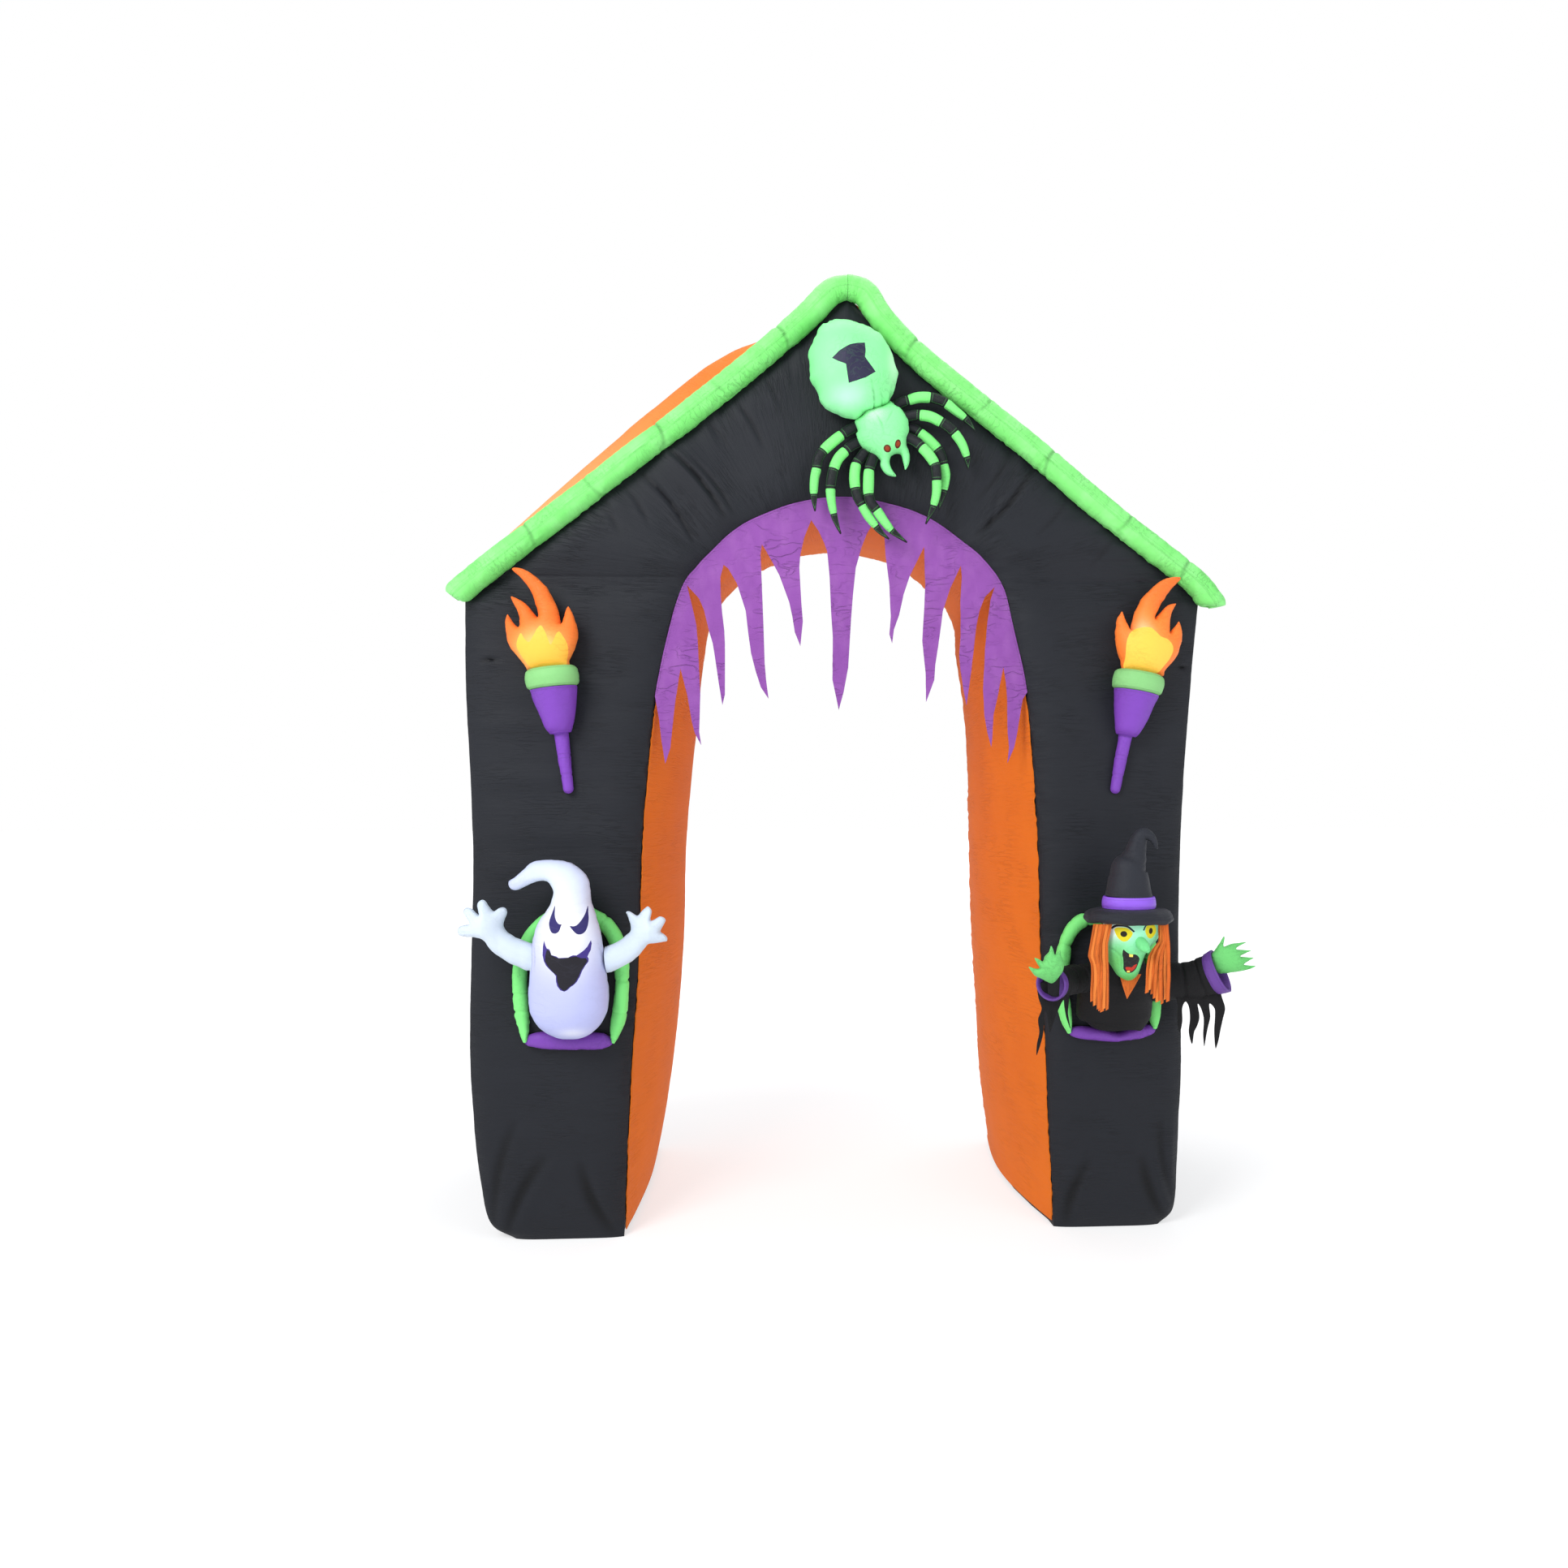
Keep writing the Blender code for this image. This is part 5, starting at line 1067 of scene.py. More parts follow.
def puffPiece(name, outline, seed, swell, stand, prints=(), cell=0.0045, wave=0.0007, pucker=0.0014,
              reach=0.026, pitch=0.011, slack=0.0012, creases=(), free=False):
    # two panels sewn along one outline and blown up: the front swells more than the wall side
    border = softenWave(smoothLoop(outline, cell), seed, wave)
    printed = [smoothLoop(lines, 0.0022) if soft else densify(lines, 0.0025) for lines, soft, _ in prints]
    flat, faces = fillOutline(border, cell, seed, printed)
    gap, run = besideBorder(flat, border)
    inner = np.nonzero(gap >= 1e-5)[0]
    height = swell * blownHeight(flat, faces, gap < 1e-5)
    axis, table = stand
    middle = wallY - np.interp(flat[:, 0 if axis == "x" else 1], *np.array(sorted(table)).T)
    backIndex = np.arange(len(flat))
    backIndex[inner] = len(flat) + np.arange(len(inner))
    front, back = (np.stack([flat[:, 0], middle + side * height, flat[:, 1]], axis=1) for side in (-1, 1))
    points = np.concatenate([front, back[inner]])
    allFaces = np.concatenate([faces, backIndex[faces][:, ::-1]])
    flatAll, runAll = (np.concatenate([part, part[inner]]) for part in (flat, run))
    away = np.hypot(height, gap)
    away = np.concatenate([away, away[inner]])
    normal = vertexNormals(points, allFaces)
    relief = puckers(runAll, away, seed + 3, pucker, reach, pitch)
    relief += puckers(runAll, away, seed + 7, pucker * 0.8, reach * 2.2, pitch * 2.3)
    relief += slack * softNoise(flatAll[:, 0] / 0.05, flatAll[:, 1] / 0.06,
        seed + 11) * np.clip(away / 0.03, 0, 1)
    folds = creaseHeight(flatAll[:, 0], flatAll[:, 1], creases)
    folds[len(flat):] = 0
    points += normal * (relief + folds)[:, None]
    if not free:
        points[:, 1] = np.minimum(points[:, 1], wallY - archSet["gap"])
    paint = np.zeros(len(allFaces))
    centre = flat[faces].mean(axis=1)
    for number, (lines, (_, _, over)) in enumerate(zip(printed, prints), 1):
        inside = insidePolygon(centre[:, 0], centre[:, 1], lines)
        if over:
            inside &= paint[:len(faces)] == over
        paint[:len(faces)][inside] = number
    piece = addMesh(name, points, allFaces.tolist(), flatAll, away, runAll, paint)
    # painted shade in the crease troughs of the puffed shape
    setValues(piece, "sunkShade", np.clip(-folds / 0.006, 0, 0.7))
    return piece


def loftPiece(name, rows, seed, place=None, spacing=0.004, domes=(1.0, 1.0), sides=32, upright=False,
              pucker=0.0012, reach=0.016, pitch=0.011, endPucker=0.0016, endReach=0.022, endPitch=0.009,
              slack=0.0012, seamTurns=(0.0,
                  math.pi), ringSeams=(), ringDent=0.0022, pinches=(), pinchTurn=0.0,
              bands=(), hollow=False, free=False):
    # a stuffed tube or bag through oval sections: rows of x, distance off the wall, z, width and depth radius
    rows = np.array(rows, float)
    rows[:, 1] = wallY - rows[:, 1]
    fine, fineRun = smoothPath(rows, 0.0008)
    length = fineRun[-1]
    places = np.linspace(0, length, max(int(length / spacing), 3) + 1)
    ends = ((domes[0] * rows[0, 3], 0), (domes[1] * rows[-1, 3], length))
    for dome, start in ends:
        if dome:
            bend = dome * (1 - np.cos(np.linspace(0, math.pi / 2, 8)))
            places = np.append(places[np.abs(places - start) > dome], np.abs(start - bend))
    places = np.minimum(np.unique(np.round(places, 7)), length)
    path = np.stack([np.interp(places, fineRun, column) for column in fine.T], axis=1)
    ahead, behind = (np.stack([np.interp(places + step, fineRun, column) for column in fine.T[:3]], axis=1)
                     for step in (0.003, -0.003))
    tangent = unit(ahead - behind)
    if upright:
        tangent[:] = (0, 0, 1)
    forward = unit(np.array([0, -1.0, 0]) + tangent * tangent[:, 1:2])
    across = np.cross(tangent, forward)
    angles = np.linspace(0, 2 * math.pi, sides, endpoint=False)
    shrink = np.ones(len(places))
    for dome, start in ends:
        if dome:
            near = np.clip(1 - np.abs(places - start) / dome, 0, 1)
            shrink *= np.sqrt(np.maximum(1 - near ** 2, 1e-4))
    shrink = shrink[:, None]
    radius = (path[:, 3, None] + path[:, 4, None]) / 2
    run, around = places[:, None], angles * radius
    endGap = np.minimum(run, length - run)
    easeIn = np.clip(endGap / 0.02, 0, 1)
    sewnSides = [np.abs(np.angle(np.exp(1j * (angles - turn)))) for turn in seamTurns]
    sideGap = np.minimum(*sewnSides) * radius
    relief = puckers(run, sideGap, seed, pucker, reach, pitch)
    endGap = np.broadcast_to(endGap, around.shape)
    for share in ringSeams:
        gap = np.abs(run - share * length)
        endGap = np.minimum(endGap, gap)
        relief -= ringDent * np.exp(-(gap / 0.003) ** 2)
    relief += puckers(around, endGap, seed + 5, endPucker, endReach, endPitch) * shrink ** 0.5
    relief += slack * softNoise(run / 0.05, angles[None] / 1.1 + 40, seed + 9) * easeIn
    for share, depth, wide in pinches:
        side = 0.5 + 0.5 * np.cos(angles - pinchTurn)
        relief -= depth * np.exp(-((run - share * length) / wide) ** 2) * (0.45 + 0.55 * side)
    wide, deep = (path[:, column, None] * shrink + relief * shrink for column in (3, 4))
    grid = path[:, None, :3] + across[:, None] * (wide * np.cos(angles))[..., None] \
        + forward[:, None] * (deep * np.sin(angles))[..., None]
    paintRow = np.zeros(len(places))
    for share, number in bands:
        paintRow[places >= share * length] = number
    if hollow:
        # the open end turns in over a lip and closes a little way inside; that closing end carries number 9,
        # which the cuff cloth paints near black as painted shade inside the opening
        centre = path[-1, :3]
        inside = [centre + (grid[-1] - centre) * part - tangent[-1] * back
                  for part, back in ((0.955, -0.0012), (0.90, 0.0), (0.86, 0.004), (0.82, 0.024))]
        grid = np.concatenate([grid, inside])
        run = np.concatenate([run, length + np.array([[0.001], [0.003], [0.006], [0.026]])])
        paintRow = np.concatenate([paintRow, paintRow[-1:], paintRow[-1:], paintRow[-1:], [9.0]])
        endGap = np.concatenate([endGap, np.full((4, sides), 0.03)])
        sideGap, around = (np.concatenate([part, np.repeat(part[-1:], 4, axis=0)])
                           for part in (sideGap, around))
    if place:
        grid = place(grid)
    if not free:
        grid[..., 1] = np.minimum(grid[..., 1], wallY - archSet["gap"])
    paint = np.concatenate([np.repeat(paintRow[:-1], sides), [paintRow[0], paintRow[-1]]])
    seamRun = np.where(endGap < sideGap, around, run)
    piece = addMesh(name, grid.reshape(-1, 3), tubeFaces(len(grid), sides), clothPlaces(around, run),
                    np.minimum(endGap, sideGap), seamRun, paint)
    turnFacesOut(piece)
    return piece


def hangCloth(name, outline, seed, off, fold, foldPitch, thick, soft=True):
    # a cut sheet that hangs in soft upright folds
    cell = 0.004
    border = smoothLoop(outline, cell) if soft else densify(outline, cell)
    flat, faces = fillOutline(border, cell, seed, ())
    gap, run = besideBorder(flat, border)
    x, z = flat[:, 0], flat[:, 1]
    drop = np.clip((z.max() - z) / 0.05, 0, 1)
    folds = softNoise(x / foldPitch, z / 0.09, seed) * fold
    folds += softNoise(x / 0.03, z / 0.03, seed + 2) * fold * 0.4
    y = wallY - off + folds * (0.3 + 0.7 * drop)
    piece = addMesh(name, np.stack([x, y, z], axis=1), faces.tolist(), flat, gap + 0.02, run)
    thicken(piece, thick)
    smoothShade(piece, 60)
    size = flat.max(axis=0) - flat.min(axis=0)
    area = float(np.abs(doubleAreas(flat, faces)).sum() / 2)
    return piece, (float(size[0]) + 0.001, float(size[1]) + 0.001), area


def dressPadded(piece, nodes, material, angle=60):
    smoothShade(piece, angle)
    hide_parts(*nodes)
    return finishPiece(piece, material)


# torches

torchSet = {
    "sides": {
        "left": {"foot": (-0.776, 1.259), "tilt": 7.0},
        "right": {"foot": (0.776, 1.258), "tilt": -10.5},
    },
    # upright rows of x, distance off the wall, height, width and depth radius
    "handle": measured(5,
        0, 9, 0, 13.5, 13.5, 0, 11, 50, 15.5, 15.5, 0, 12, 90, 17, 17, 0, 14, 172, 20.5, 19),
    "cup": measured(5,
        0, 20, 170.5, 28.5, 25.5, 0, 28, 188, 38, 34, 0, 36, 235, 51.5, 46, 0, 45, 294.8, 64.5, 55),
    "collar": measured(5,
        0, 45, 295.4, 63.5, 55, 0, 46, 303, 70, 60, 0, 47, 325, 73.5, 63.5, 0, 46, 344, 70, 60,
        0, 45, 352, 64, 56),
    "flameLeft": measured(2,
        -882, 1600, -884, 1607, -904, 1631, -926, 1660, -937, 1685, -941, 1714, -942, 1737, -936, 1755,
        -928, 1743, -921, 1732, -906, 1718, -902, 1726, -903, 1744, -910, 1766, -919, 1784, -927, 1804,
        -917, 1802, -904, 1795, -890, 1786, -875, 1771, -862, 1755, -853, 1746, -852, 1755, -857, 1775,
        -864, 1800, -873, 1820, -886, 1840, -902, 1858, -915, 1869, -924, 1880, -919, 1884, -904, 1883,
        -888, 1878, -868, 1866, -851, 1852, -835, 1836, -822, 1818, -811, 1798, -802, 1776, -795, 1754,
        -792, 1738, -790, 1728, -783, 1745, -778, 1765, -771, 1778, -764, 1767, -755, 1747, -749, 1729,
        -745, 1709, -747, 1686, -753, 1659, -762, 1641, -768, 1628, -767, 1619, -769, 1605),
    "flameRight": measured(2,
        789, 1610, 786, 1619, 782, 1642, 774, 1665, 770, 1689, 767, 1712, 770, 1739, 774, 1758, 782, 1772,
        787, 1778, 792, 1767, 798, 1749, 805, 1735, 812, 1722, 814, 1737, 819, 1758, 826, 1779, 836, 1800,
        847, 1819, 864, 1836, 880, 1852, 899, 1866, 918, 1874, 935, 1878, 957, 1877, 955, 1869, 946, 1860,
        937, 1852, 925, 1838, 913, 1822, 902, 1803, 892, 1784, 885, 1773, 880, 1755, 887, 1764, 897, 1774,
        909, 1787, 923, 1798, 944, 1802, 942, 1797, 935, 1785, 930, 1771, 925, 1750, 924, 1731, 923, 1715,
        930, 1725, 939, 1734, 946, 1743, 952, 1751, 957, 1741, 961, 1718, 959, 1695, 951, 1667, 939, 1643,
        923, 1625, 909, 1606, 906, 1594),
    "glowLeft": measured(2,
        -864, 1603, -882, 1621, -897, 1644, -904, 1664, -900, 1682, -891, 1698, -880, 1682, -867, 1673,
        -854, 1693, -845, 1711, -836, 1719, -825, 1704, -816, 1682, -809, 1666, -801, 1680, -795, 1696,
        -788, 1703, -777, 1689, -768, 1671, -767, 1647, -771, 1629, -775, 1611, -816, 1605),
    "glowRight": measured(2,
        791, 1613, 790, 1651, 791, 1687, 800, 1710, 816, 1723, 837, 1728, 858, 1726, 870, 1715, 884, 1702,
        907, 1694, 921, 1679, 924, 1663, 914, 1638, 898, 1617, 884, 1601, 837, 1609),
}


def tiltPlace(foot, tilt):
    # turns upright rows about the torch's foot
    turn = math.radians(tilt)

    def place(grid):
        moved = grid.copy()
        moved[..., 0] = foot[0] + grid[..., 0] * math.cos(turn) - grid[..., 2] * math.sin(turn)
        moved[..., 2] = foot[1] + grid[..., 0] * math.sin(turn) + grid[..., 2] * math.cos(turn)
        return moved
    return place


def makeTorch(side):
    size = torchSet["sides"][side]
    place = tiltPlace(size["foot"], size["tilt"])
    seed = 200 if side == "left" else 260
    handle = loftPiece(side + "Handle", torchSet["handle"], seed, domes=(1.0, 0), upright=True,
        pucker=0.0012, reach=0.012, pitch=0.012, ringSeams=(0.30, 0.62), ringDent=0.0014, endPucker=0.0014,
        endReach=0.02, sides=24, place=place)
    dressPadded(handle, ("torch_%s_handle" % side,), purpleCloth)
    cup = loftPiece(side + "Cup", torchSet["cup"], seed + 1, domes=(0, 0), upright=True, pucker=0.0016,
        reach=0.02, pitch=0.014, endPucker=0.0034, endReach=0.036, endPitch=0.0085, slack=0.0022, sides=56,
        place=place)
    dressPadded(cup, ("torch_%s_cup" % side,), purpleCloth)
    collar = loftPiece(side + "Collar", torchSet["collar"], seed + 2, domes=(0, 0), upright=True,
        pucker=0.0008, endPucker=0.0030, endReach=0.022, endPitch=0.009, ringSeams=(0.0, 1.0),
        ringDent=0.003, sides=64, spacing=0.0025, place=place)
    dressPadded(collar, ("torch_%s_collar" % side,), collarCloth)
    name = side.capitalize()
    flame = puffPiece(side + "Flame", torchSet["flame" + name], seed + 3, swell=0.92,
        stand=("x", ((0, 0.050),)), cell=0.0042, pucker=0.0022, reach=0.024, pitch=0.010,
        wave=0.0009, slack=0.0018, prints=((torchSet["glow" + name], True, 0),))
    dressPadded(flame, ("torch_%s_flame" % side,), flameCloths[side])


# the soft spots paint highlights and lighter areas into the flames: painted light
flameCloths = {
    "left": makeCloth("leftFlameCloth", "flameNylon", glow=0.14, paint=printAndPaintedLight(
        ((0.93, 0.46, 0.055),), (((-0.840, 1.650), (0.060, 0.050), (1.0, 0.72, 0.20), 0.8),))),
    "right": makeCloth("rightFlameCloth", "flameNylon", glow=0.16, paint=printAndPaintedLight(
        ((0.95, 0.50, 0.065),), (((0.838, 1.693), (0.022, 0.040), (1.0, 0.93, 0.60), 0.9),
                                ((0.86, 1.70), (0.08, 0.09), (1.0, 0.34, 0.06), 0.45)))),
}
for side in ("left", "right"):
    makeTorch(side)
print("torches made")


# the spider

spiderSet = {
    "abdomen": measured(2,
        -65, 2571, -47, 2579, -18, 2581, 14, 2579, 39, 2573, 60, 2565, 80, 2554, 101, 2539, 112, 2521,
        124, 2498, 135, 2476, 141, 2451, 141, 2425, 135, 2403, 128, 2382, 121, 2362, 103, 2350, 73, 2340,
        55, 2333, 44, 2321, 23, 2310, 5, 2314, -18, 2320, -38, 2327, -54, 2337, -68, 2351, -77, 2366,
        -82, 2382, -86, 2391, -95, 2402, -102, 2420, -104, 2441, -103, 2457, -107, 2475, -105, 2495,
        -98, 2513, -88, 2534, -80, 2550, -72, 2564),
    "hourglass": measured(2,
        -44, 2452, -23, 2470, 6, 2486, 28, 2493, 48, 2497, 50, 2475, 48, 2455, 61, 2437, 77, 2417,
        50, 2400, 26, 2391, 3, 2384, -1, 2407, -5, 2433, -25, 2441),
    "head": measured(2,
        122, 2364, 131, 2358, 150, 2347, 161, 2334, 173, 2316, 176, 2293, 176, 2277, 171, 2259, 171, 2242,
        175, 2233, 180, 2211, 177, 2188, 167, 2173, 164, 2185, 160, 2203, 154, 2216, 141, 2219, 127, 2210,
        123, 2194, 128, 2175, 142, 2154, 122, 2155, 106, 2166, 97, 2184, 97, 2198, 86, 2209, 70, 2220,
        56, 2229, 42, 2238, 33, 2256, 28, 2272, 33, 2279, 28, 2292, 24, 2306, 27, 2312, 46, 2321, 57, 2334,
        74, 2341, 104, 2351),
    "eyes": (((0.1135, 2.222), (0.0108, 0.0090), -10), ((0.1430, 2.236), (0.0082, 0.0108), -20)),
    # raised seams on the swollen front: start, end, depth and width
    "abdomenSeams": measured(6,
        66, 2391, 76, 2316, 3.4, 2.6, 126, 2389, 114, 2342, 3.4, 2.6, 48, 2306, 84, 2324, 3, 2.6,
        94, 2372, 100, 2330, 2.2, 2.4),
    "headSeams": measured(6, 80, 2320, 101.5, 2264, 2.6, 2.4, 128, 2331, 109.5, 2292, 2.2, 2.2),
    # each leg's middle line from the head to the tip, and how far it stands off the wall
    "legs": {
        "left_1": measured(2,
            40, 2303, 8, 2284, -12, 2270, -40, 2247, -63, 2224, -79, 2198, -83, 2173, -89, 2144, -91, 2105,
            -89, 2080, -87, 2056),
        "left_2": measured(2,
            40, 2253, 17, 2241, -1, 2225, -22, 2202, -35, 2172, -41, 2144, -44, 2117, -42, 2087, -35, 2049,
            -26, 2021, -14, 1993),
        "left_3": measured(2,
            58, 2230, 40, 2205, 29, 2189, 24, 2157, 26, 2120, 33, 2095, 45, 2072, 63, 2041, 84, 2016,
            100, 1998, 123, 1980),
        "left_4": measured(2,
            84, 2224, 72, 2194, 65, 2169, 63, 2137, 63, 2102, 70, 2077, 86, 2057, 107, 2028, 127, 2005,
            148, 1989, 174, 1971),
        "right_1": measured(2,
            134, 2354, 157, 2366, 178, 2372, 206, 2380, 238, 2380, 263, 2374, 284, 2365, 309, 2347,
            337, 2327, 353, 2311, 370, 2291),
        "right_2": measured(2,
            164, 2324, 189, 2328, 208, 2328, 238, 2323, 268, 2308, 289, 2294, 307, 2278, 328, 2249,
            342, 2217, 346, 2201, 349, 2180),
        "right_3": measured(2,
            164, 2299, 192, 2292, 210, 2281, 235, 2261, 259, 2236, 270, 2216, 277, 2193, 284, 2161,
            279, 2122, 272, 2094, 265, 2064),
        "right_4": measured(2,
            162, 2269, 194, 2251, 212, 2233, 231, 2211, 247, 2186, 252, 2163, 254, 2140, 254, 2108,
            247, 2073, 238, 2050, 226, 2022),
    },
    "stands": {"left_1": 0.030, "left_2": 0.032, "left_3": 0.030, "left_4": 0.036,
               "right_1": 0.026, "right_2": 0.036, "right_3": 0.020, "right_4": 0.055},
    "arch": (0.55, 0.72, 0.85, 0.95, 1.0, 1.0, 0.95, 0.85, 0.7, 0.55, 0.4),
    "radii": (0.0148, 0.0150, 0.0150, 0.0152, 0.0150, 0.0146, 0.0140, 0.0128, 0.0105, 0.0068, 0.0022),
}


def ovalRing(middle, size, tilt, count=20):
    turn = math.radians(tilt)
    return tuple((middle[0] + size[0] * math.cos(a) * math.cos(turn) - size[1] * math.sin(a) * math.sin(turn),
                  middle[1] + size[0] * math.cos(a) * math.sin(turn) + size[1] * math.sin(a) * math.cos(turn))
                 for a in np.linspace(0, 2 * math.pi, count, endpoint=False))


def makeSpider():
    abdomen = puffPiece("spiderAbdomen", spiderSet["abdomen"], 301, swell=0.98,
        stand=("x", ((0, 0.062),)), pucker=0.0050, reach=0.034, pitch=0.017, wave=0.0026,
        slack=0.0030, creases=spiderSet["abdomenSeams"], prints=((spiderSet["hourglass"], False, 0),))
    dressPadded(abdomen, ("spider_abdomen",), abdomenCloth)
    eyes = [(ovalRing(*eye), True, 0) for eye in spiderSet["eyes"]]
    pupils = [(ovalRing(middle, (size[0] * 0.62, size[1] * 0.62), tilt), True, 0)
              for middle, size, tilt in spiderSet["eyes"]]
    head = puffPiece("spiderHead", spiderSet["head"], 311, swell=1.10,
        stand=("x", ((0, 0.045),)), cell=0.0036, pucker=0.0022, reach=0.022, pitch=0.011,
        wave=0.0009, creases=spiderSet["headSeams"], prints=eyes + pupils)
    dressPadded(head, ("spider_head", "spider_fang_left", "spider_fang_right"), spiderHeadCloth)
    for name, line in spiderSet["legs"].items():
        stand = spiderSet["stands"][name]
        rows = [(x, 0.0140 + stand * share, z, radius, radius * 0.95)
                for (x, z), share, radius in zip(line, spiderSet["arch"], spiderSet["radii"])]
        bands = [(0, 1)]
        path, run = smoothPath([(row[0], wallY - row[1], row[2]) for row in rows], 0.001)
        joints = (rows[index] for index in (2, 4, 6, 8))
        marks = [float(run[np.argmin(np.hypot(path[:, 0] - row[0], path[:, 2] - row[2]))] / run[-1])
                 for row in joints]
        bands += [(marks[0], 0), (marks[1], 1), (marks[2], 0), (marks[3], 1)]
        leg = loftPiece("spiderLeg_" + name, rows, 320 + len(name) + ord(name[-1]), domes=(0, 0.9),
            spacing=0.0022, sides=24, bands=bands, ringSeams=marks, ringDent=0.0012, endPucker=0.0008,
            endReach=0.010, endPitch=0.007, pucker=0.0007, reach=0.009, slack=0.0006)
        dressPadded(leg, ("spider_leg_" + name,), legCloth)


# the hourglass is print; the soft spots are painted light and shade: pale lit patches low down and on the
# right, darker green along the top
abdomenPrintAndLight = printAndPaintedLight(((0.017, 0.016, 0.045),), (
    ((0.004, 2.350), (0.060, 0.030), (0.48, 0.96, 0.66), 0.6),
    ((0.132, 2.46), (0.018, 0.060), (0.75, 1.0, 0.80), 0.5),
    ((0.03, 2.52), (0.10, 0.03), (0.20, 0.80, 0.27), 0.6)))
abdomenCloth = makeCloth("abdomenCloth", "mintNylon", glow=0.08, folds=(0.028, 0.022, 0.8, 0.14),
                         paint=abdomenPrintAndLight)
# the eyes are print; the soft spot is a painted highlight on the upper left of the head
eyePrintAndHighlight = printAndPaintedLight(
    ((0.10, 0.012, 0.004), (0.10, 0.012, 0.004), (0.30, 0.035, 0.006), (0.30, 0.035, 0.006)),
    (((0.075, 2.325), (0.028, 0.024), (0.72, 1.0, 0.78), 0.6),))
spiderHeadCloth = makeCloth("spiderHeadCloth", "mintNylon", glow=0.06, folds=(0.018, 0.014, 0.6, 0.14),
                            paint=eyePrintAndHighlight)
legCloth = makeCloth("legCloth", "limeNylon", glow=0.03, folds=(0.010, 0.008, 0.4, 0.16),
                     paint=printAndPaintedLight(((0.008, 0.008, 0.012),)))
makeSpider()
print("spider made")


# windows

windowSet = {
    # the stuffed tube's rows of x, z, radius and distance off, and each sill's rows of x, distance
    # off, z and radii
    "ghost": {
        "frame": measured(4,
            -893.5, 566, 4, 30, -897.5, 598, 13.5, 20, -905, 642, 20, 12.5, -909, 690, 20.5, 12.5,
            -911, 740, 20.5, 12.5, -907, 790, 20.5, 12.5, -888, 848, 20.5, 12.5, -842, 902, 20.5, 12.5,
            -765, 935, 20.5, 12.5, -700, 912, 20.5, 12.5, -655, 866, 20.5, 12.5, -633, 805, 20.5, 12.5,
            -627, 740, 20.5, 12.5, -630, 685, 20.5, 12.5, -637, 630, 20, 12.5, -645.5, 592, 14.5, 20,
            -650.5, 561, 4, 30),
        "sill": measured(5,
            -897.5, 11, 566.5, 6, 6, -887, 14, 569, 16, 12, -862, 16, 570.5, 21.5, 18,
            -820, 16, 568, 23.5, 19.5, -765, 16, 566.5, 23.5, 20, -710, 16, 566, 23.5, 20,
            -682, 16, 565.5, 21.5, 18, -665, 14, 563, 15, 13, -654.5, 12, 560, 4, 6),
        "folds": (0.10, 0.155, 0.30, 0.43, 0.60, 0.71, 0.80, 0.90),
    },
    "witch": {
        "frame": measured(4,
            640, 572, 4, 30, 636, 602, 14.5, 19, 629, 650, 19.5, 12.5, 620, 730, 20, 12.5,
            627, 796, 19.5, 12.5, 636, 838, 18, 12.5, 656, 874, 20.5, 12.5, 694, 897, 20.5, 12.5,
            770, 908, 20.5, 12.5, 832, 892, 20.5, 12.5, 868, 845, 20.5, 12.5, 886, 760, 20.5, 12.5,
            892, 680, 20.5, 12.5, 892, 634, 20, 12.5, 891, 606, 15, 19, 889, 582, 4, 30),
        "sill": measured(5,
            639.5, 12, 575, 4, 6, 652, 14, 575, 13, 13, 682, 16, 572.5, 18.5, 19, 725, 16, 568, 18, 20,
            765, 16, 560, 15, 19, 790, 16, 559, 14, 19, 835, 16, 569.5, 18, 20, 866, 16, 574.5, 17, 18,
            884, 14, 579, 12.5, 13, 893.5, 12, 580, 4, 6),
        "folds": (0.13, 0.22, 0.31, 0.43, 0.60, 0.74, 0.87),
    },
}


def makeWindow(who):
    size = windowSet[who]
    seed = 400 if who == "ghost" else 440
    rows = [(x, off, z, radius, radius) for x, z, radius, off in size["frame"]]
    tube = loftPiece(who + "WindowTube", rows, seed, domes=(0.6, 0.6), sides=40, spacing=0.0028,
        pucker=0.0026, reach=0.018, pitch=0.011, slack=0.0024, seamTurns=(0.0, math.pi),
        pinchTurn=math.pi if who == "ghost" else 0.0,
        pinches=[(place, (0.0042, 0.0026, 0.0034)[index % 3], 0.0045)
                 for index, place in enumerate(size["folds"])])
    dressPadded(tube, (who + "_window",), limeCloth)
    sill = loftPiece(who + "Sill", size["sill"], seed + 5, domes=(0.6, 0.6), sides=40, spacing=0.0025,
        pucker=0.0028, reach=0.018, pitch=0.012, slack=0.0014, endPucker=0.0026, endReach=0.03,
        seamTurns=(0.1, math.pi - 0.1))
    keepClear(sill, [who + "WindowTube"])
    dressPadded(sill, (who + "_sill",), sillCloth)


for who in ("ghost", "witch"):
    makeWindow(who)
print("windows made")


# the ghost

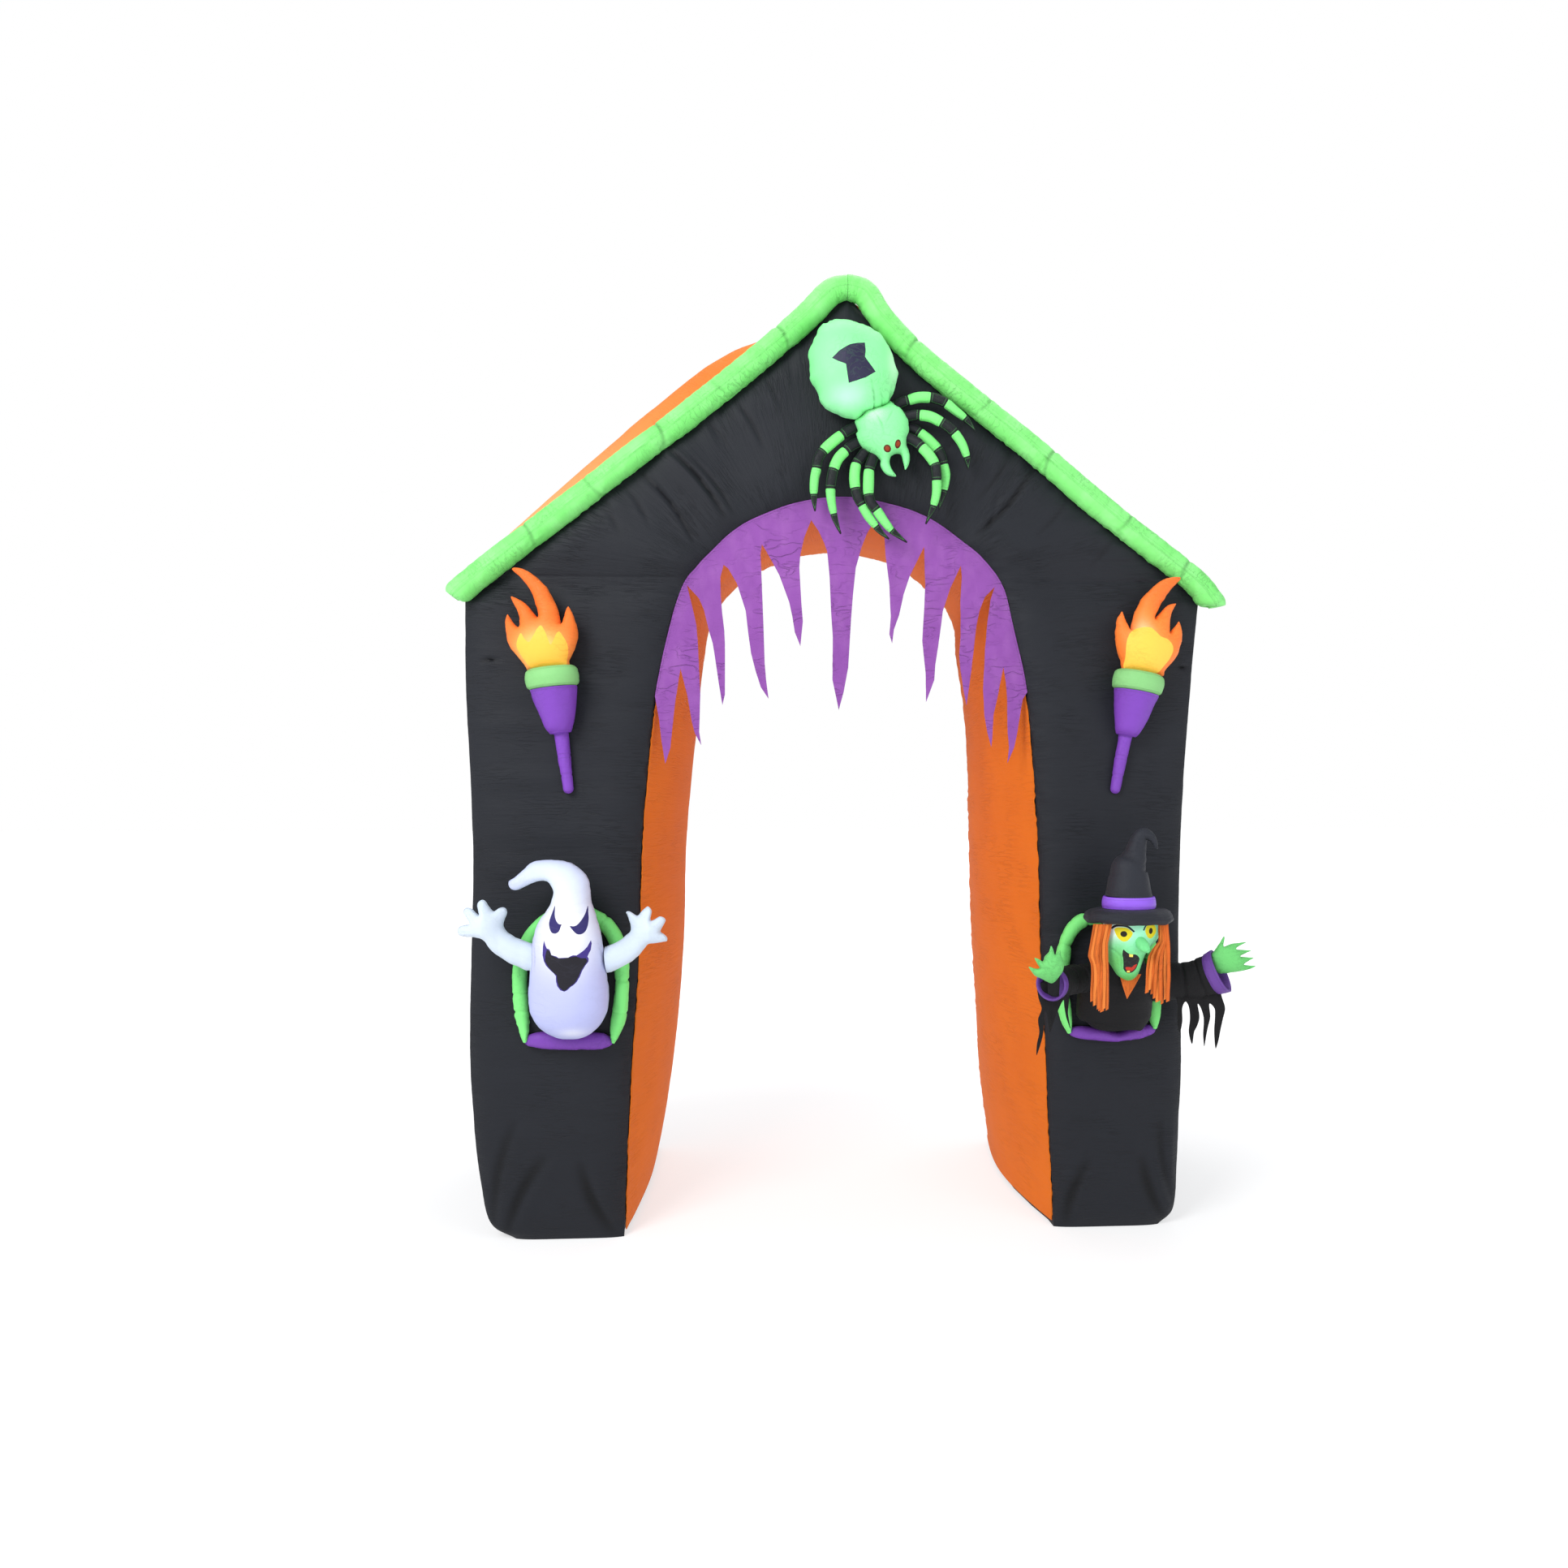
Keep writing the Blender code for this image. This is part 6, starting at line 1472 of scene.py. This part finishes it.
ghostSet = {
    "body": measured(2,
        -917, 1024, -902, 1033, -878, 1055, -858, 1073, -834, 1079, -808, 1080, -775, 1077, -747, 1067,
        -725, 1052, -709, 1033, -703, 1017, -700, 988, -696, 961, -687, 932, -682, 914, -676, 890,
        -672, 865, -668, 836, -665, 800, -661, 767, -656, 731, -655, 698, -659, 664, -670, 636, -685, 616,
        -709, 598, -738, 587, -762, 586, -790, 589, -819, 602, -843, 620, -858, 642, -868, 669, -871, 700,
        -870, 733, -866, 773, -862, 811, -858, 849, -852, 878, -845, 900, -834, 920, -823, 935, -810, 955,
        -802, 975, -799, 993, -804, 1009, -812, 1019, -828, 1023, -845, 1021, -867, 1012, -889, 1001,
        -902, 998, -913, 1002, -919, 1013),
    "armLeft": measured(2,
        -830, 843, -854, 849, -884, 861, -906, 872, -925, 887, -933, 903, -930, 916, -923, 938, -927, 949,
        -935, 952, -945, 949, -956, 942, -963, 949, -972, 965, -979, 973, -986, 974, -994, 967, -996, 956,
        -991, 933, -1001, 941, -1014, 953, -1027, 954, -1033, 945, -1029, 934, -1016, 910, -1029, 908,
        -1044, 902, -1048, 891, -1042, 880, -1025, 875, -1013, 875, -999, 873, -984, 869, -975, 860,
        -964, 842, -949, 824, -934, 813, -914, 799, -891, 788, -875, 779, -860, 778, -830, 779),
    "armRight": measured(2,
        -735, 822, -690, 831, -655, 842, -636, 850, -618, 861, -603, 874, -593, 883, -590, 892, -593, 907,
        -600, 925, -605, 935, -600, 938, -592, 937, -581, 931, -571, 928, -563, 937, -552, 948, -543, 954,
        -535, 948, -532, 940, -535, 916, -524, 919, -510, 926, -499, 924, -494, 917, -497, 909, -506, 893,
        -508, 885, -497, 877, -490, 869, -491, 860, -502, 858, -524, 854, -541, 852, -552, 840, -568, 820,
        -587, 803, -605, 792, -629, 779, -647, 770, -690, 762, -735, 762),
    "eyeLeft": measured(2,
        -788, 959, -793, 947, -799, 928, -802, 913, -799, 898, -793, 888, -783, 886, -774, 892, -769, 905,
        -767, 911, -773, 911, -779, 916, -784, 925, -787, 937),
    "eyeRight": measured(2,
        -703, 957, -701, 940, -699, 924, -701, 903, -707, 889, -716, 883, -727, 884, -738, 895, -745, 906,
        -736, 905, -727, 908, -716, 921, -708, 937),
    "mouth": measured(2,
        -815, 866, -811, 854, -807, 846, -800, 844, -797, 838, -794, 829, -787, 827, -780, 825, -774, 821,
        -759, 822, -749, 822, -744, 825, -737, 828, -728, 827, -720, 832, -709, 840, -701, 849, -696, 859,
        -693, 865, -691, 856, -693, 839, -697, 831, -701, 822, -698, 816, -699, 808, -706, 799, -714, 785,
        -720, 769, -728, 755, -736, 747, -744, 742, -752, 734, -760, 730, -771, 734, -779, 745, -782, 758,
        -782, 772, -787, 779, -798, 789, -809, 800, -815, 811, -819, 827, -818, 851),
    "throat": measured(2,
        -807, 843, -799, 840, -794, 828, -774, 820, -759, 820, -744, 823, -730, 825, -717, 819, -705, 818,
        -701, 810, -717, 785, -723, 769, -733, 752, -747, 742, -755, 734, -763, 732, -774, 742, -779, 758,
        -780, 774, -790, 783, -803, 797, -812, 811, -811, 827),
    "armCut": (-0.6625, 0.800),
    # how far each outline stands off the wall, by its height or by its x
    "bodyStand": ("z", measured(2,
        580, 84, 700, 84, 780, 88, 866, 98, 925, 108, 985, 112, 1030, 112, 1080, 106)),
    "leftStand": ("x", measured(2, -1050, 138, -980, 136, -967, 130, -940, 116, -885, 102, -800, 95)),
    "rightStand": ("x", measured(2,
        -720, 75, -660, 78, -632, 90, -600, 107, -576, 118, -547, 130, -538, 136, -470, 138)),
    "creases": measured(6, -850, 860, -846, 790, 2.2, 2.6, -676, 850, -668, 780, 2.2, 2.6),
}


def makeGhost():
    body = puffPiece("ghostBody", ghostSet["body"], 501, swell=0.86, stand=ghostSet["bodyStand"],
        pucker=0.0018, reach=0.026, pitch=0.013, wave=0.0007, slack=0.0016, cell=0.0045,
        creases=ghostSet["creases"],
        prints=((ghostSet["eyeLeft"], True, 0), (ghostSet["eyeRight"], True, 0),
            (ghostSet["mouth"], False, 0), (ghostSet["throat"], False, 3)))
    dressPadded(body, ("ghost_body",), ghostCloth)
    for side in ("left", "right"):
        arm = puffPiece("ghostArm_" + side, ghostSet["arm" + side.capitalize()],
            511 if side == "left" else 521, swell=0.92, stand=ghostSet[side + "Stand"], cell=0.0036,
            pucker=0.0016, reach=0.016, pitch=0.010, wave=0.0006, slack=0.0012, free=True)
        if side == "right":
            cutOff(arm, (ghostSet["armCut"], (-1.0, 0, -0.10)))
        keepClear(arm, ["ghostBody"])
        dressPadded(arm, ("ghost_arm_" + side,), armCloth)


# the eyes, mouth and throat are print; the soft spots are painted light: the head and the lit face painted
# paler and whiter than the cloth, and a small paler patch near the foot
ghostCloth = makeCloth("ghostCloth", "whiteNylon", folds=(0.06, 0.03, 0.4, 0.05), paint=printAndPaintedLight(
    ((0.028, 0.022, 0.13), (0.028, 0.022, 0.13), (0.050, 0.030, 0.22), (0.011, 0.010, 0.016)),
    (((-0.800, 1.010), (0.13, 0.10), (0.66, 0.75, 0.86), 0.85),
        ((-0.757, 0.880), (0.085, 0.095), (0.86, 0.86, 0.86), 1.0),
     ((-0.745, 0.610), (0.035, 0.014), (0.80, 0.82, 0.90), 0.6))))
armCloth = makeCloth("armCloth", "armNylon", folds=(0.04, 0.03, 0.4, 0.05))
makeGhost()
print("ghost made")


# the witch

witchSet = {
    "head": measured(2,
        713, 926, 708, 899, 706, 870, 709, 843, 714, 819, 721, 796, 732, 778, 743, 760, 758, 749, 773, 744,
        792, 751, 803, 766, 812, 792, 823, 818, 835, 836, 850, 848, 859, 862, 862, 883, 863, 901, 861, 925),
    "headTop": ((0.857, 0.985), (0.711, 0.985)),
    "headCut": 0.912,
    "eyeLeft": measured(2,
        742, 896, 731, 895, 725, 890, 728, 878, 733, 868, 740, 861, 747, 858, 756, 860, 763, 867, 769, 876,
        770, 883, 763, 890, 755, 895),
    "eyeRight": measured(2,
        812, 902, 824, 904, 833, 902, 839, 893, 840, 882, 835, 872, 828, 866, 821, 865, 814, 869, 808, 878,
        805, 886, 807, 896),
    "lidLeft": measured(2,
        717, 891, 725, 901, 737, 904, 749, 903, 760, 900, 769, 893, 776, 886, 772, 884, 766, 889, 758, 895,
        749, 898, 737, 898, 728, 896, 720, 890),
    "lidRight": measured(2,
        799, 889, 803, 899, 812, 906, 823, 909, 836, 907, 835, 904, 824, 905, 812, 903, 806, 896, 802, 888),
    "mouth": measured(2,
        748, 836, 755, 830, 763, 825, 772, 823, 781, 822, 788, 818, 794, 811, 795, 805, 791, 793, 786, 781,
        777, 772, 765, 769, 758, 773, 752, 782, 751, 794, 749, 809, 746, 823),
    "toothUp": measured(2, 763, 824, 774, 822, 774, 815, 764, 816),
    "toothLow": measured(2, 761, 776, 769, 777, 770, 771, 762, 771),
    "tongue": measured(2,
        757, 786, 764, 787, 773, 786, 780, 792, 788, 794, 786, 787, 780, 779, 772, 774, 770, 778, 760, 778),
    "headStand": ("z", measured(2, 740, 160, 800, 152, 900, 150, 1000, 150)),
    "cheeks": measured(6, 712, 842, 741, 818, 2.4, 2.4, 741, 820, 746, 792, 2.2, 2.4),
    "nose": measured(5,
        787, 198, 869, 8, 11, 792, 213, 858, 14.5, 13, 798, 226, 847, 16, 11.5, 805, 232, 837, 10.8, 8.5,
        809, 233, 830, 4.2, 4.8),
    "robe": measured(5,
        762, 46, 582, 40, 28, 762, 46, 590, 68, 34, 764, 44, 604, 94, 40, 765, 44, 632, 108, 50,
        765, 52, 690, 108, 60, 770, 70, 748, 100, 62, 778, 100, 790, 62, 44, 780, 120, 815, 36, 30),
    "brim": measured(5,
        777, 148, 905.5, 86, 68, 777, 148, 904, 104, 85, 777, 148, 907.5, 117.5, 96,
        777, 148, 917, 123.5, 101, 777, 148, 929, 118.5, 97, 777, 148, 938.5, 104, 86,
        777, 148, 943, 80, 67),
    "band": measured(5,
        779, 148, 943.4, 73.5, 63.5, 779, 148, 959, 74.5, 64.5, 779, 148, 975, 71.5, 61.5),
    "crown": measured(5,
        779, 148, 975.4, 66.5, 59, 780, 148, 1002, 60, 54, 780.5, 148, 1027, 55, 50,
        781.5, 148, 1052, 49, 45, 790, 148, 1071, 39.5, 38, 796, 150, 1088, 32.5, 31,
        800.5, 152, 1108, 26.2, 25, 806, 155, 1130, 22.5, 21.5, 816, 158, 1146, 17.5, 16.5,
        832, 160, 1143, 13, 12.5, 845, 162, 1128, 8.5, 8, 854, 164, 1106, 3, 3),
    "sleeves": {
        "left": measured(5,
            705, 55, 735, 40, 36, 640, 105, 740, 41, 38, 588, 160, 742, 41, 40, 562, 192, 743, 40, 40),
        "right": measured(5,
            830, 55, 722, 52, 36, 920, 62, 723, 54, 42, 985, 73, 730, 53.5, 46, 1030, 86, 745, 56, 49),
    },
    "cuffs": {
        "left": measured(5,
            561.5, 192.7, 743, 42.5, 42, 554, 202, 743.3, 45, 44.5, 546.4, 212, 743.6, 44, 43.5),
        "right": measured(5,
            1030.4, 86.2, 745.2, 53, 46, 1034, 88.5, 747, 59.5, 52, 1044, 94, 752, 62.5, 55,
            1056, 101, 758.5, 64, 56),
    },
    "handLeft": measured(2,
        479, 798, 495, 793, 509, 794, 501, 807, 494, 822, 506, 818, 517, 812, 522, 825, 532, 837, 538, 854,
        545, 842, 549, 830, 558, 837, 563, 841, 566, 826, 574, 805, 571, 784, 559, 762, 547, 749, 531, 755,
        516, 763, 498, 772, 486, 786),
    "handRight": measured(2,
        1029, 798, 1041, 818, 1052, 835, 1065, 857, 1067, 850, 1064, 827, 1086, 835, 1109, 838, 1128, 840,
        1113, 832, 1098, 821, 1124, 818, 1141, 816, 1128, 810, 1109, 800, 1132, 797, 1148, 796, 1136, 789,
        1118, 777, 1135, 774, 1153, 773, 1140, 765, 1113, 758, 1086, 754, 1067, 752, 1052, 751, 1037, 764,
        1031, 783),
    "leftStand": ("z", measured(2, 740, 218, 757, 232, 782, 246, 806, 250, 860, 256)),
    "rightStand": ("x", ((1.03, 0.097), (1.09, 0.104), (1.15, 0.110))),
    "ragsLeft": measured(2,
        519, 741, 606, 740, 604, 690, 600.5, 660, 607.5, 617, 596, 648, 591, 676, 588, 696, 572, 665,
        563, 638, 550, 607, 545, 630, 543, 656, 536, 668, 535, 634, 532, 603, 525, 572, 515, 545, 516, 575,
        522, 608, 519, 643, 528, 672, 519, 705),
    "ragsRight": measured(2,
        933, 721, 1052, 720, 1061, 701, 1063, 686, 1073, 652, 1067, 618, 1058, 580, 1050, 547, 1046, 536,
        1042, 569, 1042, 592, 1045, 629, 1043, 650, 1028, 664, 1030, 626, 1023, 592, 1018, 562, 1014, 542,
        1011, 578, 1012, 622, 1004, 652, 994, 664, 998, 626, 991, 601, 984, 585, 978, 550, 969, 585,
        972, 623, 969, 655, 960, 670, 950, 652, 950, 615, 943, 583, 936, 606, 936, 657),
    "collar": measured(2, 751, 760, 764, 722, 778, 688, 795, 722, 812, 760),
    # the left and right edge of each side's hair by height, and each strip's foot, width and distance off
    "hair": {
        "left": {"low": measured(2, 907, 666, 854, 658, 818, 651, 796, 658, 667, 659),
                 "high": measured(2, 907, 720, 853, 707, 817, 708, 769, 710, 667, 708),
                 "strips": measured(3,
            695, 8.5, 196, 684, 9.5, 204, 699, 7.5, 198, 676, 11, 207, 690, 8, 200, 671, 9.5, 205,
            667, 11, 199, 674, 8, 206, 682, 7.5, 197, 671, 8.5, 202)},
        "right": {"low": measured(2, 907, 846, 856, 846, 836, 828, 816, 816, 779, 811, 700, 805),
                  "high": measured(2, 907, 871, 871, 875, 816, 878, 690, 879),
                  "strips": measured(3,
            716, 9.5, 197, 724, 8, 204, 713, 9, 199, 702, 8.5, 206, 692, 10, 201, 697, 9.5, 207,
            686, 8, 198, 699, 7.5, 203, 693, 9.5, 208)},
    },
    "hairTop": 0.9046, "hairThick": 0.0013,
}


def makeHead():
    outline = witchSet["head"][1:-1]
    top = ((0.8615, 0.927), (0.860, 0.957), *witchSet["headTop"], (0.708, 0.957), (0.708, 0.927))
    prints = [(witchSet[name], soft, over) for name, soft, over in (
        ("eyeLeft", True, 0), ("eyeRight", True, 0), ("lidLeft", True, 0), ("lidRight", True, 0),
        ("mouth", True, 0), ("tongue", True, 5), ("toothUp", False, 0), ("toothLow", False, 0))]
    for name, size in (("eyeLeft", (0.0085, 0.0080)), ("eyeRight", (0.0060, 0.0085))):
        points = np.array(witchSet[name])
        middle = (points.min(axis=0) + points.max(axis=0)) / 2
        prints.append((ovalRing(tuple(middle + (0.0, 0.0015)), size, 0), True, 0))
    head = puffPiece("witchHead", tuple(outline) + top, 601, swell=1.06, stand=witchSet["headStand"],
        cell=0.0034, pucker=0.0014, reach=0.014, pitch=0.009, wave=0.0004, slack=0.0016, free=True,
        creases=witchSet["cheeks"], prints=prints)
    cutOff(head, ((0, witchSet["headCut"]), (0, 0, 1)))
    dressPadded(head, ("witch_head",), faceCloth)
    nose = loftPiece("witchNose", witchSet["nose"], 611, domes=(0.8, 1.0), sides=24, spacing=0.002,
        pucker=0.0006, reach=0.006, slack=0.0008, endPucker=0.0004, free=True)
    dressPadded(nose, ("witch_nose",), noseCloth)


def makeHat():
    def droop(spots):
        # the brim's edge hangs in uneven waves about the hat's middle
        hatMiddle, crownWide, brimWide = (0.767, -0.467), 0.078, 0.05
        x, y = (spots[:, axis] - hatMiddle[axis] for axis in range(2))
        turn = np.arctan2(y, x)
        far = np.clip((np.hypot(x, y) - crownWide) / brimWide, 0, 1)
        wave = 0.0046 * np.sin(2 * turn + 0.6) + 0.0030 * np.sin(5 * turn + 1.0) + 0.0018 * np.sin(11 * turn)
        spots[:, 2] += far * (wave - 0.0015)

    brim = loftPiece("witchBrim", witchSet["brim"], 621, domes=(0, 0), upright=True, sides=96,
        spacing=0.0018, pucker=0.0, slack=0.0010, ringSeams=(0.5,), ringDent=0.0020, endPucker=0.0036,
        endReach=0.030, endPitch=0.012, free=True)
    movePoints(brim, droop)
    dressPadded(brim, ("witch_hat_brim",), hatCloth)
    band = loftPiece("witchBand", witchSet["band"], 631, domes=(0, 0), upright=True, sides=72,
        spacing=0.0022, pucker=0.0, slack=0.0005, endPucker=0.0009, endReach=0.010, ringSeams=(0.0, 1.0),
        ringDent=0.0010, free=True)
    dressPadded(band, ("witch_hat_band",), bandCloth)
    crown = loftPiece("witchCrown", witchSet["crown"], 641, domes=(0, 0.9), sides=56, spacing=0.003,
        pucker=0.0030, reach=0.022, pitch=0.011, slack=0.0026, endPucker=0.0018, endReach=0.02, free=True,
        ringSeams=(0.44,), ringDent=0.0022)
    dressPadded(crown, ("witch_hat_crown",), hatCloth)


def makeRobe():
    robe = loftPiece("witchRobe", witchSet["robe"], 651, domes=(0.3, 0), sides=48, spacing=0.005,
        pucker=0.0026, reach=0.03, slack=0.0030, endPucker=0.003, endReach=0.035)
    dressPadded(robe, ("witch_robe",), robeCloth)
    for side in ("left", "right"):
        seed = 661 if side == "left" else 681
        sleeve = loftPiece("witchSleeve_" + side, witchSet["sleeves"][side], seed, domes=(0, 0), sides=44,
            spacing=0.0035, pucker=0.0026, reach=0.02, pitch=0.013, slack=0.0028, endPucker=0.0034,
            endReach=0.035, endPitch=0.012, free=True,
            pinches=((0.33, 0.006, 0.006), (0.62, 0.005, 0.005), (0.86, 0.004, 0.004)), pinchTurn=1.2)
        dressPadded(sleeve, ("witch_sleeve_" + side,), robeCloth)
        cuff = loftPiece("witchCuff_" + side, witchSet["cuffs"][side], seed + 3, domes=(0, 0), sides=56,
            spacing=0.0025, pucker=0.0012, reach=0.012, slack=0.0016, endPucker=0.0026, endReach=0.018,
            endPitch=0.010, free=True, hollow=True)
        dressPadded(cuff, ("witch_cuff_" + side,), cuffCloth)
        hand = puffPiece("witchHand_" + side, witchSet["hand" + side.capitalize()], seed + 5, swell=0.80,
            stand=witchSet[side + "Stand"], cell=0.0032, pucker=0.0014, reach=0.012, pitch=0.008,
            wave=0.0004, slack=0.0014, free=True)
        dressPadded(hand, ("witch_hand_" + side,), handCloth)
        outline = witchSet["rags" + side.capitalize()]
        rags, flat, area = hangCloth("witchRags_" + side, outline, seed + 7,
            off=0.180 if side == "left" else 0.086, fold=0.0045, foldPitch=0.014, thick=0.0012)
        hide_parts("witch_rags_" + side)
        finishPiece(rags, robeCloth)


def makeHair(side):
    # strips of cut cloth that hang under the brim, each bowed and turned a little
    shape, top = witchSet["hair"][side], witchSet["hairTop"]
    shares = np.array((-1.0, -0.86, -0.4, 0.0, 0.4, 0.86, 1.0))
    down = np.linspace(0, 1, 44)
    fade = np.clip(down * 3, 0, 1)
    points, uv, away, faces, shades = [], [], [], [], []
    for number, (footZ, wide, off) in enumerate(shape["strips"]):
        seed = 700 + number * 7 + (50 if side == "right" else 0)
        z = top + (footZ - top) * down
        low, high = (np.interp(z, *np.array(shape[name][::-1]).T) for name in ("low", "high"))
        middle = low + wide * 0.45 + (high - low - wide * 0.9) * ((number + 0.5) / len(shape["strips"]))
        middle = middle + 0.0026 * softNoise(down * 3.2, 0.5, seed) * fade
        depth = off + 0.0055 * softNoise(down * 3.0 + 9, 0.5, seed + 1) * fade
        turn = 0.32 * softNoise(down * 2.2 + 5, 0.5, seed + 2) * fade
        width = wide * (1 + 0.10 * softNoise(down * 6, 0.5, seed + 3)) / 2
        middle, depth, turn, width, z = (part[:, None] for part in (middle, depth, turn, width, z))
        reach = shares * width
        y = wallY - depth - 0.0006 * (1 - shares * shares) + reach * np.sin(turn)
        slanted = z + 0.0022 * shares * (down == 1)[:, None]
        points.append(np.stack([middle + reach * np.cos(turn), y, slanted], axis=2).reshape(-1, 3))
        uv.append(clothPlaces(reach + number * 0.03, z))
        away.append((1 - np.abs(shares)) * width + 0.004)
        strands = gridFaces(len(down), len(shares), start=number * reach.size)
        faces += strands
        shades += [number % 3 + 1] * len(strands)
    hair = addMesh("witchHair_" + side, np.concatenate(points), faces, np.concatenate(uv), away, paint=shades)
    # painted shade along both edges of each strip, between the strips
    setValues(hair, "sunkShade", np.tile(np.where(np.abs(shares) == 1, 0.35, 0.0), len(down) * len(points)))
    thicken(hair, witchSet["hairThick"])
    turnFacesOut(hair)
    smoothShade(hair, 50)
    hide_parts("witch_hair_" + side)
    finishPiece(hair, hairCloth)
    wide, tall = sum(strip[1] for strip in shape["strips"]), top - min(strip[0] for strip in shape["strips"])


def makeCollar():
    def lean(spots):
        spots[:, 1] -= 0.020 * np.clip((spots[:, 2] - 0.690) / 0.07, 0, 1)

    collar, flat, area = hangCloth("witchCollar", witchSet["collar"], 761, off=0.1345, fold=0.0012,
                                   foldPitch=0.03, soft=False, thick=0.0016)
    movePoints(collar, lean)
    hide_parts("witch_collar")
    finishPiece(collar, hairCloth)


# the eyes, lids, mouth, tongue, teeth and pupils are print; the soft spots are painted light and shade: a
# paler mint upper face, a painted highlight high on the left cheek, and darker green painted shade on the
# lower cheek and the jaw
facePrintLightAndShade = printAndPaintedLight(
    ((0.70, 0.60, 0.012), (0.70, 0.60, 0.012), (0.010, 0.008, 0.022), (0.010, 0.008, 0.022),
     (0.012, 0.010, 0.012), (0.50, 0.028, 0.012), (0.90, 0.72, 0.12), (0.85, 0.62, 0.10),
     (0.012, 0.008, 0.004), (0.012, 0.008, 0.004)),
    (((0.785, 0.890), (0.085, 0.050), (0.36, 0.88, 0.60), 0.9),
     ((0.720, 0.888), (0.036, 0.026), (0.80, 0.90, 0.90), 1.0),
     ((0.735, 0.800), (0.020, 0.045), (0.14, 0.52, 0.12), 0.8),
     ((0.775, 0.752), (0.05, 0.016), (0.10, 0.42, 0.07), 0.9)))
faceCloth = makeCloth("faceCloth", "skinNylon", glow=0.05, folds=(0.022, 0.016, 0.4, 0.10), paint=facePrintLightAndShade)
noseCloth = makeCloth("noseCloth", "skinNylon", glow=0.08)
handCloth = makeCloth("handCloth", "handNylon", folds=(0.020, 0.012, 0.7, 0.25))
hatCloth = makeCloth("hatCloth", "hatNylon")
robeCloth = makeCloth("robeCloth", "robeNylon")
bandCloth = makeCloth("bandCloth", "bandNylon")
# number 9 is the closing end inside each cuff's opening, painted near black: painted shade
cuffCloth = makeCloth("cuffCloth", "cuffNylon", paint=printAndPaintedLight([None] * 8 + [(0.008, 0.008, 0.010)]))
hairCloth = makeCloth("hairCloth", "hairCloth", thread=0.0018, folds=(0.005, 0.05, 0.8, 0.35),
    paint=printAndPaintedLight(
    (None, (0.84, 0.23, 0.040), (0.66, 0.13, 0.018))))
makeHead()
makeHat()
makeRobe()
for side in ("left", "right"):
    makeHair(side)
makeCollar()
print("witch made")


# floor, light and camera

stageSet = {
    "camera": (-0.1661, -3.7738, 1.286), "turn": -3.6, "lens": 27.84, "shift": -0.0533,
    "floor": (0.45, 0.45, 0.45), "floorGlow": 0.62, "sky": (0.93, 0.95, 1.0), "skyStrength": 0.62,
    # each soft light: place, where it points, size and watts
    "lights": {
        "key": ((-2.8, -4.0, 4.2), (0.0, 0.0, 1.3), 2.4, 210),
        "fill": ((3.4, -4.0, 2.6), (0.1, 0.0, 1.1), 2.6, 44),
        "top": ((0.3, 0.9, 5.2), (0.0, 0.2, 1.5), 3.0, 90),
    },
}


def dressStage():
    bpy.ops.mesh.primitive_plane_add(size=60, location=(0, 0, 0))
    floor = bpy.context.object
    floor.name = "paleFloor"
    material = bpy.data.materials.new("paleFloor")
    material.use_nodes = True
    tree = material.node_tree
    paper = tree.nodes["Principled BSDF"].inputs
    paper["Base Color"].default_value = (*stageSet["floor"], 1)
    for name, value in (("Roughness", 1.0), ("Specular IOR Level", 0.0), ("Emission Strength", 1.0)):
        paper[name].default_value = value
    place = addNode(tree, "TexCoord", None).outputs["Object"]
    far = addNode(tree, "VectorMath", "LENGTH", place).outputs["Value"]
    whiter = maths(tree, "MULTIPLY", maths(tree, "SUBTRACT", far, 1.2), 0.28, clamp=True)
    tree.links.new(mixColour(tree, whiter, (stageSet["floorGlow"],) * 3, (1.0, 1.0, 1.0)),
        paper["Emission Color"])
    floor.data.materials.append(material)
    scene = bpy.context.scene
    scene.world = bpy.data.worlds.new("studio")
    scene.world.use_nodes = True
    tree = scene.world.node_tree
    sky = tree.nodes["Background"]
    sky.inputs["Color"].default_value = (*stageSet["sky"], 1)
    sky.inputs["Strength"].default_value = stageSet["skyStrength"]
    backdrop = addNode(tree, "Background", None, (1, 1, 1, 1))    # a plain white paper behind the arch
    ray = addNode(tree, "LightPath").outputs["Is Camera Ray"]
    choice = addNode(tree, "MixShader")
    for source, target in zip((ray, sky.outputs[0], backdrop.outputs[0]), choice.inputs):
        tree.links.new(source, target)
    tree.links.new(choice.outputs[0], tree.nodes["World Output"].inputs[0])
    for name, (place, target, size, watts) in stageSet["lights"].items():
        lamp = bpy.data.lights.new(name, "AREA")
        lamp.size = size
        lamp.energy = watts
        holder = bpy.data.objects.new(name, lamp)
        holder.location = place
        holder.rotation_euler = (Vector(target) - Vector(place)).to_track_quat("-Z", "Y").to_euler()
        scene.collection.objects.link(holder)
    lens = bpy.data.cameras.new("view")
    lens.lens, lens.sensor_width, lens.shift_x = stageSet["lens"], 36, stageSet["shift"]
    scene.camera = bpy.data.objects.new("view", lens)
    scene.camera.location = stageSet["camera"]
    scene.camera.rotation_euler = (math.radians(90), 0, math.radians(stageSet["turn"]))
    scene.collection.objects.link(scene.camera)
    scene.view_settings.view_transform = "Standard"
    scene.view_settings.look = "None"


dressStage()
print("stage set")
